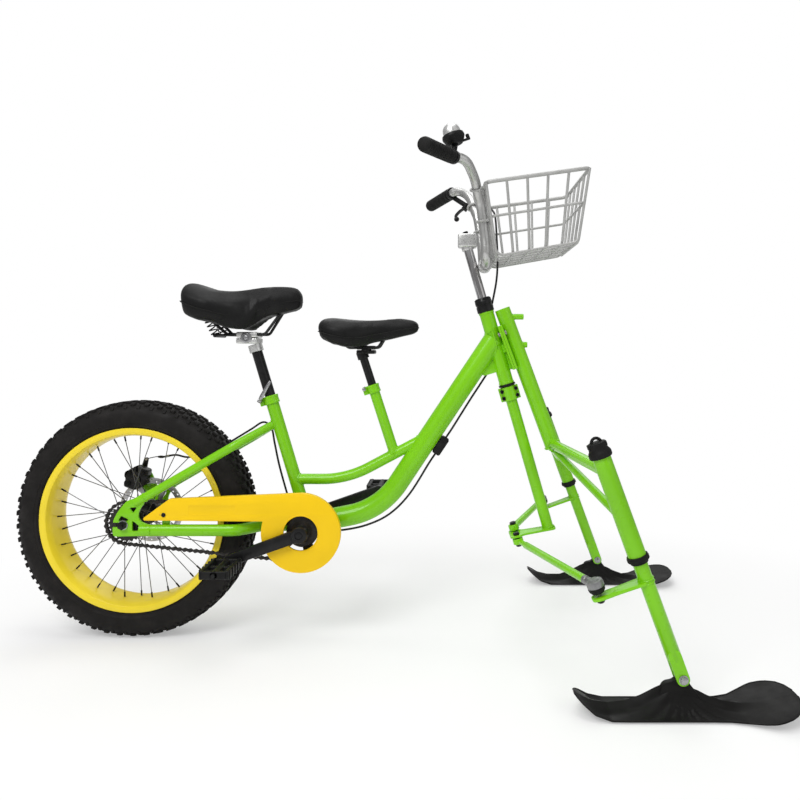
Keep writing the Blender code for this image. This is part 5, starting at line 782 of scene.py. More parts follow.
def make_hub():
    profile = [(0.0058, 0.0665), (0.015, 0.0665), (0.016, 0.0655), (0.016, 0.04), (0.0175, 0.0362),
        (0.029, 0.035), (0.03, 0.034), (0.03, 0.032), (0.029, 0.031), (0.018, 0.03), (0.015, 0.024),
        (0.0142, 0.0), (0.015, -0.024), (0.018, -0.03), (0.029, -0.031), (0.03, -0.032), (0.03, -0.034),
        (0.029, -0.035), (0.0175, -0.0362), (0.016, -0.04), (0.016, -0.049), (0.015, -0.05),
        (0.0058, -0.05)]
    return dress(spin_up("hub", profile, AXLE, (0, 1, 0), 48, True), "black paint")


def make_rotor(wheel):
    """A drilled brake disc on six bolts."""
    centre = (AXLE.x, AXLE.z)
    radius = wheel.rotor_radius
    outlines = [arc(centre, radius, 96), arc(centre, 0.0088, 32)]
    pitch = math.pi / 3
    for i in range(6):
        start = (i + 0.12) * pitch
        outlines.append(arc(centre, radius - 0.014, 9, start, 0.76 * pitch) + arc(centre, 0.026, 6,
            start - 0.3 + 0.76 * pitch, -0.76 * pitch))
    for i in range(36):
        turn = 2 * math.pi * i / 36
        reach = radius - (0.0045 if i % 2 else 0.0095)
        outlines.append(arc((centre[0] + reach * math.cos(turn), centre[1] + reach * math.sin(turn)),
            0.0019, 10))
    disc = side_plate("disc", outlines, 0.002, ROTOR_MIDDLE, 0.0002)
    bolt = add_bar("bolt", wheel_point(0.0205, 0.2, 0.0685), wheel_point(0.0205, 0.2, 0.0712), 0.0032, 12,
        0.0005)
    return fuse("snow_bike_rotor", disc, repeated(bolt, 6, AXLE, (0, 1, 0)))


def make_rear_axle():
    """The axle, with a washer and a nut outside each dropout."""
    pieces = [centred_bar("axle", AXLE, sideways(0.105), 0.005, 32, 0.0008)]
    washers = []
    for side, _ in SIDES:
        out = sideways(side)
        washers.append(bar_on("washer", AXLE, out, (0.0883, 0.0899), 0.0112, 32, 0.0004))
        pieces.append(hex_on("nut", AXLE, out, (0.0899, 0.0983), 0.0104, 0.0008))
        for groove in range(3):
            pieces.append(add_bar("thread", AXLE + out * (0.0993 + 0.0018 * groove),
                AXLE + out * (0.1001 + 0.0018 * groove), 0.0054, 24, 0.0002))
    nuts = dress(fuse("nuts", *pieces), "black paint")
    return fuse("snow_bike_rear_axle", nuts, dress(fuse("washers", *washers), "bright steel"))


def toothed(centre, teeth, root, tip):
    """A sprocket's outline with rounded gullets and blunt teeth."""
    outline = []
    pitch = 2 * math.pi / teeth
    for i in range(teeth):
        for share, radius in ((-0.5, root), (-0.34, root + 0.0006), (-0.15, tip - 0.0008), (-0.06, tip),
                (0.06, tip), (0.15, tip - 0.0008), (0.34, root + 0.0006)):
            angle = (i + share) * pitch
            outline.append((centre[0] + radius * math.cos(angle), centre[1] + radius * math.sin(angle)))
    return outline


def pitch_radius(teeth):
    return CHAIN_PITCH / (2 * math.sin(math.pi / teeth))


def make_freewheel():
    pitch = pitch_radius(COG_TEETH)
    teeth = side_plate("teeth", [toothed((AXLE.x, AXLE.z), COG_TEETH, pitch - 0.0087, pitch - 0.0042)],
        0.0026, -CHAIN_LINE, 0.0004)
    body = spin_up("body", [(0.0058, -0.0505), (0.027, -0.0505), (0.029, -0.052), (0.029, -0.0745),
        (0.0278, -0.076), (0.0225, -0.076), (0.022, -0.0752), (0.016, -0.0752), (0.0155, -0.076),
        (0.0058, -0.076)], AXLE, (0, 1, 0), 48, True)
    return fuse("snow_bike_freewheel", teeth, body)


# Drive

def chain_path():
    """The pitch line round the two sprockets."""
    ring, small = pitch_radius(RING_TEETH), pitch_radius(COG_TEETH)
    run = AXLE - BRACKET
    lean = math.atan2(run.z, run.x)
    tilt = math.acos((ring - small) / run.length)
    line = arc((BRACKET.x, BRACKET.z), ring, 96, lean + tilt, 2 * math.pi - 2 * tilt)
    line += arc((AXLE.x, AXLE.z), small, 64, lean - tilt, 2 * tilt)
    return [Vector((x, -CHAIN_LINE, z)) for x, z in line]


def chain_link(name, outer):
    """Two side plates with rollers between them, or with pins through them."""
    reach = CHAIN_PITCH / 2
    shape = (arc((reach, 0), 0.0043, 7, -math.pi / 2, math.pi) + [(0, 0.0019)] + arc((-reach, 0), 0.0043, 7,
        math.pi / 2, math.pi) + [(0, -0.0019)])
    pieces = []
    for side in (-1, 1):
        pieces.append(side_plate("plate", [shape], 0.001, side * (0.0034 if outer else 0.0022), 0.0002))
        ends = (0.0042, 0.0) if outer else (0.0017, 0.0)
        for end in (-reach, reach):
            pieces.append(add_bar("pin", (end, 0, 0), (end, side * ends[0], 0), 0.0018 if outer else 0.0037,
                12))
    return fuse(name, *pieces)


def make_chain():
    path = chain_path()
    length = sum((end - start).length for start, end in zip(path, path[1:] + path[:1]))
    count = 2 * round(length / CHAIN_PITCH / 2)
    pins = [along_run(path, length * i / count)[0] for i in range(count)]
    masters = [chain_link("inner_link", False), chain_link("outer_link", True)]
    links = []
    for i, (start, end) in enumerate(zip(pins, pins[1:] + pins[:1])):
        run = end - start
        matrix = Matrix.Translation((start + end) / 2) @ pitched(math.atan2(run.z, run.x))
        link = masters[i % 2].copy()
        link.data = masters[i % 2].data.copy()
        link.data.transform(matrix)
        bpy.context.collection.objects.link(link)
        links.append(link)
    for master in masters:
        bpy.data.objects.remove(master)
    return fuse("snow_bike_chain", *links)


def make_chainring():
    centre = (BRACKET.x, BRACKET.z)
    pitch = pitch_radius(RING_TEETH)
    outlines = [toothed(centre, RING_TEETH, pitch - 0.0087, pitch - 0.0042), arc(centre, 0.0087, 32)]
    for i in range(5):
        start = 2 * math.pi * i / 5 + 0.25
        outlines.append(arc(centre, pitch - 0.018, 12, start, 0.75) + arc(centre, 0.032, 8, start + 0.65,
            -0.55))
    ring = side_plate("ring", outlines, 0.0026, -CHAIN_LINE, 0.0003)
    spider = spin_up("spider", [(0.0087, -0.0665), (0.034, -0.0665), (0.0366, -0.069), (0.0372, -0.074),
        (0.036, -0.0765), (0.033, -0.0772), (0.03, -0.076), (0.024, -0.0768), (0.02, -0.08), (0.015, -0.09),
        (0.0087, -0.09)], BRACKET, (0, 1, 0), 64, True)
    return fuse("snow_bike_chainring", ring, spider)


GUARD_DISC = 0.0914
GUARD_SCREW = Vector((-0.3132, 0.0, 0.3047))


def guard_outline(inset):
    """A disc round the crank, with an arm back to the rear axle."""
    radius = GUARD_DISC - inset
    under = 0.289 + inset
    low = math.asin((under - BRACKET.z) / radius)
    neck = (-0.103 - inset, under)
    disc = arc((BRACKET.x, BRACKET.z), radius, 72, -math.pi - low, 1.5 * math.pi + low)
    tip = arc((-0.3561, 0.2952), max(0.004 - inset, 0.001), 7, math.radians(130), math.radians(130))
    shoulder = [(-0.2975 + inset * 0.4, 0.3411 - inset), (-0.301 + inset * 0.4, 0.3407 - inset),
        (-0.304 + inset * 0.4, 0.3385 - inset)]
    return disc + shoulder + tip + [neck]


def make_guard():
    """The moulded chain guard, open towards the wheel, with a long shallow panel on its arm."""
    guard = side_plate("snow_bike_chain_guard", [guard_outline(0.0)], 0.014, -0.088, 0.0022)
    pocket = side_plate("pocket", [guard_outline(0.0026)], 0.014, -0.0855, 0.0004)
    panel = side_plate("panel", [[(-0.256, 0.305), (-0.15, 0.305), (-0.15, 0.326), (-0.256, 0.326)]], 0.002,
        -0.0956, 0.0004)
    hole = add_bar("hole", BRACKET - sideways(0.12), BRACKET - sideways(0.06), 0.0395, 72)
    screw = centred_bar("hole", GUARD_SCREW + sideways(-0.09), sideways(0.03), 0.0033, 20)
    pilot = add_bar("hole", (-0.3216, -0.12, 0.3049), (-0.3216, -0.06, 0.3049), 0.0012, 12)
    guard = cut(guard, pocket, panel, hole, screw, pilot)
    lip = spin_up("lip", [(0.039, -0.0952), (0.0398, -0.096), (0.0412, -0.096), (0.042, -0.0952),
        (0.042, -0.0925), (0.039, -0.0925)], BRACKET, (0, 1, 0), 72, True)
    return fuse("snow_bike_chain_guard", guard, lip)


def make_guard_screw():
    """A round-headed screw with a cross in it."""
    head = spin_up("snow_bike_guard_screw", [(0.0, 0.0984), (0.0022, 0.0982), (0.004, 0.0974),
        (0.005, 0.096), (0.005, 0.0953), (0.003, 0.0953), (0.003, 0.0813), (0.0, 0.0813)], GUARD_SCREW,
        (0, -1, 0), 32)
    bars = [add_block("slot", size, GUARD_SCREW - sideways(0.0982), None,
        0) for size in ((0.0048, 0.0016, 0.0009), (0.0009, 0.0016, 0.0048))]
    return cut(head, *bars)


def make_bracket_cups():
    half = [(0.0093, 0.0425), (0.018, 0.0425), (0.021, 0.0412), (0.021, 0.0368), (0.0172, 0.0368)]
    sleeve = half + [(radius, -height) for radius, height in half[::-1]]
    cups = spin_up("snow_bike_bottom_bracket", sleeve, BRACKET, (0, 1, 0), 48, True)
    notches = []
    for side in (-1, 1):
        notch = add_block("notch", (0.006, 0.003, 0.004), BRACKET + Vector((0.02, side * 0.0418, 0)), None,
            0.0004)
        notches.append(repeated(notch, 6, BRACKET, (0, 1, 0)))
    return cut(cups, *notches)


def make_spindle():
    return centred_bar("snow_bike_crank_spindle", BRACKET, sideways(0.116), 0.0085, 40, 0.001)


def crank_eye(side):
    angle = CRANK_TURN + (math.pi if side > 0 else 0.0)
    return BRACKET + Vector((CRANK_LENGTH * math.cos(angle), 0, CRANK_LENGTH * math.sin(angle)))


def make_crank(side, name):
    """A forged arm that tapers to the pedal's eye, with a boss and the pedal's spindle."""
    eye = crank_eye(side)
    lean = math.atan2(eye.z - BRACKET.z, eye.x - BRACKET.x)
    outline = (arc((BRACKET.x, BRACKET.z), 0.015, 17, lean + math.pi / 2, math.pi) + arc((eye.x, eye.z),
        0.013, 17, lean - math.pi / 2, math.pi))
    arm = side_plate("arm", [outline], 0.014, side * 0.106, 0.0034)
    out = sideways(side)
    boss = spin_up("boss", [(0.0088, 0.096), (0.018, 0.096), (0.019, 0.097), (0.019, 0.1135),
        (0.0176, 0.116), (0.015, 0.117), (0.0088, 0.117)], BRACKET, out, 48, True)
    pin = spin_up("pin", [(0.0, 0.1), (0.0068, 0.1), (0.0068, 0.115), (0.0045, 0.116), (0.0045, 0.219),
        (0.0, 0.219)], eye, out, 24)
    return fuse("snow_bike_" + name + "_crank", arm, boss, pin)


def make_pedal(side, name):
    """A platform of two walls and two ends round a barrel and a web, with grip teeth along the walls."""
    middle = crank_eye(side) + sideways(side * 0.165)
    pieces = []
    for way in (-1, 1):
        pieces.append(add_block("wall", (0.009, 0.098, 0.02), middle + Vector((way * 0.0275, 0, 0)), None,
            0.003))
        pieces.append(add_block("end", (0.06, 0.01, 0.017), middle + sideways(way * 0.044), None, 0.003))
        for step in range(5):
            place = middle + Vector((way * 0.032, (step - 2) * 0.019, 0))
            pieces.append(add_block("tooth", (0.004, 0.007, 0.0206), place, None, 0.0012, 2))
    barrel = centred_bar("barrel", middle, sideways(0.049), 0.0088, 28, 0.001)
    web = add_block("web", (0.056, 0.009, 0.011), middle, None, 0.002)
    bore = centred_bar("bore", middle, sideways(0.06), 0.0053, 24)
    pieces.append(cut(barrel, bore))
    bore = centred_bar("bore", middle, sideways(0.02), 0.0053, 24)
    pieces.append(cut(web, bore))
    for way in (-1, 1):
        bore = add_bar("bore", middle + sideways(way * 0.03), middle + sideways(way * 0.06), 0.0053, 24)
        cut(pieces[1 if way < 0 else 8], bore)
    return fuse("snow_bike_" + name + "_pedal", *pieces)


# Main frame

def soft_corners(points, radius, steps=4):
    """A closed outline with rounded corners."""
    points = [Vector(point) for point in points]
    outline = []
    for before, corner, after in zip(points[-1:] + points[:-1], points, points[1:] + points[:1]):
        back, ahead = before - corner, after - corner
        reach = min(radius, back.length * 0.45, ahead.length * 0.45)
        start = corner + back.normalized() * reach
        end = corner + ahead.normalized() * reach
        for i in range(steps + 1):
            t = i / steps
            outline.append(tuple(start * (1 - t) ** 2 + corner * (2 * t * (1 - t)) + end * t ** 2))
    return outline


def weld_bead(start, way, radius, hub, hub_way, hub_radius, bead):
    """A rippled bead where a tube, leaving a hub along a way, comes out of the hub's side."""
    start, hub = Vector(start), Vector(hub)
    way, hub_way = Vector(way).normalized(), Vector(hub_way).normalized()
    level = way.orthogonal().normalized()
    cross = way.cross(level)
    slant = way - hub_way * way.dot(hub_way)
    steps = 48
    ring = []
    for i in range(steps):
        turn = 2 * math.pi * i / steps
        swell = radius + 0.0003 * math.sin(turn * 13)
        point = start + level * (swell * math.cos(turn)) + cross * (swell * math.sin(turn))
        gap = point - hub
        gap = gap - hub_way * gap.dot(hub_way)
        along = gap.dot(slant)
        under = max(along * along - slant.length_squared * (gap.length_squared - hub_radius ** 2), 0.0)
        reach = (-along + math.sqrt(under)) / slant.length_squared
        ring.append(point + way * (reach + 0.0003 * math.sin(turn * 17)))
    return draw_tube("bead", ring, bead, 2, True)


def flange_frame():
    """Middle of the ski frame's flange on its mating face, and the way out of it to the rear."""
    rearward = -tilted_up(FRONT_LEAN)
    return FRONT_TOP + FRONT_DOWN * 0.091 + rearward * 0.0225, rearward


def make_dropout(side):
    """A laser-cut plate with windows and an axle slot open to the rear."""
    def on_plate(points, radius):
        return soft_corners(near_axle(points), radius)
    outline = ((-24.5, 7.3), (-13.1, 30.3), (7.6, 55.5), (36.0, 63.0), (50.0, 52.0), (37.0, 35.0),
        (33.5, 19.0), (39.7, 7.3), (53.4, 1.6), (62.6, 0.5), (62.6, -24.8), (-24.5, -27.0))
    windows = (((13.3, 39.4), (31.6, 40.6), (22.5, 26.8)),
        ((-11.9, 8.6), (-5.0, 21.1), (11.0, 13.1), (9.9, 8.6)),
        ((20.2, 9.6), (25.9, 6.2), (45.4, -9.9), (42.0, -13.3), (20.2, -14.4)))
    outlines = [on_plate(outline, 0.009)] + [on_plate(window, 0.0035) for window in windows]
    plate = side_plate("dropout", outlines, 2 * DROPOUT_HALF, side * STAY_SPREAD, 0.0006)
    lane = centred_bar("lane", AXLE, sideways(0.11), 0.0055, 24)
    slot = add_block("slot", (0.06, 0.22, 0.011), AXLE - Vector((0.03, 0, 0)), None, 0)
    return cut(plate, lane, slot)


def post_bore():
    """The room that the adult seatpost slides in."""
    return bar_on("bore", SEAT_TOP, SEAT_UP, (-0.224, 0.01), 0.0132, 40)


def make_main_frame(sizes):
    """The welded frame: tubes, stays, dropouts, gusset and the plate that the ski frame bolts to."""
    down, seat, bead = sizes.down_tube_radius, sizes.seat_tube_radius, sizes.weld_bead
    run = (DOWN_CORNER - DOWN_JOINT).normalized()
    rise = tilted_up(math.radians(27.9))
    corner = Vector((0.0935, 0, 0.3695))
    step_line = bent([(-0.033, 0, 0.3695), corner, corner + rise * 0.2], 0.24, 20)
    pieces = [draw_tube("down_tube", bent([DOWN_JOINT, DOWN_CORNER, BRACKET], 0.18, 36), down, 14),
        draw_tube("step_tube", step_line, STEP_RADIUS, 10),
        add_bar("seat_tube", BRACKET, SEAT_TOP - SEAT_UP * 0.0002, seat, 40),
        add_bar("child_tube", CHILD_FOOT - CHILD_UP * 0.004, CHILD_TOP, CHILD_RADIUS, 36),
        centred_bar("bracket_shell", BRACKET, sideways(0.0365), SHELL_RADIUS, 48, 0.0008)]
    pieces.append(spin_up("head_tube", [(0.0155, 0.0), (0.0182, 0.0), (0.0186, 0.0006), (0.0186, 0.0045),
        (0.0175, 0.006), (0.0175, 0.1746), (0.0186, 0.1761), (0.0186, 0.18), (0.0182, 0.1806),
        (0.0155, 0.1806)], HEAD_FOOT, COLUMN_UP, 48, True))
    for index in (1, 2):
        cut(pieces[index], post_bore())
    low = HEAD_FOOT + COLUMN_UP * 0.034
    back = DOWN_JOINT + run * 0.088
    below = Vector((-run.z, 0, run.x)) * -down
    web = [(DOWN_JOINT.x, DOWN_JOINT.z), (low.x, low.z), (back.x - below.x * 1.15, back.z - below.z * 1.15),
        (back.x, back.z)]
    pieces.append(side_plate("gusset", [soft_corners(web, 0.006)], 0.012, 0.0, 0.0012))
    for side, _ in SIDES:
        spread = side * STAY_SPREAD
        high_foot, low_foot = (-0.3826, spread, 0.3299), (-0.3711, spread, 0.2672)
        stay = bent([high_foot, (-0.15, spread, 0.4641), (-0.0877, side * 0.008, 0.5)], 0.045, 12)
        pieces.append(cut(draw_tube("seat_stay", stay, 0.01, 8), post_bore()))
        pieces.append(weld_bead(stay[-1], stay[-2] - stay[-1], 0.01, BRACKET, SEAT_UP, seat, bead))
        line = bent([low_foot, (-0.15, spread, 0.2672), (-0.095, side * 0.036, 0.2672),
            (0.0, side * 0.02, 0.2624)], 0.03, 10)
        stay = draw_tube("chain_stay", line, 0.0108, 8)
        pieces.append(settle(stay, Matrix.Translation((0, 0, -0.0668)) @ Matrix.Diagonal((1, 1, 1.25, 1))))
        pieces.append(weld_bead(line[-1], line[-2] - line[-1], 0.012, BRACKET, (0, 1, 0), SHELL_RADIUS,
            bead))
        pieces.append(make_dropout(side))
        for foot, way, radius in ((high_foot, (0.866, 0, 0.5), 0.01), (low_foot, (1, 0, 0), 0.0118)):
            way = Vector(way).normalized()
            pieces.append(seam("dropout_bead", Vector(foot) + way * 0.026, way, radius, 0.0014))
    tab = [(-15.0, 26.0), (9.0, 52.0), (-8.0, 92.0), (-30.0, 100.0), (-58.0, 74.0), (-52.0, 58.0)]
    tab = side_plate("caliper_tab", [soft_corners(near_axle(tab), 0.008)], 0.0056, STAY_SPREAD, 0.0006)
    pivot = from_axle((-34.0, 82.0), STAY_SPREAD)
    pieces.append(cut(tab, centred_bar("hole", pivot, sideways(0.02), 0.0048, 20)))
    pieces.append(add_block("guard_tab", (0.018, 0.003, 0.0456), (GUARD_SCREW.x, -0.0792, 0.29), None,
        0.0008))
    pieces += boss_plate()
    joints = ((DOWN_JOINT, run, down, HEAD_FOOT, COLUMN_UP, HEAD_RADIUS),
        (BRACKET, SEAT_UP, seat, BRACKET, (0, 1, 0), SHELL_RADIUS),
        (BRACKET, (0.95, 0, 0.19), down, BRACKET, (0, 1, 0), SHELL_RADIUS),
        (step_line[0], (1, 0, 0), STEP_RADIUS, BRACKET, SEAT_UP, seat),
        (corner + rise * 0.18, -rise, STEP_RADIUS, DOWN_JOINT, run, down),
        (CHILD_FOOT - CHILD_UP * 0.004, CHILD_UP, CHILD_RADIUS, corner, rise, STEP_RADIUS))
    pieces += [weld_bead(*joint, bead) for joint in joints]
    return fuse("snow_bike_main_frame", *pieces)


def boss_plate():
    """The plate that the ski frame bolts to, its boss and the web to the head tube."""
    middle, rearward = flange_frame()
    core = middle + rearward * 0.0128
    boss = add_block("boss", (0.024, 0.024, 0.02), core, FRONT_TURN, 0.002)
    web = add_block("web", (0.024, 0.0116, 0.106), core, FRONT_TURN, 0.001)
    return [drilled_plate("boss_plate", 0.005, 0.0028), boss, web]


def drilled_plate(name, thickness, offset):
    """One of the two plates that hold the ski frame, at an offset to the rear of their joint."""
    middle, rearward = flange_frame()
    plate = add_block(name, (thickness, 0.06, 0.11), middle + rearward * offset, FRONT_TURN, 0.001)
    for side, _ in SIDES:
        cut(plate, centred_bar("hole", bolt_place(side), rearward * 0.012, 0.0043, 20))
    return plate


def bolt_place(side):
    return FRONT_TOP + FRONT_DOWN * 0.056 + flange_frame()[1] * 0.0225 + sideways(side * 0.0225)


def make_headset(name, place, way, height):
    """A bearing cup with a race line and a knurled lock ring."""
    profile = [(0.0143, height), (0.0172, height), (0.018, height - 0.001), (0.0184, height * 0.86),
        (0.02, height * 0.8), (0.0205, height * 0.76), (0.0205, height * 0.55), (0.0194, height * 0.52),
        (0.0194, height * 0.44), (0.0205, height * 0.41), (0.0205, 0.0012), (0.0198, 0.0003),
        (0.0152, 0.0003), (0.0152, -0.008), (0.0143, -0.008)]
    cup = spin_up(name, profile, place, way, 56, True)
    if height < 0.02:
        return cup
    level = Vector(way).orthogonal().normalized()
    start = Vector(place) + Vector(way) * height * 0.8 + level * 0.0186
    notch = add_bar("notch", start, start + Vector(way) * height * 0.14, 0.0016, 8, 0.0004)
    return fuse(name, cup, repeated(notch, 16, place, way))


# Ski frame

def housing_axis(side):
    top = Vector((HOUSING_TOP[0], side * SKI_TRACK / 2, HOUSING_TOP[1]))
    return top, top + LEG_DOWN * HOUSING_LENGTH


def point_on_leg(side, height):
    top, _ = housing_axis(side)
    return top + LEG_DOWN * ((top.z - height) / -LEG_DOWN.z)


def make_ski_frame(sizes):
    """The bolted-on frame: front tube and flange, upper struts, lower braces and leg housings."""
    strut, bead = sizes.strut_radius, sizes.weld_bead
    foot = FRONT_TOP + FRONT_DOWN * 0.356
    tube = spin_up("front_tube", [(0.0165, 0.0), (0.018, 0.0), (0.0185, 0.0005), (0.0185, 0.356),
        (0.0, 0.356), (0.0, 0.02), (0.0165, 0.02)], FRONT_TOP, FRONT_DOWN, 48)
    pieces = [tube, drilled_plate("flange", 0.006, -0.003)]
    for distance, length in ((0.02, 0.026), (0.092, 0.01)):
        start = FRONT_TOP + FRONT_DOWN * distance
        ahead = Vector((1, 0, 0))
        boss = spin_up("front_boss", [(0.0, 0.0), (0.007, 0.0), (0.007, 0.0175 + length),
            (0.0062, 0.0185 + length), (0.0036, 0.0185 + length), (0.0036, 0.0125 + length),
            (0.0, 0.0125 + length)], start, ahead, 32)
        pieces.append(boss)
        pieces.append(weld_bead(start, ahead, 0.007, start, FRONT_DOWN, FRONT_RADIUS, 0.0012))
    start = FRONT_TOP + FRONT_DOWN * ((FRONT_TOP.z - 0.455) / -FRONT_DOWN.z)
    for side, _ in SIDES:
        top, _ = housing_axis(side)
        end = point_on_leg(side, 0.452)
        way = (end - start).normalized()
        pieces.append(add_bar("upper_strut", start, end, strut, 36))
        pieces.append(weld_bead(start, way, strut, start, FRONT_DOWN, FRONT_RADIUS, bead * 1.3))
        pieces.append(weld_bead(end, -way, strut, top, LEG_DOWN, HOUSING_RADIUS, bead))
        brace_top = Vector((0.597, side * 0.03, 0.437))
        brace_foot = top + LEG_DOWN * 0.128
        brace_way = (brace_foot - brace_top).normalized()
        pieces.append(add_bar("lower_brace", brace_top, brace_foot, BRACE_RADIUS, 28))
        pieces.append(weld_bead(brace_top, brace_way, BRACE_RADIUS, start, way, strut, bead))
        pieces.append(weld_bead(brace_foot, -brace_way, BRACE_RADIUS, top, LEG_DOWN, HOUSING_RADIUS, bead))
        pieces.append(spin_up("leg_housing", [(0.0152, 0.0), (0.0172, 0.0), (0.0178, 0.0006),
            (0.0178, 0.1985), (0.0172, 0.1993), (0.0152, 0.1993)], top, LEG_DOWN, 48, True))
    pieces.append(seam("end_bead", foot - FRONT_DOWN * 0.002, FRONT_DOWN, 0.0182, 0.0026))
    for i in range(5):
        place = start + Vector((0.011, (i - 2) * 0.0062, 0.012 - 0.0016 * (i - 2) ** 2))
        pieces.append(seam("build_up", place, (0.3, (i - 2) * 0.1, 1), 0.004, 0.0026, 16))
    return fuse("snow_bike_ski_frame", *pieces)


def make_subframe_bolt(side, name):
    """A bolt through both flanges, its head in front and its nut behind."""
    way = -flange_frame()[1]
    place = bolt_place(side)
    pieces = [bar_on("shank", place, way, (0.0063, -0.0105), 0.004, 20),
        hex_on("head", place, way, (0.0063, 0.0106), 0.0068, 0.0006),
        hex_on("nut", place, way, (-0.0057, -0.01), 0.0068, 0.0006)]
    return fuse("snow_bike_subframe_bolt_" + name, *pieces)


def make_leg_cap(side, name):
    """A moulded cap with a flared rim, a waist and a loop, plugged into the housing's top."""
    top, _ = housing_axis(side)
    up = -LEG_DOWN
    ahead = Vector((up.z, 0, -up.x))
    profile = [(0.0, 0.03), (0.015, 0.03), (0.0172, 0.0288), (0.018, 0.0262), (0.0182, 0.02),
        (0.019, 0.0155), (0.0214, 0.0118), (0.0225, 0.0088), (0.0225, 0.003), (0.0214, 0.0003),
        (0.0146, 0.0003), (0.0146, -0.008), (0.0, -0.008)]
    cap = spin_up("cap", profile, top, up, 56)
    crown = top + up * 0.026
    arch = [crown + ahead * (0.01 * math.cos(a)) + up * (0.0118 * math.sin(a))
        for a in [math.pi * i / 20 for i in range(21)]]
    ears = [add_block("ear", (0.005, 0.018, 0.01), top + up * 0.024 + ahead * way * 0.016,
        pitched(LEG_LEAN), 0.0018) for way in (-1, 1)]
    return fuse("snow_bike_" + name + "_leg_cap", cap, draw_tube("loop", arch, 0.003, 6), *ears)


def make_leg_seal(side, name):
    _, foot = housing_axis(side)
    profile = [(0.0181, 0.003), (0.0198, 0.003), (0.0205, 0.0024), (0.0205, -0.0004), (0.0215, -0.001),
        (0.0215, -0.006), (0.0205, -0.0072), (0.018, -0.0078), (0.0172, -0.012), (0.015, -0.0125),
        (0.015, -0.0003), (0.0181, -0.0003)]
    return spin_up("snow_bike_" + name + "_leg_seal", profile, foot, -LEG_DOWN, 56, True)


# Ski legs, tie rods and skis

def pivot_point(side):
    return point_on_leg(side, SKI_PIVOT_HEIGHT)


def stud_foot(side):
    """Where the ball stud stands on the steering arm."""
    return housing_axis(side)[1] + LEG_DOWN * 0.048 + LEG_BACK * 0.093


def make_ski_leg(side, name, bead):
    """A leg with its steering arm, the ball stud's nut and a fork for the ski."""
    top, foot = housing_axis(side)
    pivot = pivot_point(side)
    fork = pivot - LEG_DOWN * 0.036
    root = foot + LEG_DOWN * 0.048
    end = stud_foot(side)
    plan = soft_corners([(0.0, -0.0185), (0.06, -0.015), (0.093, -0.016), (0.1085, -0.01), (0.1085, 0.01),
        (0.093, 0.016), (0.06, 0.015), (0.0, 0.0185)], 0.012, 6)
    frame_way = Matrix((LEG_BACK, (0, 1, 0), -LEG_DOWN)).transposed().to_4x4()
    arm = cut_plate("arm", [plan, arc((0.093, 0.0), 0.0042, 20)], 0.006,
        Matrix.Translation(root) @ frame_way, 0.0009)
    pieces = [add_bar("leg", top + LEG_DOWN * 0.0088, fork, LEG_RADIUS, 44, 0.001), arm,
        weld_bead(root, LEG_BACK, 0.0065, root, LEG_DOWN, LEG_RADIUS, bead * 0.8)]
    pieces.append(seam("arm_bead", root + LEG_DOWN * 0.0032, LEG_DOWN, 0.0145, 0.0014))
    pieces.append(seam("arm_bead", root - LEG_DOWN * 0.0032, LEG_DOWN, 0.0145, 0.0014))
    stud = dress(bar_on("stud", end, LEG_DOWN, (-0.0325, 0.012), 0.004, 24, 0.0005), "zinc")
    nut = dress(hex_on("nut", end, LEG_DOWN, (0.0031, 0.01), 0.0078, 0.0006), "black paint")
    for shift in (-1, 1):
        lean = math.atan2(LEG_DOWN.z, LEG_DOWN.x)
        high = fork - LEG_DOWN * 0.01
        ear = arc((pivot.x, pivot.z), 0.0125, 17, lean - math.pi / 2, math.pi) + arc((high.x, high.z),
            0.0125, 9, lean + math.pi / 2, math.pi)
        hole = arc((pivot.x, pivot.z), 0.0043, 20)
        pieces.append(side_plate("ear", [ear, hole], 0.0046, pivot.y + shift * 0.0113, 0.0007))
    leg = dress(fuse("leg", *pieces), "green paint")
    return fuse("snow_bike_" + name + "_ski_leg", leg, stud, nut)


def make_ski_bolt(side, name):
    """A bolt with a washer at each side of the fork, a domed head outwards and a nut inwards."""
    pivot = pivot_point(side)
    pieces = [centred_bar("shank", pivot, sideways(0.02), 0.004, 24, 0.0006)]
    for way in (-1, 1):
        out = sideways(way)
        pieces.append(bar_on("washer", pivot, out, (0.0139, 0.0152), 0.0092, 32, 0.0004))
        pieces.append(hex_on("head", pivot, out, (0.0152, 0.0196), 0.0076, 0.0008))
    return fuse("snow_bike_" + name + "_ski_bolt", *pieces)


PITMAN_ROOT = HEAD_FOOT - COLUMN_UP * 0.3635
PITMAN_BACK = -tilted_up(math.radians(10))


def rod_pin(side):
    return PITMAN_ROOT + PITMAN_BACK * 0.079 + sideways(side * 0.02)


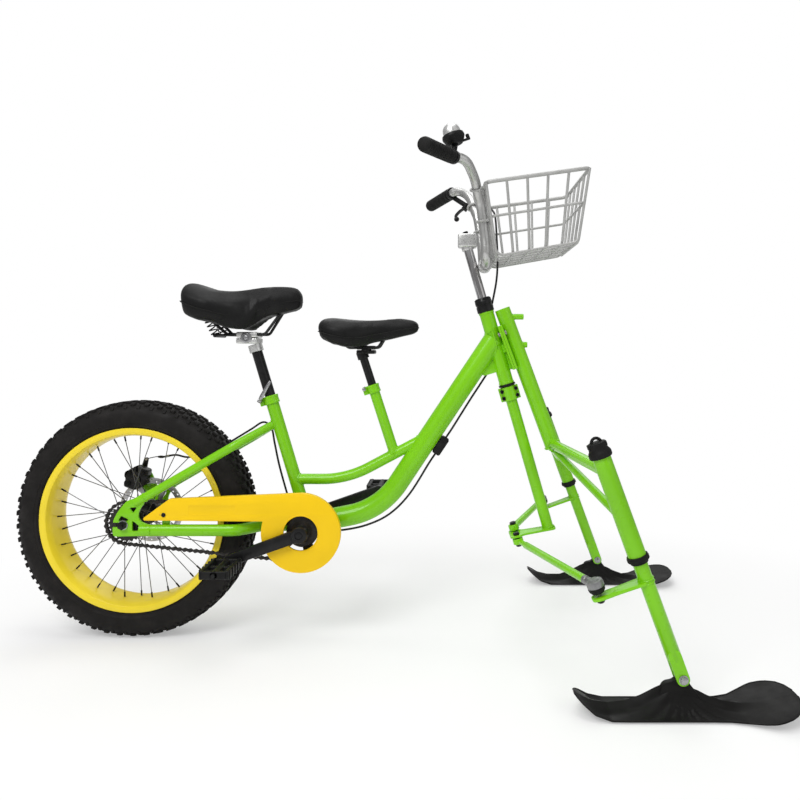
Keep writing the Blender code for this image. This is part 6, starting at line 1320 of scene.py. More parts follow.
def make_tie_rod(side, name):
    """A rod with an eye at the pitman plate, and a ball housing over a rubber boot at the steering arm."""
    inner = rod_pin(side) + COLUMN_UP * (side * 0.012)
    foot = stud_foot(side) - LEG_DOWN * 0.009
    outer = foot - LEG_DOWN * 0.014
    run = (outer - inner).normalized()
    neck = outer - run * 0.042
    reach = (neck - inner).length
    bar = spin_up("bar", [(0.0, 0.01), (0.0064, 0.01), (0.0064, 0.038), (0.008, 0.046),
        (0.008, reach - 0.0008), (0.0072, reach), (0.0, reach)], inner, run, 36)
    bar = dress(bar, "green paint")
    eye = spin_up("eye", ring_profile(0.0048, 0.0125, 0.0065, 0.0008), inner, COLUMN_UP, 40, True)
    bead = weld_bead(inner, run, 0.0064, inner, COLUMN_UP, 0.0125, 0.0008)
    eye = dress(fuse("eye", eye, bead), "green paint")
    up = -LEG_DOWN
    shank = spin_up("shank", [(0.0, 0.0), (0.0074, 0.0), (0.0082, 0.0008), (0.0086, 0.01), (0.0066, 0.0118),
        (0.0066, 0.015), (0.0086, 0.0168), (0.0095, 0.03), (0.0, 0.03)], neck - run * 0.002, run, 32)
    ball = spin_up("ball", [(0.0, 0.028), (0.0082, 0.0278), (0.0102, 0.0268), (0.0102, 0.0262),
        (0.015, 0.0245), (0.0165, 0.0205), (0.0165, 0.013), (0.0155, 0.0115), (0.0, 0.0115)], foot, up, 44)
    cast = dress(fuse("cast", shank, ball), "grey casting")
    boot = spin_up("boot", [(0.009, 0.001), (0.0112, 0.0), (0.0128, 0.0012), (0.0132, 0.003),
        (0.015, 0.0042), (0.016, 0.0064), (0.0158, 0.0082), (0.0166, 0.0096), (0.0162, 0.0122),
        (0.009, 0.0122)], foot, up, 44, True)
    boot = dress(boot, "soft rubber")
    return fuse("snow_bike_" + name + "_tie_rod", bar, eye, cast, boot)


def blended(samples, share):
    """A value between rows of (place, value, ...) at a place, eased between the rows."""
    for low, high in zip(samples, samples[1:]):
        if share <= high[0]:
            t = (share - low[0]) / (high[0] - low[0])
            return [a + (b - a) * t for a, b in zip(low[1:], high[1:])]
    return list(samples[-1][1:])


# Share of the ski's length from the tail, then sole height, half width, edge height and crown height
SKI_ROWS = ((0.0, 0.035, 0.008, 0.0385, 0.0398), (0.012, 0.0312, 0.0205, 0.0345, 0.0365),
    (0.035, 0.023, 0.031, 0.027, 0.03), (0.08, 0.009, 0.041, 0.0135, 0.0215),
    (0.15, 0.0, 0.045, 0.0055, 0.0175), (0.23, 0.0, 0.046, 0.005, 0.021), (0.3, 0.0, 0.046, 0.005, 0.0315),
    (0.37, 0.0, 0.046, 0.005, 0.0465), (0.425, 0.0, 0.046, 0.005, 0.056), (0.47, 0.0, 0.046, 0.005, 0.0495),
    (0.52, 0.0, 0.046, 0.005, 0.046), (0.56, 0.0, 0.046, 0.005, 0.04), (0.6, 0.0, 0.046, 0.005, 0.031),
    (0.67, 0.0, 0.047, 0.005, 0.0205), (0.74, 0.001, 0.054, 0.006, 0.0165),
    (0.8, 0.005, 0.066, 0.0105, 0.0165), (0.84, 0.009, 0.073, 0.0145, 0.018),
    (0.87, 0.013, 0.075, 0.0185, 0.0205), (0.91, 0.0178, 0.0722, 0.0232, 0.025),
    (0.94, 0.0215, 0.0655, 0.027, 0.029), (0.97, 0.0254, 0.053, 0.0308, 0.0325),
    (0.99, 0.0278, 0.035, 0.0332, 0.0345), (1.0, 0.029, 0.013, 0.0345, 0.0352))


def make_ski(side, name, shape):
    """A moulded ski: turned-up tail, flutes that fall from the pylon, and a broad flat shovel."""
    pivot = pivot_point(side)
    tail, length = pivot.x - 0.2035, 0.4185
    rows = 96
    sections, rim = [], []
    for i in range(rows + 1):
        share = i / rows
        sole, half, edge, crown = blended(SKI_ROWS, share)
        x = tail + share * length
        ring = [(x, pivot.y + half * (-1 + j / 8), sole + 0.003 * abs(-1 + j / 8) ** 12) for j in range(17)]
        ring.append((x, pivot.y + half, edge - 0.001))
        open_share = min(1.0, max(0.0, (0.8 - share) / 0.08)) * min(1.0, share / 0.1)
        for j in range(1, 48):
            across = 1 - 2 * j / 48
            bow = abs(across)
            fall = max(0.0, (0.96 - bow) / 0.96)
            drape = fall * (0.42 + 0.58 * fall ** 1.6)
            height = edge + (crown - edge) * (drape * open_share + fall ** 0.85 * (1 - open_share))
            angle = math.atan2(across * half, x - pivot.x)
            fold = shape.flute_depth * (0.5 - 0.5 * math.cos(angle * 18)) ** 2
            fold *= open_share * min(1.0, 5 * (1 - bow)) * min(1.0,
                max(0.0, abs(x - pivot.x) + bow * half - 0.012) / 0.02)
            ring.append((x, pivot.y + half * across, height - fold))
        ring.append((x, pivot.y - half, edge - 0.001))
        sections.append([Vector(point) for point in ring])
        rim.append(Vector((x, pivot.y + half * 0.985, edge - 0.0004)))
    hull = wrap_grid("hull", sections)
    rims = [draw_tube("welt", rim, 0.0013, 2), draw_tube("welt",
        [Vector((p.x, 2 * pivot.y - p.y, p.z)) for p in rim], 0.0013, 2)]
    tongue = centred_bar("tongue", pivot, sideways(0.0075), 0.012, 40, 0.0008)
    web = [(pivot.x - 0.048, 0.03), (pivot.x + 0.04, 0.02), (pivot.x + 0.024, 0.042),
        (pivot.x + 0.014, 0.054), (pivot.x + 0.0116, pivot.z - 0.001), (pivot.x - 0.0116, pivot.z - 0.001),
        (pivot.x - 0.018, 0.059), (pivot.x - 0.034, 0.056)]
    web = side_plate("web", [soft_corners(web, 0.008)], 0.0146, pivot.y, 0.0014)
    for piece in (tongue, web):
        cut(piece, centred_bar("bore", pivot, sideways(0.03), 0.0048, 24))
    return fuse("snow_bike_" + name + "_ski", hull, *rims, tongue, web)


# Steering

def make_steering_column():
    """The column, with the pitman plate welded under it, its pins and their spacers."""
    root, back = PITMAN_ROOT, PITMAN_BACK
    up = Vector((-back.z, 0, back.x)) * -1
    plan = soft_corners([(-0.017, -0.017), (0.02, -0.018), (0.062, -0.02), (0.072, -0.031), (0.095, -0.031),
        (0.095, 0.031), (0.072, 0.031), (0.062, 0.02), (0.02, 0.018), (-0.017, 0.017)], 0.01, 6)
    place = Matrix.Translation(root) @ Matrix((back, (0, -1, 0), up)).transposed().to_4x4()
    column = [spin_up("tube", [(0.0, 0.0), (0.0135, 0.0), (0.0135, 0.565), (0.013, 0.5655),
        (0.0118, 0.5655), (0.0118, 0.49), (0.0, 0.49)], root, COLUMN_UP, 48),
        cut_plate("pitman", [plan], 0.005, place, 0.0008),
        seam("bead", root + COLUMN_UP * 0.0035, COLUMN_UP, 0.0138, 0.0018)]
    dark = []
    for side, _ in SIDES:
        pin, along = rod_pin(side), COLUMN_UP * side
        dark.append(bar_on("pin", pin, along, (-0.006, 0.0248), 0.004, 20, 0.0004))
        dark.append(hex_on("head", pin, along, (0.0188, 0.0248), 0.0078, 0.0006))
        dark.append(hex_on("nut", pin, along, (-0.0025, -0.009), 0.0078, 0.0006))
        dark.append(bar_on("spacer", pin, along, (0.0025, 0.0053), 0.0075, 24, 0.0004))
    column = dress(fuse("column", *column), "green paint")
    dark = dress(fuse("pins", *dark), "black paint")
    return fuse("snow_bike_steering_column", column, dark)


def make_column_clamp():
    """A split clamp with two flanges and four bolts across it."""
    middle = HEAD_FOOT - COLUMN_UP * 0.0236
    ring = [spin_up("ring", ring_profile(0.0139, 0.0178, 0.017, 0.0006), middle, COLUMN_UP, 48, True)]
    turn = pitched(HEAD_LEAN)
    bolts = []
    for way in (-1, 1):
        ears = middle + COLUMN_AHEAD * way * 0.019
        for side in (-1, 1):
            ring.append(add_block("ear", (0.01, 0.0035, 0.033), ears + sideways(side * 0.0042), turn,
                0.001))
        for height in (0.0085, -0.0085):
            place = middle + COLUMN_UP * height + COLUMN_AHEAD * way * 0.0172
            out = sideways(0.014)
            bolts.append(centred_bar("bolt", place, out, 0.0026, 16, 0.0004))
            bolts.append(add_bar("head", place - out, place - out * 0.56, 0.0046, 24, 0.0008))
            bolts.append(hex_on("nut", place, out, (0.56, 0.92), 0.0048, 0.0005))
    ring = dress(fuse("ring", *ring), "green paint")
    return fuse("snow_bike_column_clamp", ring, dress(fuse("bolts", *bolts), "black paint"))


def make_stem():
    """A chrome quill, its head block with the wedge bolt, and the arm to the two-bolt bar clamp."""
    quill = spin_up("quill", [(0.0, 0.13), (0.0108, 0.13), (0.0111, 0.1304), (0.0111, 0.347), (0.0, 0.347)],
        HEAD_FOOT, COLUMN_UP, 48)
    quill = dress(quill, "chrome")
    centre = HEAD_FOOT + COLUMN_UP * 0.3595 + Vector((0.004, 0, 0))
    block = add_block("head", (0.046, 0.036, 0.033), centre, None, 0.005, 4)
    lug = bar_on("lug", HEAD_FOOT, COLUMN_UP, (0.336, 0.348), 0.015, 40, 0.0014)
    clamp = spin_up("clamp", ring_profile(0.0114, 0.0165, 0.017, 0.001), BAR_CLAMP, (0, 1, 0), 48, True)
    high = centre + Vector((0.02, 0, -0.004))
    low = BAR_CLAMP + Vector((-0.01, 0, -0.004))
    arm = soft_corners([(high.x - 0.03, high.z), (high.x, high.z + 0.008),
        (BAR_CLAMP.x + 0.01, BAR_CLAMP.z + 0.006), (low.x, low.z)], 0.004)
    arm = side_plate("arm", [arm], 0.028, 0.0, 0.003)
    bore = centred_bar("bore", BAR_CLAMP, sideways(0.03), 0.0113, 40)
    body = dress(fuse("body", block, lug, clamp, cut(arm, bore)), "clamp silver")
    bolts = []
    for y in (-0.01, 0.01):
        place = BAR_CLAMP + Vector((0.01, y, 0.012))
        way = Vector((0.5, 0, 0.86)).normalized()
        bolts.append(add_bar("bolt", place, place + way * 0.007, 0.0036, 20, 0.0006))
    crown = centre + Vector((-0.004, 0, 0.0165))
    bolts.append(hex_on("wedge_bolt", crown, COLUMN_UP, (0.0, 0.006), 0.0066, 0.0008))
    bolts = dress(fuse("bolts", *bolts), "black paint")
    return fuse("snow_bike_stem", quill, body, bolts)


BAR_LINE = ((0.4259, 0.022, 0.8853), (0.4259, 0.05, 0.8853), (0.425, 0.0735, 0.902),
    (0.4216, 0.075, 0.9478), (0.4131, 0.082, 1.0111), (0.4056, 0.095, 1.0359), (0.3993, 0.11, 1.062),
    (0.3895, 0.13, 1.0818), (0.3788, 0.152, 1.095), (0.3652, 0.163, 1.1015), (0.3515, 0.1705, 1.1008))
GRIP_END = Vector((0.2888, 0.302, 1.0917))


def grip_line(side):
    start, end = Vector(BAR_LINE[-1]), GRIP_END.copy()
    if side < 0:
        start.y, end.y = -start.y, -end.y
    return start, end


def make_handlebar(radius):
    start, end = grip_line(1)
    half = flowing(BAR_LINE, 8) + [end - (end - start).normalized() * 0.004]
    return draw_tube("snow_bike_handlebar", mirrored(half[::-1]) + half, radius, 12)


def make_grip(side, name, steering):
    """A moulded grip: flange, ribbed middle and domed end."""
    start, end = grip_line(side)
    run = (start - end).normalized()
    profile = [(0.0114, 0.125), (0.015, 0.125), (0.016, 0.124), (0.016, 0.1196), (0.0152, 0.1186)]
    count = steering.grip_ribs
    for i in range(count):
        place = 0.115 - 0.106 * i / (count - 1)
        depth = 0.016 if i % 6 else 0.0153
        profile += [(0.015, place + 0.0019), (depth, place + 0.0013), (depth, place - 0.0013),
            (0.015, place - 0.0019)]
    profile += [(0.0156, 0.006), (0.0158, 0.003), (0.0146, -0.001), (0.011, -0.0026), (0.0, -0.003),
        (0.0, 0.0034), (0.0114, 0.0034)]
    return spin_up("snow_bike_" + name + "_grip", profile, end, run, 44)


GRIP_LENGTH = 0.128
RING_OFFSET = 0.008


def bar_place(side):
    """Where the bell or the brake lever is clamped beside a grip, and the way of the bar there."""
    start, end = grip_line(side)
    run = (end - start).normalized()
    return end - run * (GRIP_LENGTH + RING_OFFSET), run


def bar_ring(side):
    place, run = bar_place(side)
    return spin_up("ring", ring_profile(0.0115, 0.0155, 0.006, 0.0008), place, run, 40, True)


BELL_LEAN = math.radians(18)
BELL_CENTRE = Vector((0.354, -0.17, 1.129))
BELL_UP = leaned_back(BELL_LEAN)
BELL_AHEAD = tilted_up(BELL_LEAN)
BELL_PIVOT = BELL_CENTRE + BELL_AHEAD * 0.03 + BELL_UP * 0.01


def make_bell():
    """A polished dome on a black base, clamped to the bar, with the thumb lever's ear and pin."""
    dome = spin_up("dome", [(0.0, 0.0496), (0.0028, 0.0494), (0.0032, 0.0488), (0.0078, 0.0474),
        (0.013, 0.0442), (0.0172, 0.0394), (0.0192, 0.034), (0.02, 0.0285), (0.02, 0.0246), (0.0207, 0.024),
        (0.0205, 0.0228), (0.0, 0.0228)], BELL_CENTRE, BELL_UP, 56)
    dome = dress(dome, "clamp silver")
    base = spin_up("base", [(0.0, 0.024), (0.0222, 0.024), (0.0236, 0.023), (0.025, 0.0185), (0.025, 0.015),
        (0.0236, 0.012), (0.02, 0.005), (0.016, 0.0), (0.0, 0.0)], BELL_CENTRE, BELL_UP, 56)
    place, _ = bar_place(-1)
    run = (BELL_CENTRE - place).normalized()
    neck = add_bar("neck", place + run * 0.013, BELL_CENTRE + BELL_UP * 0.003, 0.006, 24, 0.0006)
    foot = BELL_PIVOT - BELL_UP * 0.0063
    ear = add_block("ear", (0.022, 0.008, 0.004), foot - BELL_AHEAD * 0.007, pitched(BELL_LEAN), 0.001)
    body = dress(fuse("body", base, neck, bar_ring(-1), ear), "black plastic")
    pin = dress(add_bar("pin", foot, BELL_PIVOT + BELL_UP * 0.0055, 0.0018, 16, 0.0004), "bright steel")
    return fuse("snow_bike_bell", dome, body, pin)


def make_bell_lever():
    hub = spin_up("hub", ring_profile(0.002, 0.004, 0.004, 0.0004), BELL_PIVOT, BELL_UP, 28, True)
    tip = BELL_PIVOT + sideways(0.018) + BELL_AHEAD * 0.003
    start = BELL_PIVOT + sideways(0.0032)
    blade = draw_tube("blade", [start, start.lerp(tip, 0.5) + BELL_AHEAD * 0.0006, tip], 0.0028, 6)
    pad = add_block("pad", (0.005, 0.008, 0.007), tip, pitched(BELL_LEAN), 0.0018)
    return fuse("snow_bike_bell_lever", hub, blade, pad)


LEVER_PIVOT = Vector((0.386, 0.17, 1.061))
LEVER_WAY = Vector((-0.2, 1.0, 0.0)).normalized()
LEVER_AXIS = Vector((1.0, 0.0, 1.0)).normalized()
LEVER_LINE = ((0.379, 0.195, 1.062), (0.369, 0.225, 1.06), (0.3603, 0.25, 1.0537), (0.3625, 0.27, 1.0485))
FRONT_CABLE = ((0.392, 0.15, 1.062), (0.41, 0.128, 1.064), (0.419, 0.102, 1.066), (0.432, 0.075, 1.054),
    (0.4472, 0.055, 1.032), (0.4546, 0.042, 1.012), (0.4575, 0.028, 0.956), (0.459, 0.0215, 0.9),
    (0.456, 0.0225, 0.85), (0.446, 0.027, 0.795))


def make_lever_perch():
    """A clamp on the bar, with a body below it that forks round the lever, and the cable's adjuster."""
    place, run = bar_place(1)
    spine = LEVER_PIVOT - LEVER_WAY * 0.014
    out = spine - place
    out = (out - run * out.dot(run)).normalized()
    turn = Matrix.Rotation(math.radians(45), 4, "Y")
    body = add_bar("body", place + out * 0.013, spine, 0.0065, 28, 0.0006)
    barrel_end = Vector(FRONT_CABLE[0]) + LEVER_WAY * 0.003
    way = (barrel_end - spine).normalized()
    barrel = add_bar("barrel", spine, barrel_end, 0.0052, 24, 0.0008)
    knurl = repeated(add_bar("knurl", barrel_end - way * 0.005 + way.orthogonal().normalized() * 0.0052,
        barrel_end - way * 0.0008 + way.orthogonal().normalized() * 0.0052, 0.0007, 8), 12, barrel_end, way)
    back = add_block("back", (0.014, 0.008, 0.0176), spine, turn, 0.002)
    cheeks = centred_bar("cheeks", LEVER_PIVOT, LEVER_AXIS * 0.0088, 0.0085, 36, 0.0008)
    bridge = add_block("bridge", (0.013, 0.014, 0.0172), LEVER_PIVOT - LEVER_WAY * 0.007, turn, 0.001)
    fork = [cut(piece, centred_bar("slot", LEVER_PIVOT, LEVER_AXIS * 0.0058, 0.0094,
        36)) for piece in (cheeks, bridge)]
    pin = centred_bar("pin", LEVER_PIVOT, LEVER_AXIS * 0.0094, 0.0026, 16, 0.0005)
    return fuse("snow_bike_brake_lever_perch", bar_ring(1), body, barrel, knurl, back, *fork, pin)


def make_brake_lever():
    """A blade that thins towards its ball end."""
    hub = centred_bar("hub", LEVER_PIVOT, LEVER_AXIS * 0.005, 0.008, 36, 0.0008)
    blade = draw_tube("blade", flowing((LEVER_PIVOT,) + LEVER_LINE, 8), 0.0043, 6)
    pick()
    bpy.ops.mesh.primitive_uv_sphere_add(segments=24, ring_count=16, radius=0.0072, location=LEVER_LINE[-1])
    return fuse("snow_bike_brake_lever", hub, blade, settle(bpy.context.object))


def make_cable(name, points, ferrule=None):
    """A cable's outer casing, with a metal ferrule at a share of its way."""
    line = flowing(points, 6)
    cable = dress(draw_tube("casing", line, 0.0025, 5), "cable housing")
    if ferrule is None:
        cable.name = name
        return cable
    i = min(int(ferrule * (len(line) - 1)), len(line) - 2)
    half = (line[i + 1] - line[i]).normalized() * 0.005
    sleeve = dress(centred_bar("ferrule", line[i], half, 0.0031, 20, 0.0005), "bright steel")
    return fuse(name, cable, sleeve)


# Basket

# Basket walls: place along the bike at the foot and the rim, then height at the foot and the rim
BASKET_REAR = ((0.447, 0.4205), (0.893, 1.0525))
BASKET_FRONT = ((0.63, 0.65), (0.925, 1.084))
BASKET_DEPTH = 0.1595


def basket_point(along, across, height):
    """A point of the tapered basket: shares of the way forward, across and up."""
    rear, front = [[low + (high - low) * height for low, high in wall] for wall in (BASKET_REAR,
        BASKET_FRONT)]
    half = 0.12 + 0.03 * height
    return Vector((rear[0] + (front[0] - rear[0]) * along, half * (2 * across - 1),
        rear[1] + (front[1] - rear[1]) * along))


def make_basket(steering):
    """Welded wires: bent uprights that run under the floor, hoops, a thick rim and hooks round the bar."""
    wire, rim = steering.basket_wire, steering.basket_rim
    pieces = []
    shares = [i / 5 for i in range(6)]
    for near, far in [((s, 0), (s, 1)) for s in shares] + [((0, s), (1, s)) for s in shares]:
        line = [basket_point(*end, height) for end, height in ((near, 1), (near, 0), (far, 0), (far, 1))]
        pieces.append(draw_tube("wire", bent(line, 0.016, 5), wire, 3))
    for height, radius, corner in ((1.0, rim, 0.014), (0.54, wire, 0.012)):
        square = [basket_point(i, j, height) for i,
            j in ((0, 0.5), (0, 0), (1, 0), (1, 1), (0, 1), (0, 0.5))]
        pieces.append(draw_tube("hoop", bent(square, corner, 6)[:-1], radius, 5, True))
    line = flowing(BAR_LINE, 8)
    for height in (0.9791, 1.048):
        for before, after in zip(line, line[1:]):
            if before.z <= height < after.z:
                place = before.lerp(after, (height - before.z) / (after.z - before.z))
                way = (after - before).normalized()
        for side in (-1, 1):
            centre = Vector((place.x, side * place.y, place.z))
            run = Vector((way.x, side * way.y, way.z))
            pieces.append(spin_up("hook", arc((0.0142, 0.0), wire, 10), centre, run, 32, True))
            wall = basket_point(0, 0.5 + side * 0.5 * (place.y + 0.016) / 0.14,
                (height - BASKET_REAR[1][0]) / BASKET_DEPTH)
            pieces.append(draw_tube("tail", [centre + Vector((0.008, side * 0.012, 0)),
                wall + sideways(side * 0.004)], wire, 3))
    return fuse("snow_bike_basket", *pieces)


# Seats

def make_seatpost(name, top, up, shown, inserted, radius):
    """A plain post with turned ends."""
    foot = -inserted
    profile = [(0.0, foot), (radius - 0.0008, foot), (radius, foot + 0.0008), (radius, shown - 0.0008),
        (radius - 0.0008, shown), (0.0, shown)]
    return spin_up(name, profile, top, up, 48)


def make_collar(name, top, up, lean, inner, head):
    """A split clamp ring with two ears behind it, a stepped bolt or skewer and its nut."""
    outer = inner + 0.003
    ring = spin_up("ring", [(inner, 0.006), (outer - 0.0008, 0.006), (outer, 0.0052), (outer, 0.001),
        (outer - 0.0006, 0.0004), (outer - 0.0006, -0.0086), (outer, -0.0092), (outer, -0.0132),
        (outer - 0.0008, -0.014), (inner, -0.014)], top, up, 56, True)
    back = -tilted_up(lean)
    turn = pitched(lean)
    centre = top - up * 0.004 + back * (outer + 0.004)
    ears = [add_block("ear", (0.0106, 0.0058, 0.019), centre + sideways(y), turn, 0.0014) for y in (-0.0041,
        0.0041)]
    ring = dress(fuse("ring", ring, *ears), "green paint")
    pin = top + up * 0.0012 + back * (outer + 0.0055)
    metal = [add_bar("pin", pin - sideways(0.005), pin + sideways(0.014), 0.003, 24, 0.0004)]
    nut = spin_up("nut", [(0.0, 0.007), (0.0046, 0.007), (0.0056, 0.0076), (0.0056, 0.012),
        (0.0048, 0.0136), (0.0, 0.014)], pin, (0, 1, 0), 32)
    if head:
        metal.append(hex_on("head", pin, sideways(1), (-0.007, -0.012), 0.0048, 0.0006))
    return fuse(name, ring, dress(fuse("metal", *metal), "bright steel"), dress(nut, "black paint"))


RELEASE_WAY = Vector((0.0266, 0.0, 0.0485)).normalized()


def make_quick_release():
    """A cam and a broad blade that lies along the post."""
    pivot = joint_place("quick_release_turn") - MODEL_SHIFT
    across = Vector((RELEASE_WAY.z, 0, -RELEASE_WAY.x))
    cam = centred_bar("cam", pivot, across * 0.0048, 0.0058, 40, 0.0008)
    screw = centred_bar("screw", pivot, across * 0.0052, 0.002, 16, 0.0003)
    out = sideways(-1)
    line = flowing([pivot + out * 0.003, pivot + RELEASE_WAY * 0.008 + out * 0.0062,
        pivot + RELEASE_WAY * 0.026 + out * 0.0074, pivot + RELEASE_WAY * 0.054 + out * 0.0074], 10)
    sections = []
    for i, place in enumerate(line):
        share = i / (len(line) - 1)
        wide = 0.0036 + 0.0012 * math.sin(math.pi * min(1.0,
            share * 1.1)) + (0.0 if share < 0.94 else -0.0016 * (share - 0.94) / 0.06)
        thick = 0.0024 if share < 0.94 else 0.0024 - 0.001 * (share - 0.94) / 0.06
        sections.append([place + across * wide * c + out * (thick * s) for c, s in arc((0, 0), 1.0, 20)])
    blade = wrap_grid("blade", sections)
    return fuse("snow_bike_quick_release_lever", cam, screw, blade)


# Saddle stations: place along the bike, half width, crown height, skirt height, hollow under the middle
REAR_SADDLE = ((-0.283, 0.076, 0.84, 0.772, 0.004), (-0.274, 0.09, 0.8425, 0.762, 0.008),
    (-0.245, 0.101, 0.8335, 0.751, 0.012), (-0.212, 0.1, 0.8235, 0.743, 0.012),
    (-0.172, 0.08, 0.8215, 0.729, 0.013), (-0.135, 0.054, 0.827, 0.727, 0.014),
    (-0.095, 0.036, 0.8345, 0.754, 0.006), (-0.055, 0.028, 0.8385, 0.77, 0.002),
    (-0.028, 0.024, 0.835, 0.778, 0.002), (-0.0145, 0.017, 0.82, 0.787, 0.002))
CHILD_SADDLE = ((0.03, 0.05, 0.75, 0.713, 0.004), (0.042, 0.068, 0.758, 0.703, 0.007),
    (0.068, 0.081, 0.757, 0.693, 0.009), (0.102, 0.078, 0.7535, 0.686, 0.012),
    (0.135, 0.06, 0.7515, 0.689, 0.01), (0.165, 0.042, 0.752, 0.699, 0.005),
    (0.2, 0.032, 0.7545, 0.708, 0.003), (0.235, 0.027, 0.7575, 0.717, 0.002),
    (0.258, 0.023, 0.756, 0.722, 0.002), (0.269, 0.016, 0.748, 0.729, 0.002))
REAR_RAIL = ((-0.25, 0.036, 0.775), (-0.19, 0.022, 0.719), (-0.1, 0.022, 0.719), (-0.06, 0.01, 0.778))
RAIL_RADIUS = 0.0035
CHILD_RAIL = ((0.06, 0.028, 0.718), (0.1, 0.017, 0.687), (0.17, 0.017, 0.687), (0.19, 0.01, 0.72))


# Kind, saddle, rail, then the tube's top, way up and lean, then the post's length above and in the tube,
# its radius and the collar's gap round it, then the clamp's centre, size and finish
SEAT_KINDS = (("rear", REAR_SADDLE, REAR_RAIL, (SEAT_TOP, SEAT_UP, SEAT_LEAN),
    (0.133, 0.14, 0.0127, 0.0026), ((-0.143, 0.0, 0.711), (0.05, 0.056, 0.028), "clamp silver")),
    ("child", CHILD_SADDLE, CHILD_RAIL, (CHILD_TOP, CHILD_UP, CHILD_LEAN), (0.088, 0.08, 0.01, 0.0028),
    ((0.14, 0.0, 0.682), (0.044, 0.044, 0.02), "black paint")))


def saddle_row(rows, share):
    """The saddle's place, half width, crown and belly at a share of the way from its tail."""
    at = share * (len(rows) - 1)
    i = min(int(at), len(rows) - 2)
    t = at - i
    before, low, high, after = rows[max(i - 1, 0)], rows[i], rows[i + 1], rows[min(i + 2, len(rows) - 1)]
    return [0.5 * (2 * b + (c - a) * t + (2 * a - 5 * b + 4 * c - d) * t ** 2 + (3 * b - a - 3 * c + d)
        * t ** 3) for a, b, c, d in zip(before, low, high, after)]


# Share of the half width, then share of the depth below the crown or of the hollow above the belly
SADDLE_SKIRT = ((0.3, 0.015), (0.48, 0.05), (0.66, 0.11), (0.82, 0.2), (0.94, 0.31), (1.0, 0.44),
    (0.995, 0.58), (0.97, 0.72), (0.93, 0.86), (0.87, 0.97))
SADDLE_BELLY = ((0.82, 0.0), (0.74, 0.25), (0.52, 1.0), (0.25, 1.0), (0.0, 1.0))


def saddle_ring(x, half, crown, belly, hollow, dip):
    """One section of a saddle: crown, broadest edge, deep skirt and the hollow under the middle."""
    depth = crown - belly
    side = [(0.0, crown - dip), (0.14 * half, crown - dip * 0.7)]
    side += [(wide * half, crown - deep * depth) for wide, deep in SADDLE_SKIRT]
    side += [(wide * half, belly + high * hollow) for wide, high in SADDLE_BELLY]
    ring = side + [(-y, z) for y, z in side[-2:0:-1]]
    return [Vector((x, y, z)) for y, z in ring]


def swollen(pad, seats):
    """Swells a closed pad with cloth pressure, with no point moved further than the limit."""
    rest = [vertex.co.copy() for vertex in pad.data.vertices]
    step = pad.modifiers.new("Swell", "CLOTH")
    step.settings.use_pressure = True
    step.settings.uniform_pressure_force = seats.padding_pressure
    step.settings.effector_weights.gravity = 0
    step.settings.quality = 5
    step.point_cache.frame_end = 20
    scene = bpy.context.scene
    for number in range(1, 21):
        scene.frame_set(number)
    pick(pad)
    bpy.ops.object.modifier_apply(modifier=step.name)
    for vertex, start in zip(pad.data.vertices, rest):
        move = vertex.co - start
        if move.length > seats.swell_limit:
            vertex.co = start + move.normalized() * seats.swell_limit
    scene.frame_set(1)
    return pad


def make_saddle(rows, seats):
    """A padded vinyl cover, with the seam round its skirt."""
    count = 52
    shrink = 0.0016
    sections, welt = [], []
    for i in range(count + 1):
        share = i / count
        x, half, crown, belly, hollow = saddle_row(rows, share)
        dip = 0.003 * math.sin(math.pi * min(1.0, max(0.0, (share - 0.08) / 0.8)))
        sections.append(saddle_ring(x, half - shrink, crown - shrink, belly + 0.0006, hollow, dip))
        welt.append(Vector((x, 0.992 * half, crown - 0.64 * (crown - belly))))
    pad = wrap_grid("pad", sections)
    with_step(pad, "REMESH", mode="VOXEL", voxel_size=0.0045, use_smooth_shade=True)
    swollen(pad, seats)
    with_step(pad, "SMOOTH", factor=0.5, iterations=2)
    with_step(pad, "SUBSURF", levels=1, render_levels=1)
    dress(pad, "saddle vinyl")
    welt = welt[2:-2]
    loop = welt + mirrored(welt[::-1])
    return pad, dress(draw_tube("piping", loop, seats.piping * 0.6, 3, True), "soft rubber")


def saddle_rails(rail):
    path = bent(rail, 0.012, 6)
    return [draw_tube("rail", line, RAIL_RADIUS, 6) for line in (path, mirrored(path))]


def saddle_springs(kind):
    """The adult saddle's two tail springs with their cross bar, or nothing."""
    if kind != "rear":
        return []
    coils = []
    for side in (-1, 1):
        foot, top = Vector((-0.215, side * 0.03, 0.718)), Vector((-0.235, side * 0.042, 0.764))
        coils.append(coil_spring(foot, top, 0.0088, 0.0016, 5))
        coils.append(draw_tube("strut", [foot + Vector((0.04, -side * 0.008, -0.001)), foot], 0.0026, 4))
    return coils + [add_bar("cross_bar", (-0.215, -0.038, 0.716), (-0.215, 0.038, 0.716), 0.0045, 20,
        0.0008)]


def coil_spring(foot, top, radius, wire, turns):
    """A compression spring between two places."""
    foot, top = Vector(foot), Vector(top)
    run = (top - foot).normalized()
    side = run.orthogonal().normalized()
    other = run.cross(side)
    points = []
    for i in range(turns * 14 + 1):
        angle = 2 * math.pi * i / 14
        points.append(foot.lerp(top, i / (turns * 14)) + side * radius * math.cos(angle) + other * radius
            * math.sin(angle))
    return draw_tube("spring", points, wire, 2)


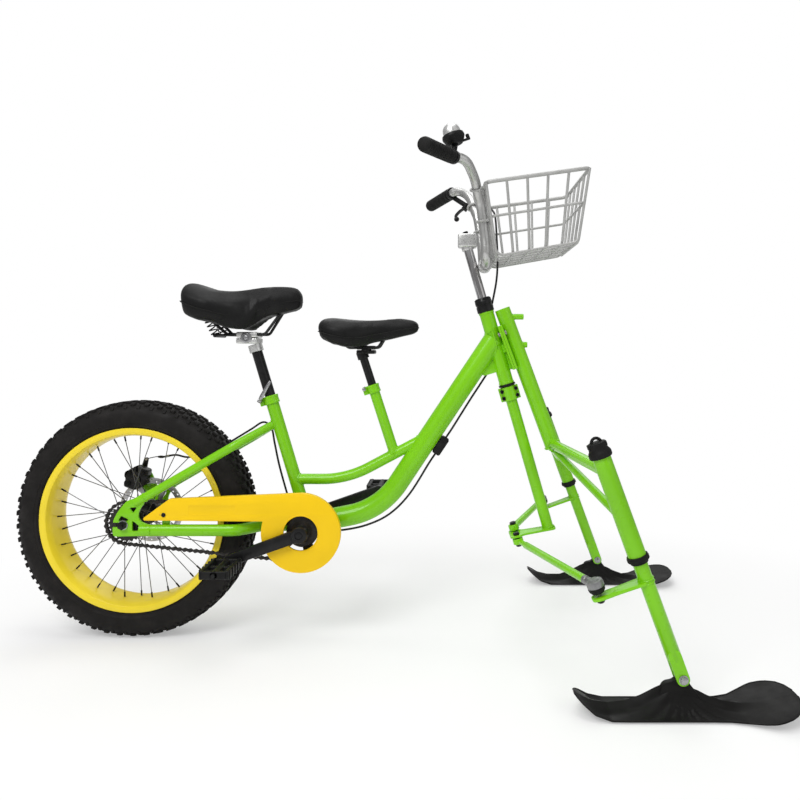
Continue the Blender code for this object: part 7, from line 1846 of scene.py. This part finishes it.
def make_saddle_clamp(name, centre, size, rail, post_top, up, radius, finish):
    """A two-part clamp over the rails, its cross bolt with big round ends, and the socket on the post."""
    centre = Vector(centre)
    half = size[1] / 2
    jaws = [add_block("jaw", (size[0], size[1], size[2] * 0.47), centre + Vector((0, 0, size[2] * height)),
        None, 0.003, 3) for height in (-0.26, 0.26)]
    ends = []
    disc = [(0.0, 0.0), (0.46, 0.0), (0.46, 0.0036), (0.4, 0.0046), (0.26, 0.0046), (0.24, 0.004),
        (0.0, 0.004)]
    disc = [(size[2] * share, height) for share, height in disc]
    for side in (-1, 1):
        face = centre + sideways(side * (half - 0.001))
        out = sideways(side)
        ends.append(spin_up("disc", disc, face, out, 40))
        ends.append(hex_on("nut", face, out, (0.0038, 0.0066), size[2] * 0.2, 0.0006))
    socket = spin_up("socket", [(radius + 0.0004, -0.016), (radius + 0.0034, -0.016),
        (radius + 0.004, -0.0154), (radius + 0.004, 0.0014), (radius + 0.0034, 0.002), (0.0, 0.002),
        (0.0, 0.0002), (radius + 0.0004, 0.0002)], post_top, up, 44)
    bores = []
    start, end = Vector(rail[1]), Vector(rail[2])
    reach = (end - start).normalized() * 0.01
    for flip in (1, -1):
        low, high = start - reach, end + reach
        low, high = Vector((low.x, low.y * flip, low.z)), Vector((high.x, high.y * flip, high.z))
        bores.append((low, high))
    for piece in jaws:
        cut(piece, *[add_bar("bore", low, high, 0.0037, 20) for low, high in bores])
        cut(piece, bar_on("bore", post_top, up, (-0.05, 0.0002), radius + 0.0004, 32))
    whole = dress(fuse("whole", *jaws, socket), finish)
    return fuse(name, whole, dress(fuse("ends", *ends),
        "bright steel" if finish == "clamp silver" else "black paint"))


# Brake caliper and cables

CALIPER_OUTLINE = ((-66.0, 60.0), (-38.0, 50.0), (-8.0, 66.0), (-4.0, 100.0), (-34.0, 112.0), (-64.0, 96.0))
REAR_CABLE = ((0.244, 0.0, 0.333), (0.196, 0.0, 0.285), (0.14, 0.0, 0.258), (0.075, 0.004, 0.244),
    (0.0, 0.02, 0.236), (-0.04, 0.045, 0.25), (-0.056, 0.048, 0.3), (-0.078, 0.036, 0.39),
    (-0.093, 0.044, 0.45), (-0.105, 0.06, 0.486), (-0.13, 0.076, 0.499), (-0.17, 0.09, 0.476),
    (-0.25, 0.093, 0.43), (-0.32, 0.095, 0.408), (-0.3585, 0.096, 0.413), (-0.39, 0.096, 0.408))
UPPER_CABLE = ((0.446, 0.027, 0.794), (0.4425, 0.0295, 0.76), (0.4455, 0.0305, 0.71), (0.447, 0.026, 0.668),
    (0.442, 0.0165, 0.64), (0.42, 0.008, 0.605), (0.39, 0.0, 0.56))


def make_caliper_body():
    """A cast body in two halves with cooling slots, mounting bolts, pads and the slot for the disc."""
    outer_face, inner_face = STAY_SPREAD - DROPOUT_HALF - 0.0001, 0.056
    outline = near_axle(CALIPER_OUTLINE)
    middle = (outer_face + inner_face) / 2
    body = side_plate("body", [soft_corners(outline, 0.005, 4)], outer_face - inner_face, middle, 0.0022)
    disc = add_bar("disc", AXLE + sideways(ROTOR_MIDDLE - 0.0026), AXLE + sideways(ROTOR_MIDDLE + 0.0026),
        0.0825, 72)
    cut(body, disc)
    for place, turn in ((0, 22), (1, 10), (2, -2)):
        x, z = AXLE.x - 0.056 + 0.012 * place, AXLE.z + 0.099 + 0.004 * place
        cut(body, add_block("slot", (0.0042, 0.018, 0.022), (x, inner_face + 0.004, z),
            Matrix.Rotation(math.radians(turn), 4, "Y")))
    for x, z, radius in ((-70.0, 79.0, 0.009), (-2.0, 80.0, 0.0075), (-21.0, 52.0, 0.006)):
        bite = from_axle((x, z), 0.0)
        cut(body, add_bar("bite", bite + sideways(0.04), bite + sideways(0.1), radius, 28))
    bolts = []
    for x, z in ((-54.0, 68.0), (-16.0, 92.0), (-50.0, 92.0)):
        place = from_axle((x, z), inner_face)
        bolts.append(spin_up("boss", [(0.0, 0.0004), (0.006, 0.0004), (0.0066, -0.0004), (0.0066, -0.0022),
            (0.0, -0.0022)], place, (0, 1, 0), 28))
        bolts.append(add_bar("bolt", place - sideways(0.0044), place, 0.0038, 24, 0.0006))
    pad = spin_up("adjuster", [(0.0, 0.0), (0.0115, 0.0), (0.0115, -0.0026), (0.0105, -0.0036),
        (0.007, -0.0036), (0.0066, -0.0028), (0.0, -0.0028)], from_axle((-34.0, 76.0), inner_face),
        (0, 1, 0), 40)
    body = dress(fuse("body", body, pad), "black paint")
    return fuse("snow_bike_caliper_body", body, dress(fuse("bolts", *bolts), "black plastic"))


def make_caliper_arm():
    """The arm that the cable pulls, with its pin, return spring cover and clamp bolt."""
    pivot = from_axle((-34.0, 82.0), 0.0)
    inner, angle = STAY_SPREAD + DROPOUT_HALF + 0.001, math.radians(75)
    outer = inner + 0.006
    way = tilted_up(angle)
    tip = pivot + way * 0.042
    outline = arc((pivot.x, pivot.z), 0.0088, 16, angle + math.pi / 2, math.pi)
    outline += arc((tip.x, tip.z), 0.005, 12, angle - math.pi / 2, math.pi)
    blade = side_plate("blade", [outline], 0.0046, (inner + outer) / 2, 0.0006)
    hub = spin_up("hub", [(0.0, inner), (0.0106, inner), (0.011, inner + 0.0006), (0.011, outer + 0.001),
        (0.01, outer + 0.002), (0.0052, outer + 0.002), (0.005, outer + 0.0014), (0.0, outer + 0.0014)],
        pivot, (0, 1, 0), 44)
    arm = dress(fuse("arm", blade, hub), "black paint")
    bolt = [hex_on("bolt", tip, sideways(1), (inner - 0.0006, outer + 0.002), 0.004, 0.0005),
        add_bar("pin", pivot + sideways(STAY_SPREAD - DROPOUT_HALF), pivot + sideways(outer), 0.004, 24)]
    return fuse("snow_bike_caliper_arm", arm, dress(fuse("bolt", *bolt), "zinc"))


BOX_REACH = 0.024


def box_frame():
    """The cable box's middle, the way up along the down tube, and the way out from it."""
    way = (DOWN_JOINT - DOWN_CORNER).normalized()
    under = Vector((way.z, 0, -way.x))
    place = DOWN_CORNER + way * ((0.47 - DOWN_CORNER.z) / way.z)
    return place + under * (0.025 + FIT + 0.01), way, under


def through_box(share):
    centre, way, _ = box_frame()
    return centre + way * BOX_REACH * share


def make_cable_box():
    """A rounded black housing with a lid and the cable's two sockets."""
    centre, way, under = box_frame()
    turn = pitched(math.atan2(way.z, way.x))
    box = add_block("box", (0.047, 0.0236, 0.0196), centre, turn, 0.0036, 4)
    lid = add_block("lid", (0.04, 0.018, 0.0012), centre + under * 0.0098, turn, 0.0005, 2)
    sockets = [spin_up("socket", [(0.0029, 0.0), (0.0052, 0.0), (0.0056, -0.0004), (0.0056, -0.0046),
        (0.0029, -0.0046)], centre + way * BOX_REACH * flip, way * flip, 28, True) for flip in (1, -1)]
    cut(box, centred_bar("bore", centre, way * 0.05, 0.0029, 20))
    return fuse("snow_bike_cable_box", box, lid, *sockets)


# Operators: each one makes a group of like pieces

class SNOWBIKE_OT_finishes(bpy.types.Operator):
    """Make every finish of the bike"""
    bl_idname = "snowbike.finishes"
    bl_label = "Finishes"

    def execute(self, context):
        make_finishes(context.scene.snow_bike_colours)
        return {"FINISHED"}


class SNOWBIKE_OT_rear_wheel(bpy.types.Operator):
    """Build the tyre, rim, hub, spokes, brake disc and axle"""
    bl_idname = "snowbike.rear_wheel"
    bl_label = "Rear wheel"

    def execute(self, context):
        wheel = context.scene.snow_bike_wheel
        fit_piece(make_tyre(wheel), "tyre rubber", "rear_wheel", "tyre", smooth=40)
        fit_piece(make_rim(), "rim paint", "rear_wheel", "rim")
        hub = fuse("snow_bike_hub_and_spokes", make_hub(), *make_spokes(wheel))
        fit_piece(hub, "black paint", "rear_wheel", "hub_and_spokes", dressed=True)
        fit_piece(make_rotor(wheel), "brushed disc", "rear_wheel", "brake_rotor")
        fit_piece(make_rear_axle(), "black paint", "frame", "rear_axle", dressed=True)
        return {"FINISHED"}


class SNOWBIKE_OT_drive(bpy.types.Operator):
    """Build the chain, sprockets, cranks, pedals and chain guard"""
    bl_idname = "snowbike.drive"
    bl_label = "Drive"

    def execute(self, context):
        fit_piece(make_freewheel(), "chain steel", "freewheel", "freewheel_sprocket")
        fit_piece(make_chain(), "chain steel", "frame", "chain")
        fit_piece(make_chainring(), "chain steel", "crankset", "chainring")
        fit_piece(make_spindle(), "black paint", "crankset", "crank_spindle")
        fit_piece(make_bracket_cups(), "black paint", "frame", "bottom_bracket")
        for side, name in SIDES:
            fit_piece(make_crank(side, name), "black paint", "crankset", name + "_crank")
            fit_piece(make_pedal(side, name), "black plastic", name + "_pedal", name + "_pedal")
        fit_piece(make_guard(), "guard plastic", "frame", "chain_guard")
        fit_piece(make_guard_screw(), "black paint", "frame", "guard_screw")
        return {"FINISHED"}


class SNOWBIKE_OT_main_frame(bpy.types.Operator):
    """Build the welded main frame and its headset"""
    bl_idname = "snowbike.main_frame"
    bl_label = "Main frame"

    def execute(self, context):
        sizes = context.scene.snow_bike_frame
        fit_piece(make_main_frame(sizes), "green paint", "frame", "main_frame")
        for node, place, way, height in (("headset_top", HEAD_TOP, COLUMN_UP, 0.035),
                ("headset_bottom", HEAD_FOOT, -COLUMN_UP, 0.006)):
            fit_piece(make_headset("snow_bike_" + node, place, way, height), "black paint", "frame", node)
        return {"FINISHED"}


class SNOWBIKE_OT_ski_frame(bpy.types.Operator):
    """Build the bolted-on ski frame, its bolts, and the caps and seals of its leg housings"""
    bl_idname = "snowbike.ski_frame"
    bl_label = "Ski frame"

    def execute(self, context):
        fit_piece(make_ski_frame(context.scene.snow_bike_frame), "green paint", "frame", "ski_frame")
        for side, name in SIDES:
            fit_piece(make_subframe_bolt(side, name), "zinc", "frame", "subframe_bolt_" + name)
            fit_piece(make_leg_cap(side, name), "soft rubber", "frame", name + "_leg_cap")
            fit_piece(make_leg_seal(side, name), "soft rubber", "frame", name + "_leg_seal")
        return {"FINISHED"}


class SNOWBIKE_OT_ski_legs(bpy.types.Operator):
    """Build the two swivelling ski legs, their bolts and their tie rods"""
    bl_idname = "snowbike.ski_legs"
    bl_label = "Ski legs and tie rods"

    def execute(self, context):
        bead = context.scene.snow_bike_frame.weld_bead
        for side, name in SIDES:
            fit_piece(make_ski_leg(side, name, bead), "green paint", name + "_leg", name + "_ski_leg",
                dressed=True)
            fit_piece(make_ski_bolt(side, name), "bright steel", name + "_leg", name + "_ski_bolt")
            fit_piece(make_tie_rod(side, name), "green paint", name + "_tie_rod", name + "_tie_rod",
                dressed=True)
        return {"FINISHED"}


class SNOWBIKE_OT_skis(bpy.types.Operator):
    """Build the two moulded skis"""
    bl_idname = "snowbike.skis"
    bl_label = "Skis"

    def execute(self, context):
        for side, name in SIDES:
            fit_piece(make_ski(side, name, context.scene.snow_bike_skis), "ski plastic", name + "_ski",
                name + "_ski", smooth=28)
        return {"FINISHED"}


class SNOWBIKE_OT_steering(bpy.types.Operator):
    """Build the column, its clamp, the stem, the handlebar and its grips"""
    bl_idname = "snowbike.steering"
    bl_label = "Steering"

    def execute(self, context):
        steering = context.scene.snow_bike_steering
        fit_piece(make_steering_column(), "green paint", "steering", "steering_column", dressed=True)
        fit_piece(make_column_clamp(), "green paint", "steering", "column_clamp", dressed=True)
        fit_piece(make_stem(), "clamp silver", "steering", "stem", dressed=True)
        fit_piece(make_handlebar(steering.bar_radius), "satin aluminium", "steering", "handlebar")
        for side, name in SIDES:
            fit_piece(make_grip(side, name, steering), "soft rubber", "steering", name + "_grip")
        return {"FINISHED"}


class SNOWBIKE_OT_bell_and_lever(bpy.types.Operator):
    """Build the bell and the brake lever"""
    bl_idname = "snowbike.bell_and_lever"
    bl_label = "Bell and brake lever"

    def execute(self, context):
        fit_piece(make_bell(), "chrome", "steering", "bell", dressed=True)
        fit_piece(make_bell_lever(), "black plastic", "bell_lever", "bell_lever")
        fit_piece(make_lever_perch(), "black plastic", "steering", "brake_lever_perch")
        fit_piece(make_brake_lever(), "black plastic", "brake_lever", "brake_lever")
        return {"FINISHED"}


class SNOWBIKE_OT_basket(bpy.types.Operator):
    """Build the wire basket"""
    bl_idname = "snowbike.basket"
    bl_label = "Basket"

    def execute(self, context):
        fit_piece(make_basket(context.scene.snow_bike_steering), "basket paint", "steering", "basket",
            smooth=60)
        return {"FINISHED"}


class SNOWBIKE_OT_seats(bpy.types.Operator):
    """Build both saddles with their rails, posts, clamps and collars"""
    bl_idname = "snowbike.seats"
    bl_label = "Seats"

    def execute(self, context):
        seats = context.scene.snow_bike_seats
        for kind, rows, rail, tube, post, clamp in SEAT_KINDS:
            body = kind + "_seat"
            top, up, lean = tube
            shown, inserted, radius, gap = post
            cover, piping = make_saddle(rows, seats)
            metal = dress(fuse("metal", *saddle_rails(rail), *saddle_springs(kind)), "black paint")
            under = fuse("snow_bike_" + kind + "_saddle_base", piping, metal)
            cover.name = "snow_bike_" + kind + "_saddle"
            fit_piece(cover, "saddle vinyl", body, kind + "_saddle", smooth=60)
            fit_piece(under, "soft rubber", body, dressed=True)
            fit_piece(make_seatpost("snow_bike_" + kind + "_seatpost", top, up, shown, inserted, radius),
                "black paint", body, kind + "_seatpost")
            centre, size, finish = clamp
            piece = make_saddle_clamp("snow_bike_" + kind + "_saddle_clamp", centre, size, rail,
                top + up * shown, up, radius, finish)
            fit_piece(piece, finish, body, kind + "_saddle_clamp", dressed=True)
            collar = make_collar("snow_bike_" + kind + "_seat_collar", top, up, lean, radius + gap,
                kind == "child")
            fit_piece(collar, "green paint", "frame", kind + "_seat_collar", dressed=True)
        fit_piece(make_quick_release(), "bright steel", "quick_release", "quick_release_lever")
        return {"FINISHED"}


class SNOWBIKE_OT_brake(bpy.types.Operator):
    """Build the disc brake's caliper, its arm, the cable box and the three runs of cable"""
    bl_idname = "snowbike.brake"
    bl_label = "Brake and cables"

    def execute(self, context):
        fit_piece(make_caliper_body(), "black paint", "frame", "caliper_body", dressed=True)
        fit_piece(make_caliper_arm(), "black paint", "caliper_arm", "caliper_arm", dressed=True)
        fit_piece(make_cable_box(), "black plastic", "frame", "cable_box")
        upper = UPPER_CABLE + (through_box(2.2), through_box(1.3), through_box(0.1))
        rear = (through_box(-0.1), through_box(-1.3), through_box(-2.2)) + REAR_CABLE
        for node, points, ferrule in (("upper_brake_cable", upper, 0.02), ("rear_brake_cable", rear, 0.99)):
            cable = make_cable("snow_bike_" + node, points, ferrule)
            fit_piece(cable, "cable housing", "frame", node, dressed=True)
        front = make_cable("snow_bike_front_brake_cable", FRONT_CABLE)
        put_on_model(front, 40)
        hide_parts("front_brake_cable")
        stop, tip = Vector(REAR_CABLE[-1]), from_axle((-22.0, 124.0), 0.0932)
        inner = draw_tube("snow_bike_inner_cable", flowing((stop, (-0.408, 0.0952, 0.4085), tip), 6),
            0.0011, 2)
        boot = spin_up("boot", [(0.0012, 0.0), (0.0026, 0.0), (0.0034, 0.002), (0.0034, 0.008),
            (0.0022, 0.014), (0.0012, 0.014)], stop, Vector((-0.018, -0.0008, 0.0005)).normalized(), 20,
            True)
        inner = dress(fuse("snow_bike_inner_cable", inner, boot), "cable housing")
        put_on_model(inner)
        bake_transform(inner)
        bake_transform(front)
        return {"FINISHED"}


class SNOWBIKE_OT_stage(bpy.types.Operator):
    """Set up the camera, the floor, the lamps and the world"""
    bl_idname = "snowbike.stage"
    bl_label = "Camera, floor and light"

    def execute(self, context):
        pick()
        bpy.ops.object.camera_add(location=(0.1809, -1.69, 0.684), rotation=(math.radians(90), 0, 0))
        camera = context.object
        camera.name = "photo_camera"
        camera.data.sensor_width = 36
        camera.data.lens = 31.41
        camera.data.shift_x = -0.0575
        camera.data.shift_y = -0.06375
        context.scene.camera = camera
        pick()
        bpy.ops.mesh.primitive_plane_add(size=40, location=(0.2, 0, -0.0005))
        floor = settle(context.object)
        floor.name = "stage_floor"
        floor.data.materials.append(stage_material("stage_floor"))
        context.scene.view_settings.view_transform = "Standard"
        for name, place, aim, size, power in LAMPS:
            pick()
            bpy.ops.object.light_add(type="AREA", location=place)
            lamp = context.object
            lamp.name = "lamp_" + name
            lamp.data.size = size
            lamp.data.energy = power
            lamp.rotation_euler = (Vector(aim) - Vector(place)).to_track_quat("-Z", "Y").to_euler()
        set_world(context.scene)
        return {"FINISHED"}


# Name, place, aim, size in metres and power in watts
LAMPS = (("key", (-1.2, -2.4, 3.0), (0.15, 0, 0.5), 1.8, 74.0),
    ("fill", (2.6, -1.9, 1.7), (0.3, 0, 0.5), 2.4, 12.0),
    ("rim", (0.3, 2.6, 2.6), (0.1, 0, 0.5), 2.8, 30.0), ("top", (0.1, -0.1, 3.4), (0.1, 0, 0), 2.0, 34.0))


def lead_through_mix(tree, share, first, second, surface):
    """Leads two shaders, mixed by a share, to the surface."""
    mix = tree.nodes.new("ShaderNodeMixShader")
    for start, end in ((share, mix.inputs["Fac"]), (first.outputs[0], mix.inputs[1]),
            (second.outputs[0], mix.inputs[2]), (mix.outputs[0], surface)):
        tree.links.new(start, end)


def stage_material(name):
    """A pale floor that turns to plain white away from the bike, so that no horizon shows."""
    material = bpy.data.materials.new(name)
    material.use_nodes = True
    tree = material.node_tree
    shader = tree.nodes["Principled BSDF"]
    shader.inputs["Base Color"].default_value = (0.95, 0.95, 0.95, 1)
    shader.inputs["Roughness"].default_value = 0.9
    shader.inputs["Specular IOR Level"].default_value = 0.1
    white = tree.nodes.new("ShaderNodeEmission")
    places = tree.nodes.new("ShaderNodeTexCoord")
    mapping = tree.nodes.new("ShaderNodeMapping")
    mapping.inputs["Location"].default_value = (-0.1, 0, 0)
    mapping.inputs["Scale"].default_value = (0.72, 1.0, 1.0)
    reach = tree.nodes.new("ShaderNodeVectorMath")
    reach.operation = "LENGTH"
    fade = tree.nodes.new("ShaderNodeMapRange")
    fade.interpolation_type = "SMOOTHSTEP"
    fade.inputs["From Min"].default_value = 0.55
    fade.inputs["From Max"].default_value = 1.15
    fade.inputs["To Min"].default_value = 0.35
    path = tree.nodes.new("ShaderNodeLightPath")
    seen = tree.nodes.new("ShaderNodeMath")
    seen.operation = "MULTIPLY"
    for start, end in ((places.outputs["Object"], mapping.inputs["Vector"]),
            (mapping.outputs["Vector"], reach.inputs[0]), (reach.outputs["Value"], fade.inputs["Value"]),
            (fade.outputs["Result"], seen.inputs[0]), (path.outputs["Is Camera Ray"], seen.inputs[1])):
        tree.links.new(start, end)
    surface = tree.nodes["Material Output"].inputs["Surface"]
    lead_through_mix(tree, seen.outputs["Value"], shader, white, surface)
    return material


def set_world(scene):
    """White for the camera, soft grey for the light itself and for reflections."""
    world = bpy.data.worlds.new("soft_studio")
    world.use_nodes = True
    scene.world = world
    tree = world.node_tree
    plain = tree.nodes["Background"]
    plain.inputs["Color"].default_value = (1, 1, 1, 1)
    plain.inputs["Strength"].default_value = 0.36
    white = tree.nodes.new("ShaderNodeBackground")
    white.inputs["Color"].default_value = (1, 1, 1, 1)
    white.inputs["Strength"].default_value = 1.0
    path = tree.nodes.new("ShaderNodeLightPath")
    surface = tree.nodes["World Output"].inputs["Surface"]
    lead_through_mix(tree, path.outputs["Is Camera Ray"], plain, white, surface)


class SNOWBIKE_PT_panel(bpy.types.Panel):
    """Lists the bike's settings and the steps that build it"""
    bl_label = "Snow Bike"
    bl_idname = "SNOWBIKE_PT_panel"
    bl_space_type = "VIEW_3D"
    bl_region_type = "UI"
    bl_category = "Snow Bike"

    def draw(self, context):
        for name, kind in SETTINGS:
            column = self.layout.column(align=True)
            column.label(text=kind.__doc__.rstrip("."))
            group = getattr(context.scene, name)
            for key in kind.__annotations__:
                column.prop(group, key)
        for step in STEPS:
            self.layout.operator(step.bl_idname)


SETTINGS = (("snow_bike_colours", SnowBikeColours), ("snow_bike_wheel", SnowBikeWheel),
    ("snow_bike_frame", SnowBikeFrame), ("snow_bike_steering", SnowBikeSteering),
    ("snow_bike_seats", SnowBikeSeats), ("snow_bike_skis", SnowBikeSkis))
STEPS = (SNOWBIKE_OT_finishes, SNOWBIKE_OT_stage, SNOWBIKE_OT_rear_wheel, SNOWBIKE_OT_drive,
    SNOWBIKE_OT_main_frame, SNOWBIKE_OT_ski_frame, SNOWBIKE_OT_ski_legs, SNOWBIKE_OT_skis,
    SNOWBIKE_OT_steering, SNOWBIKE_OT_bell_and_lever, SNOWBIKE_OT_basket, SNOWBIKE_OT_seats,
    SNOWBIKE_OT_brake)


def register():
    for name, kind in SETTINGS:
        bpy.utils.register_class(kind)
        setattr(bpy.types.Scene, name, PointerProperty(type=kind))
    for step in STEPS:
        bpy.utils.register_class(step)
    bpy.utils.register_class(SNOWBIKE_PT_panel)


def unregister():
    bpy.utils.unregister_class(SNOWBIKE_PT_panel)
    for step in reversed(STEPS):
        bpy.utils.unregister_class(step)
    for name, kind in reversed(SETTINGS):
        delattr(bpy.types.Scene, name)
        bpy.utils.unregister_class(kind)


def main():
    register()
    bpy.ops.snowbike.finishes()
    bpy.ops.snowbike.stage()
    bpy.ops.snowbike.rear_wheel()
    bpy.ops.snowbike.drive()
    bpy.ops.snowbike.main_frame()
    bpy.ops.snowbike.ski_frame()
    bpy.ops.snowbike.ski_legs()
    bpy.ops.snowbike.skis()
    bpy.ops.snowbike.steering()
    bpy.ops.snowbike.bell_and_lever()
    bpy.ops.snowbike.basket()
    bpy.ops.snowbike.seats()
    bpy.ops.snowbike.brake()


if __name__ == "__main__":
    main()
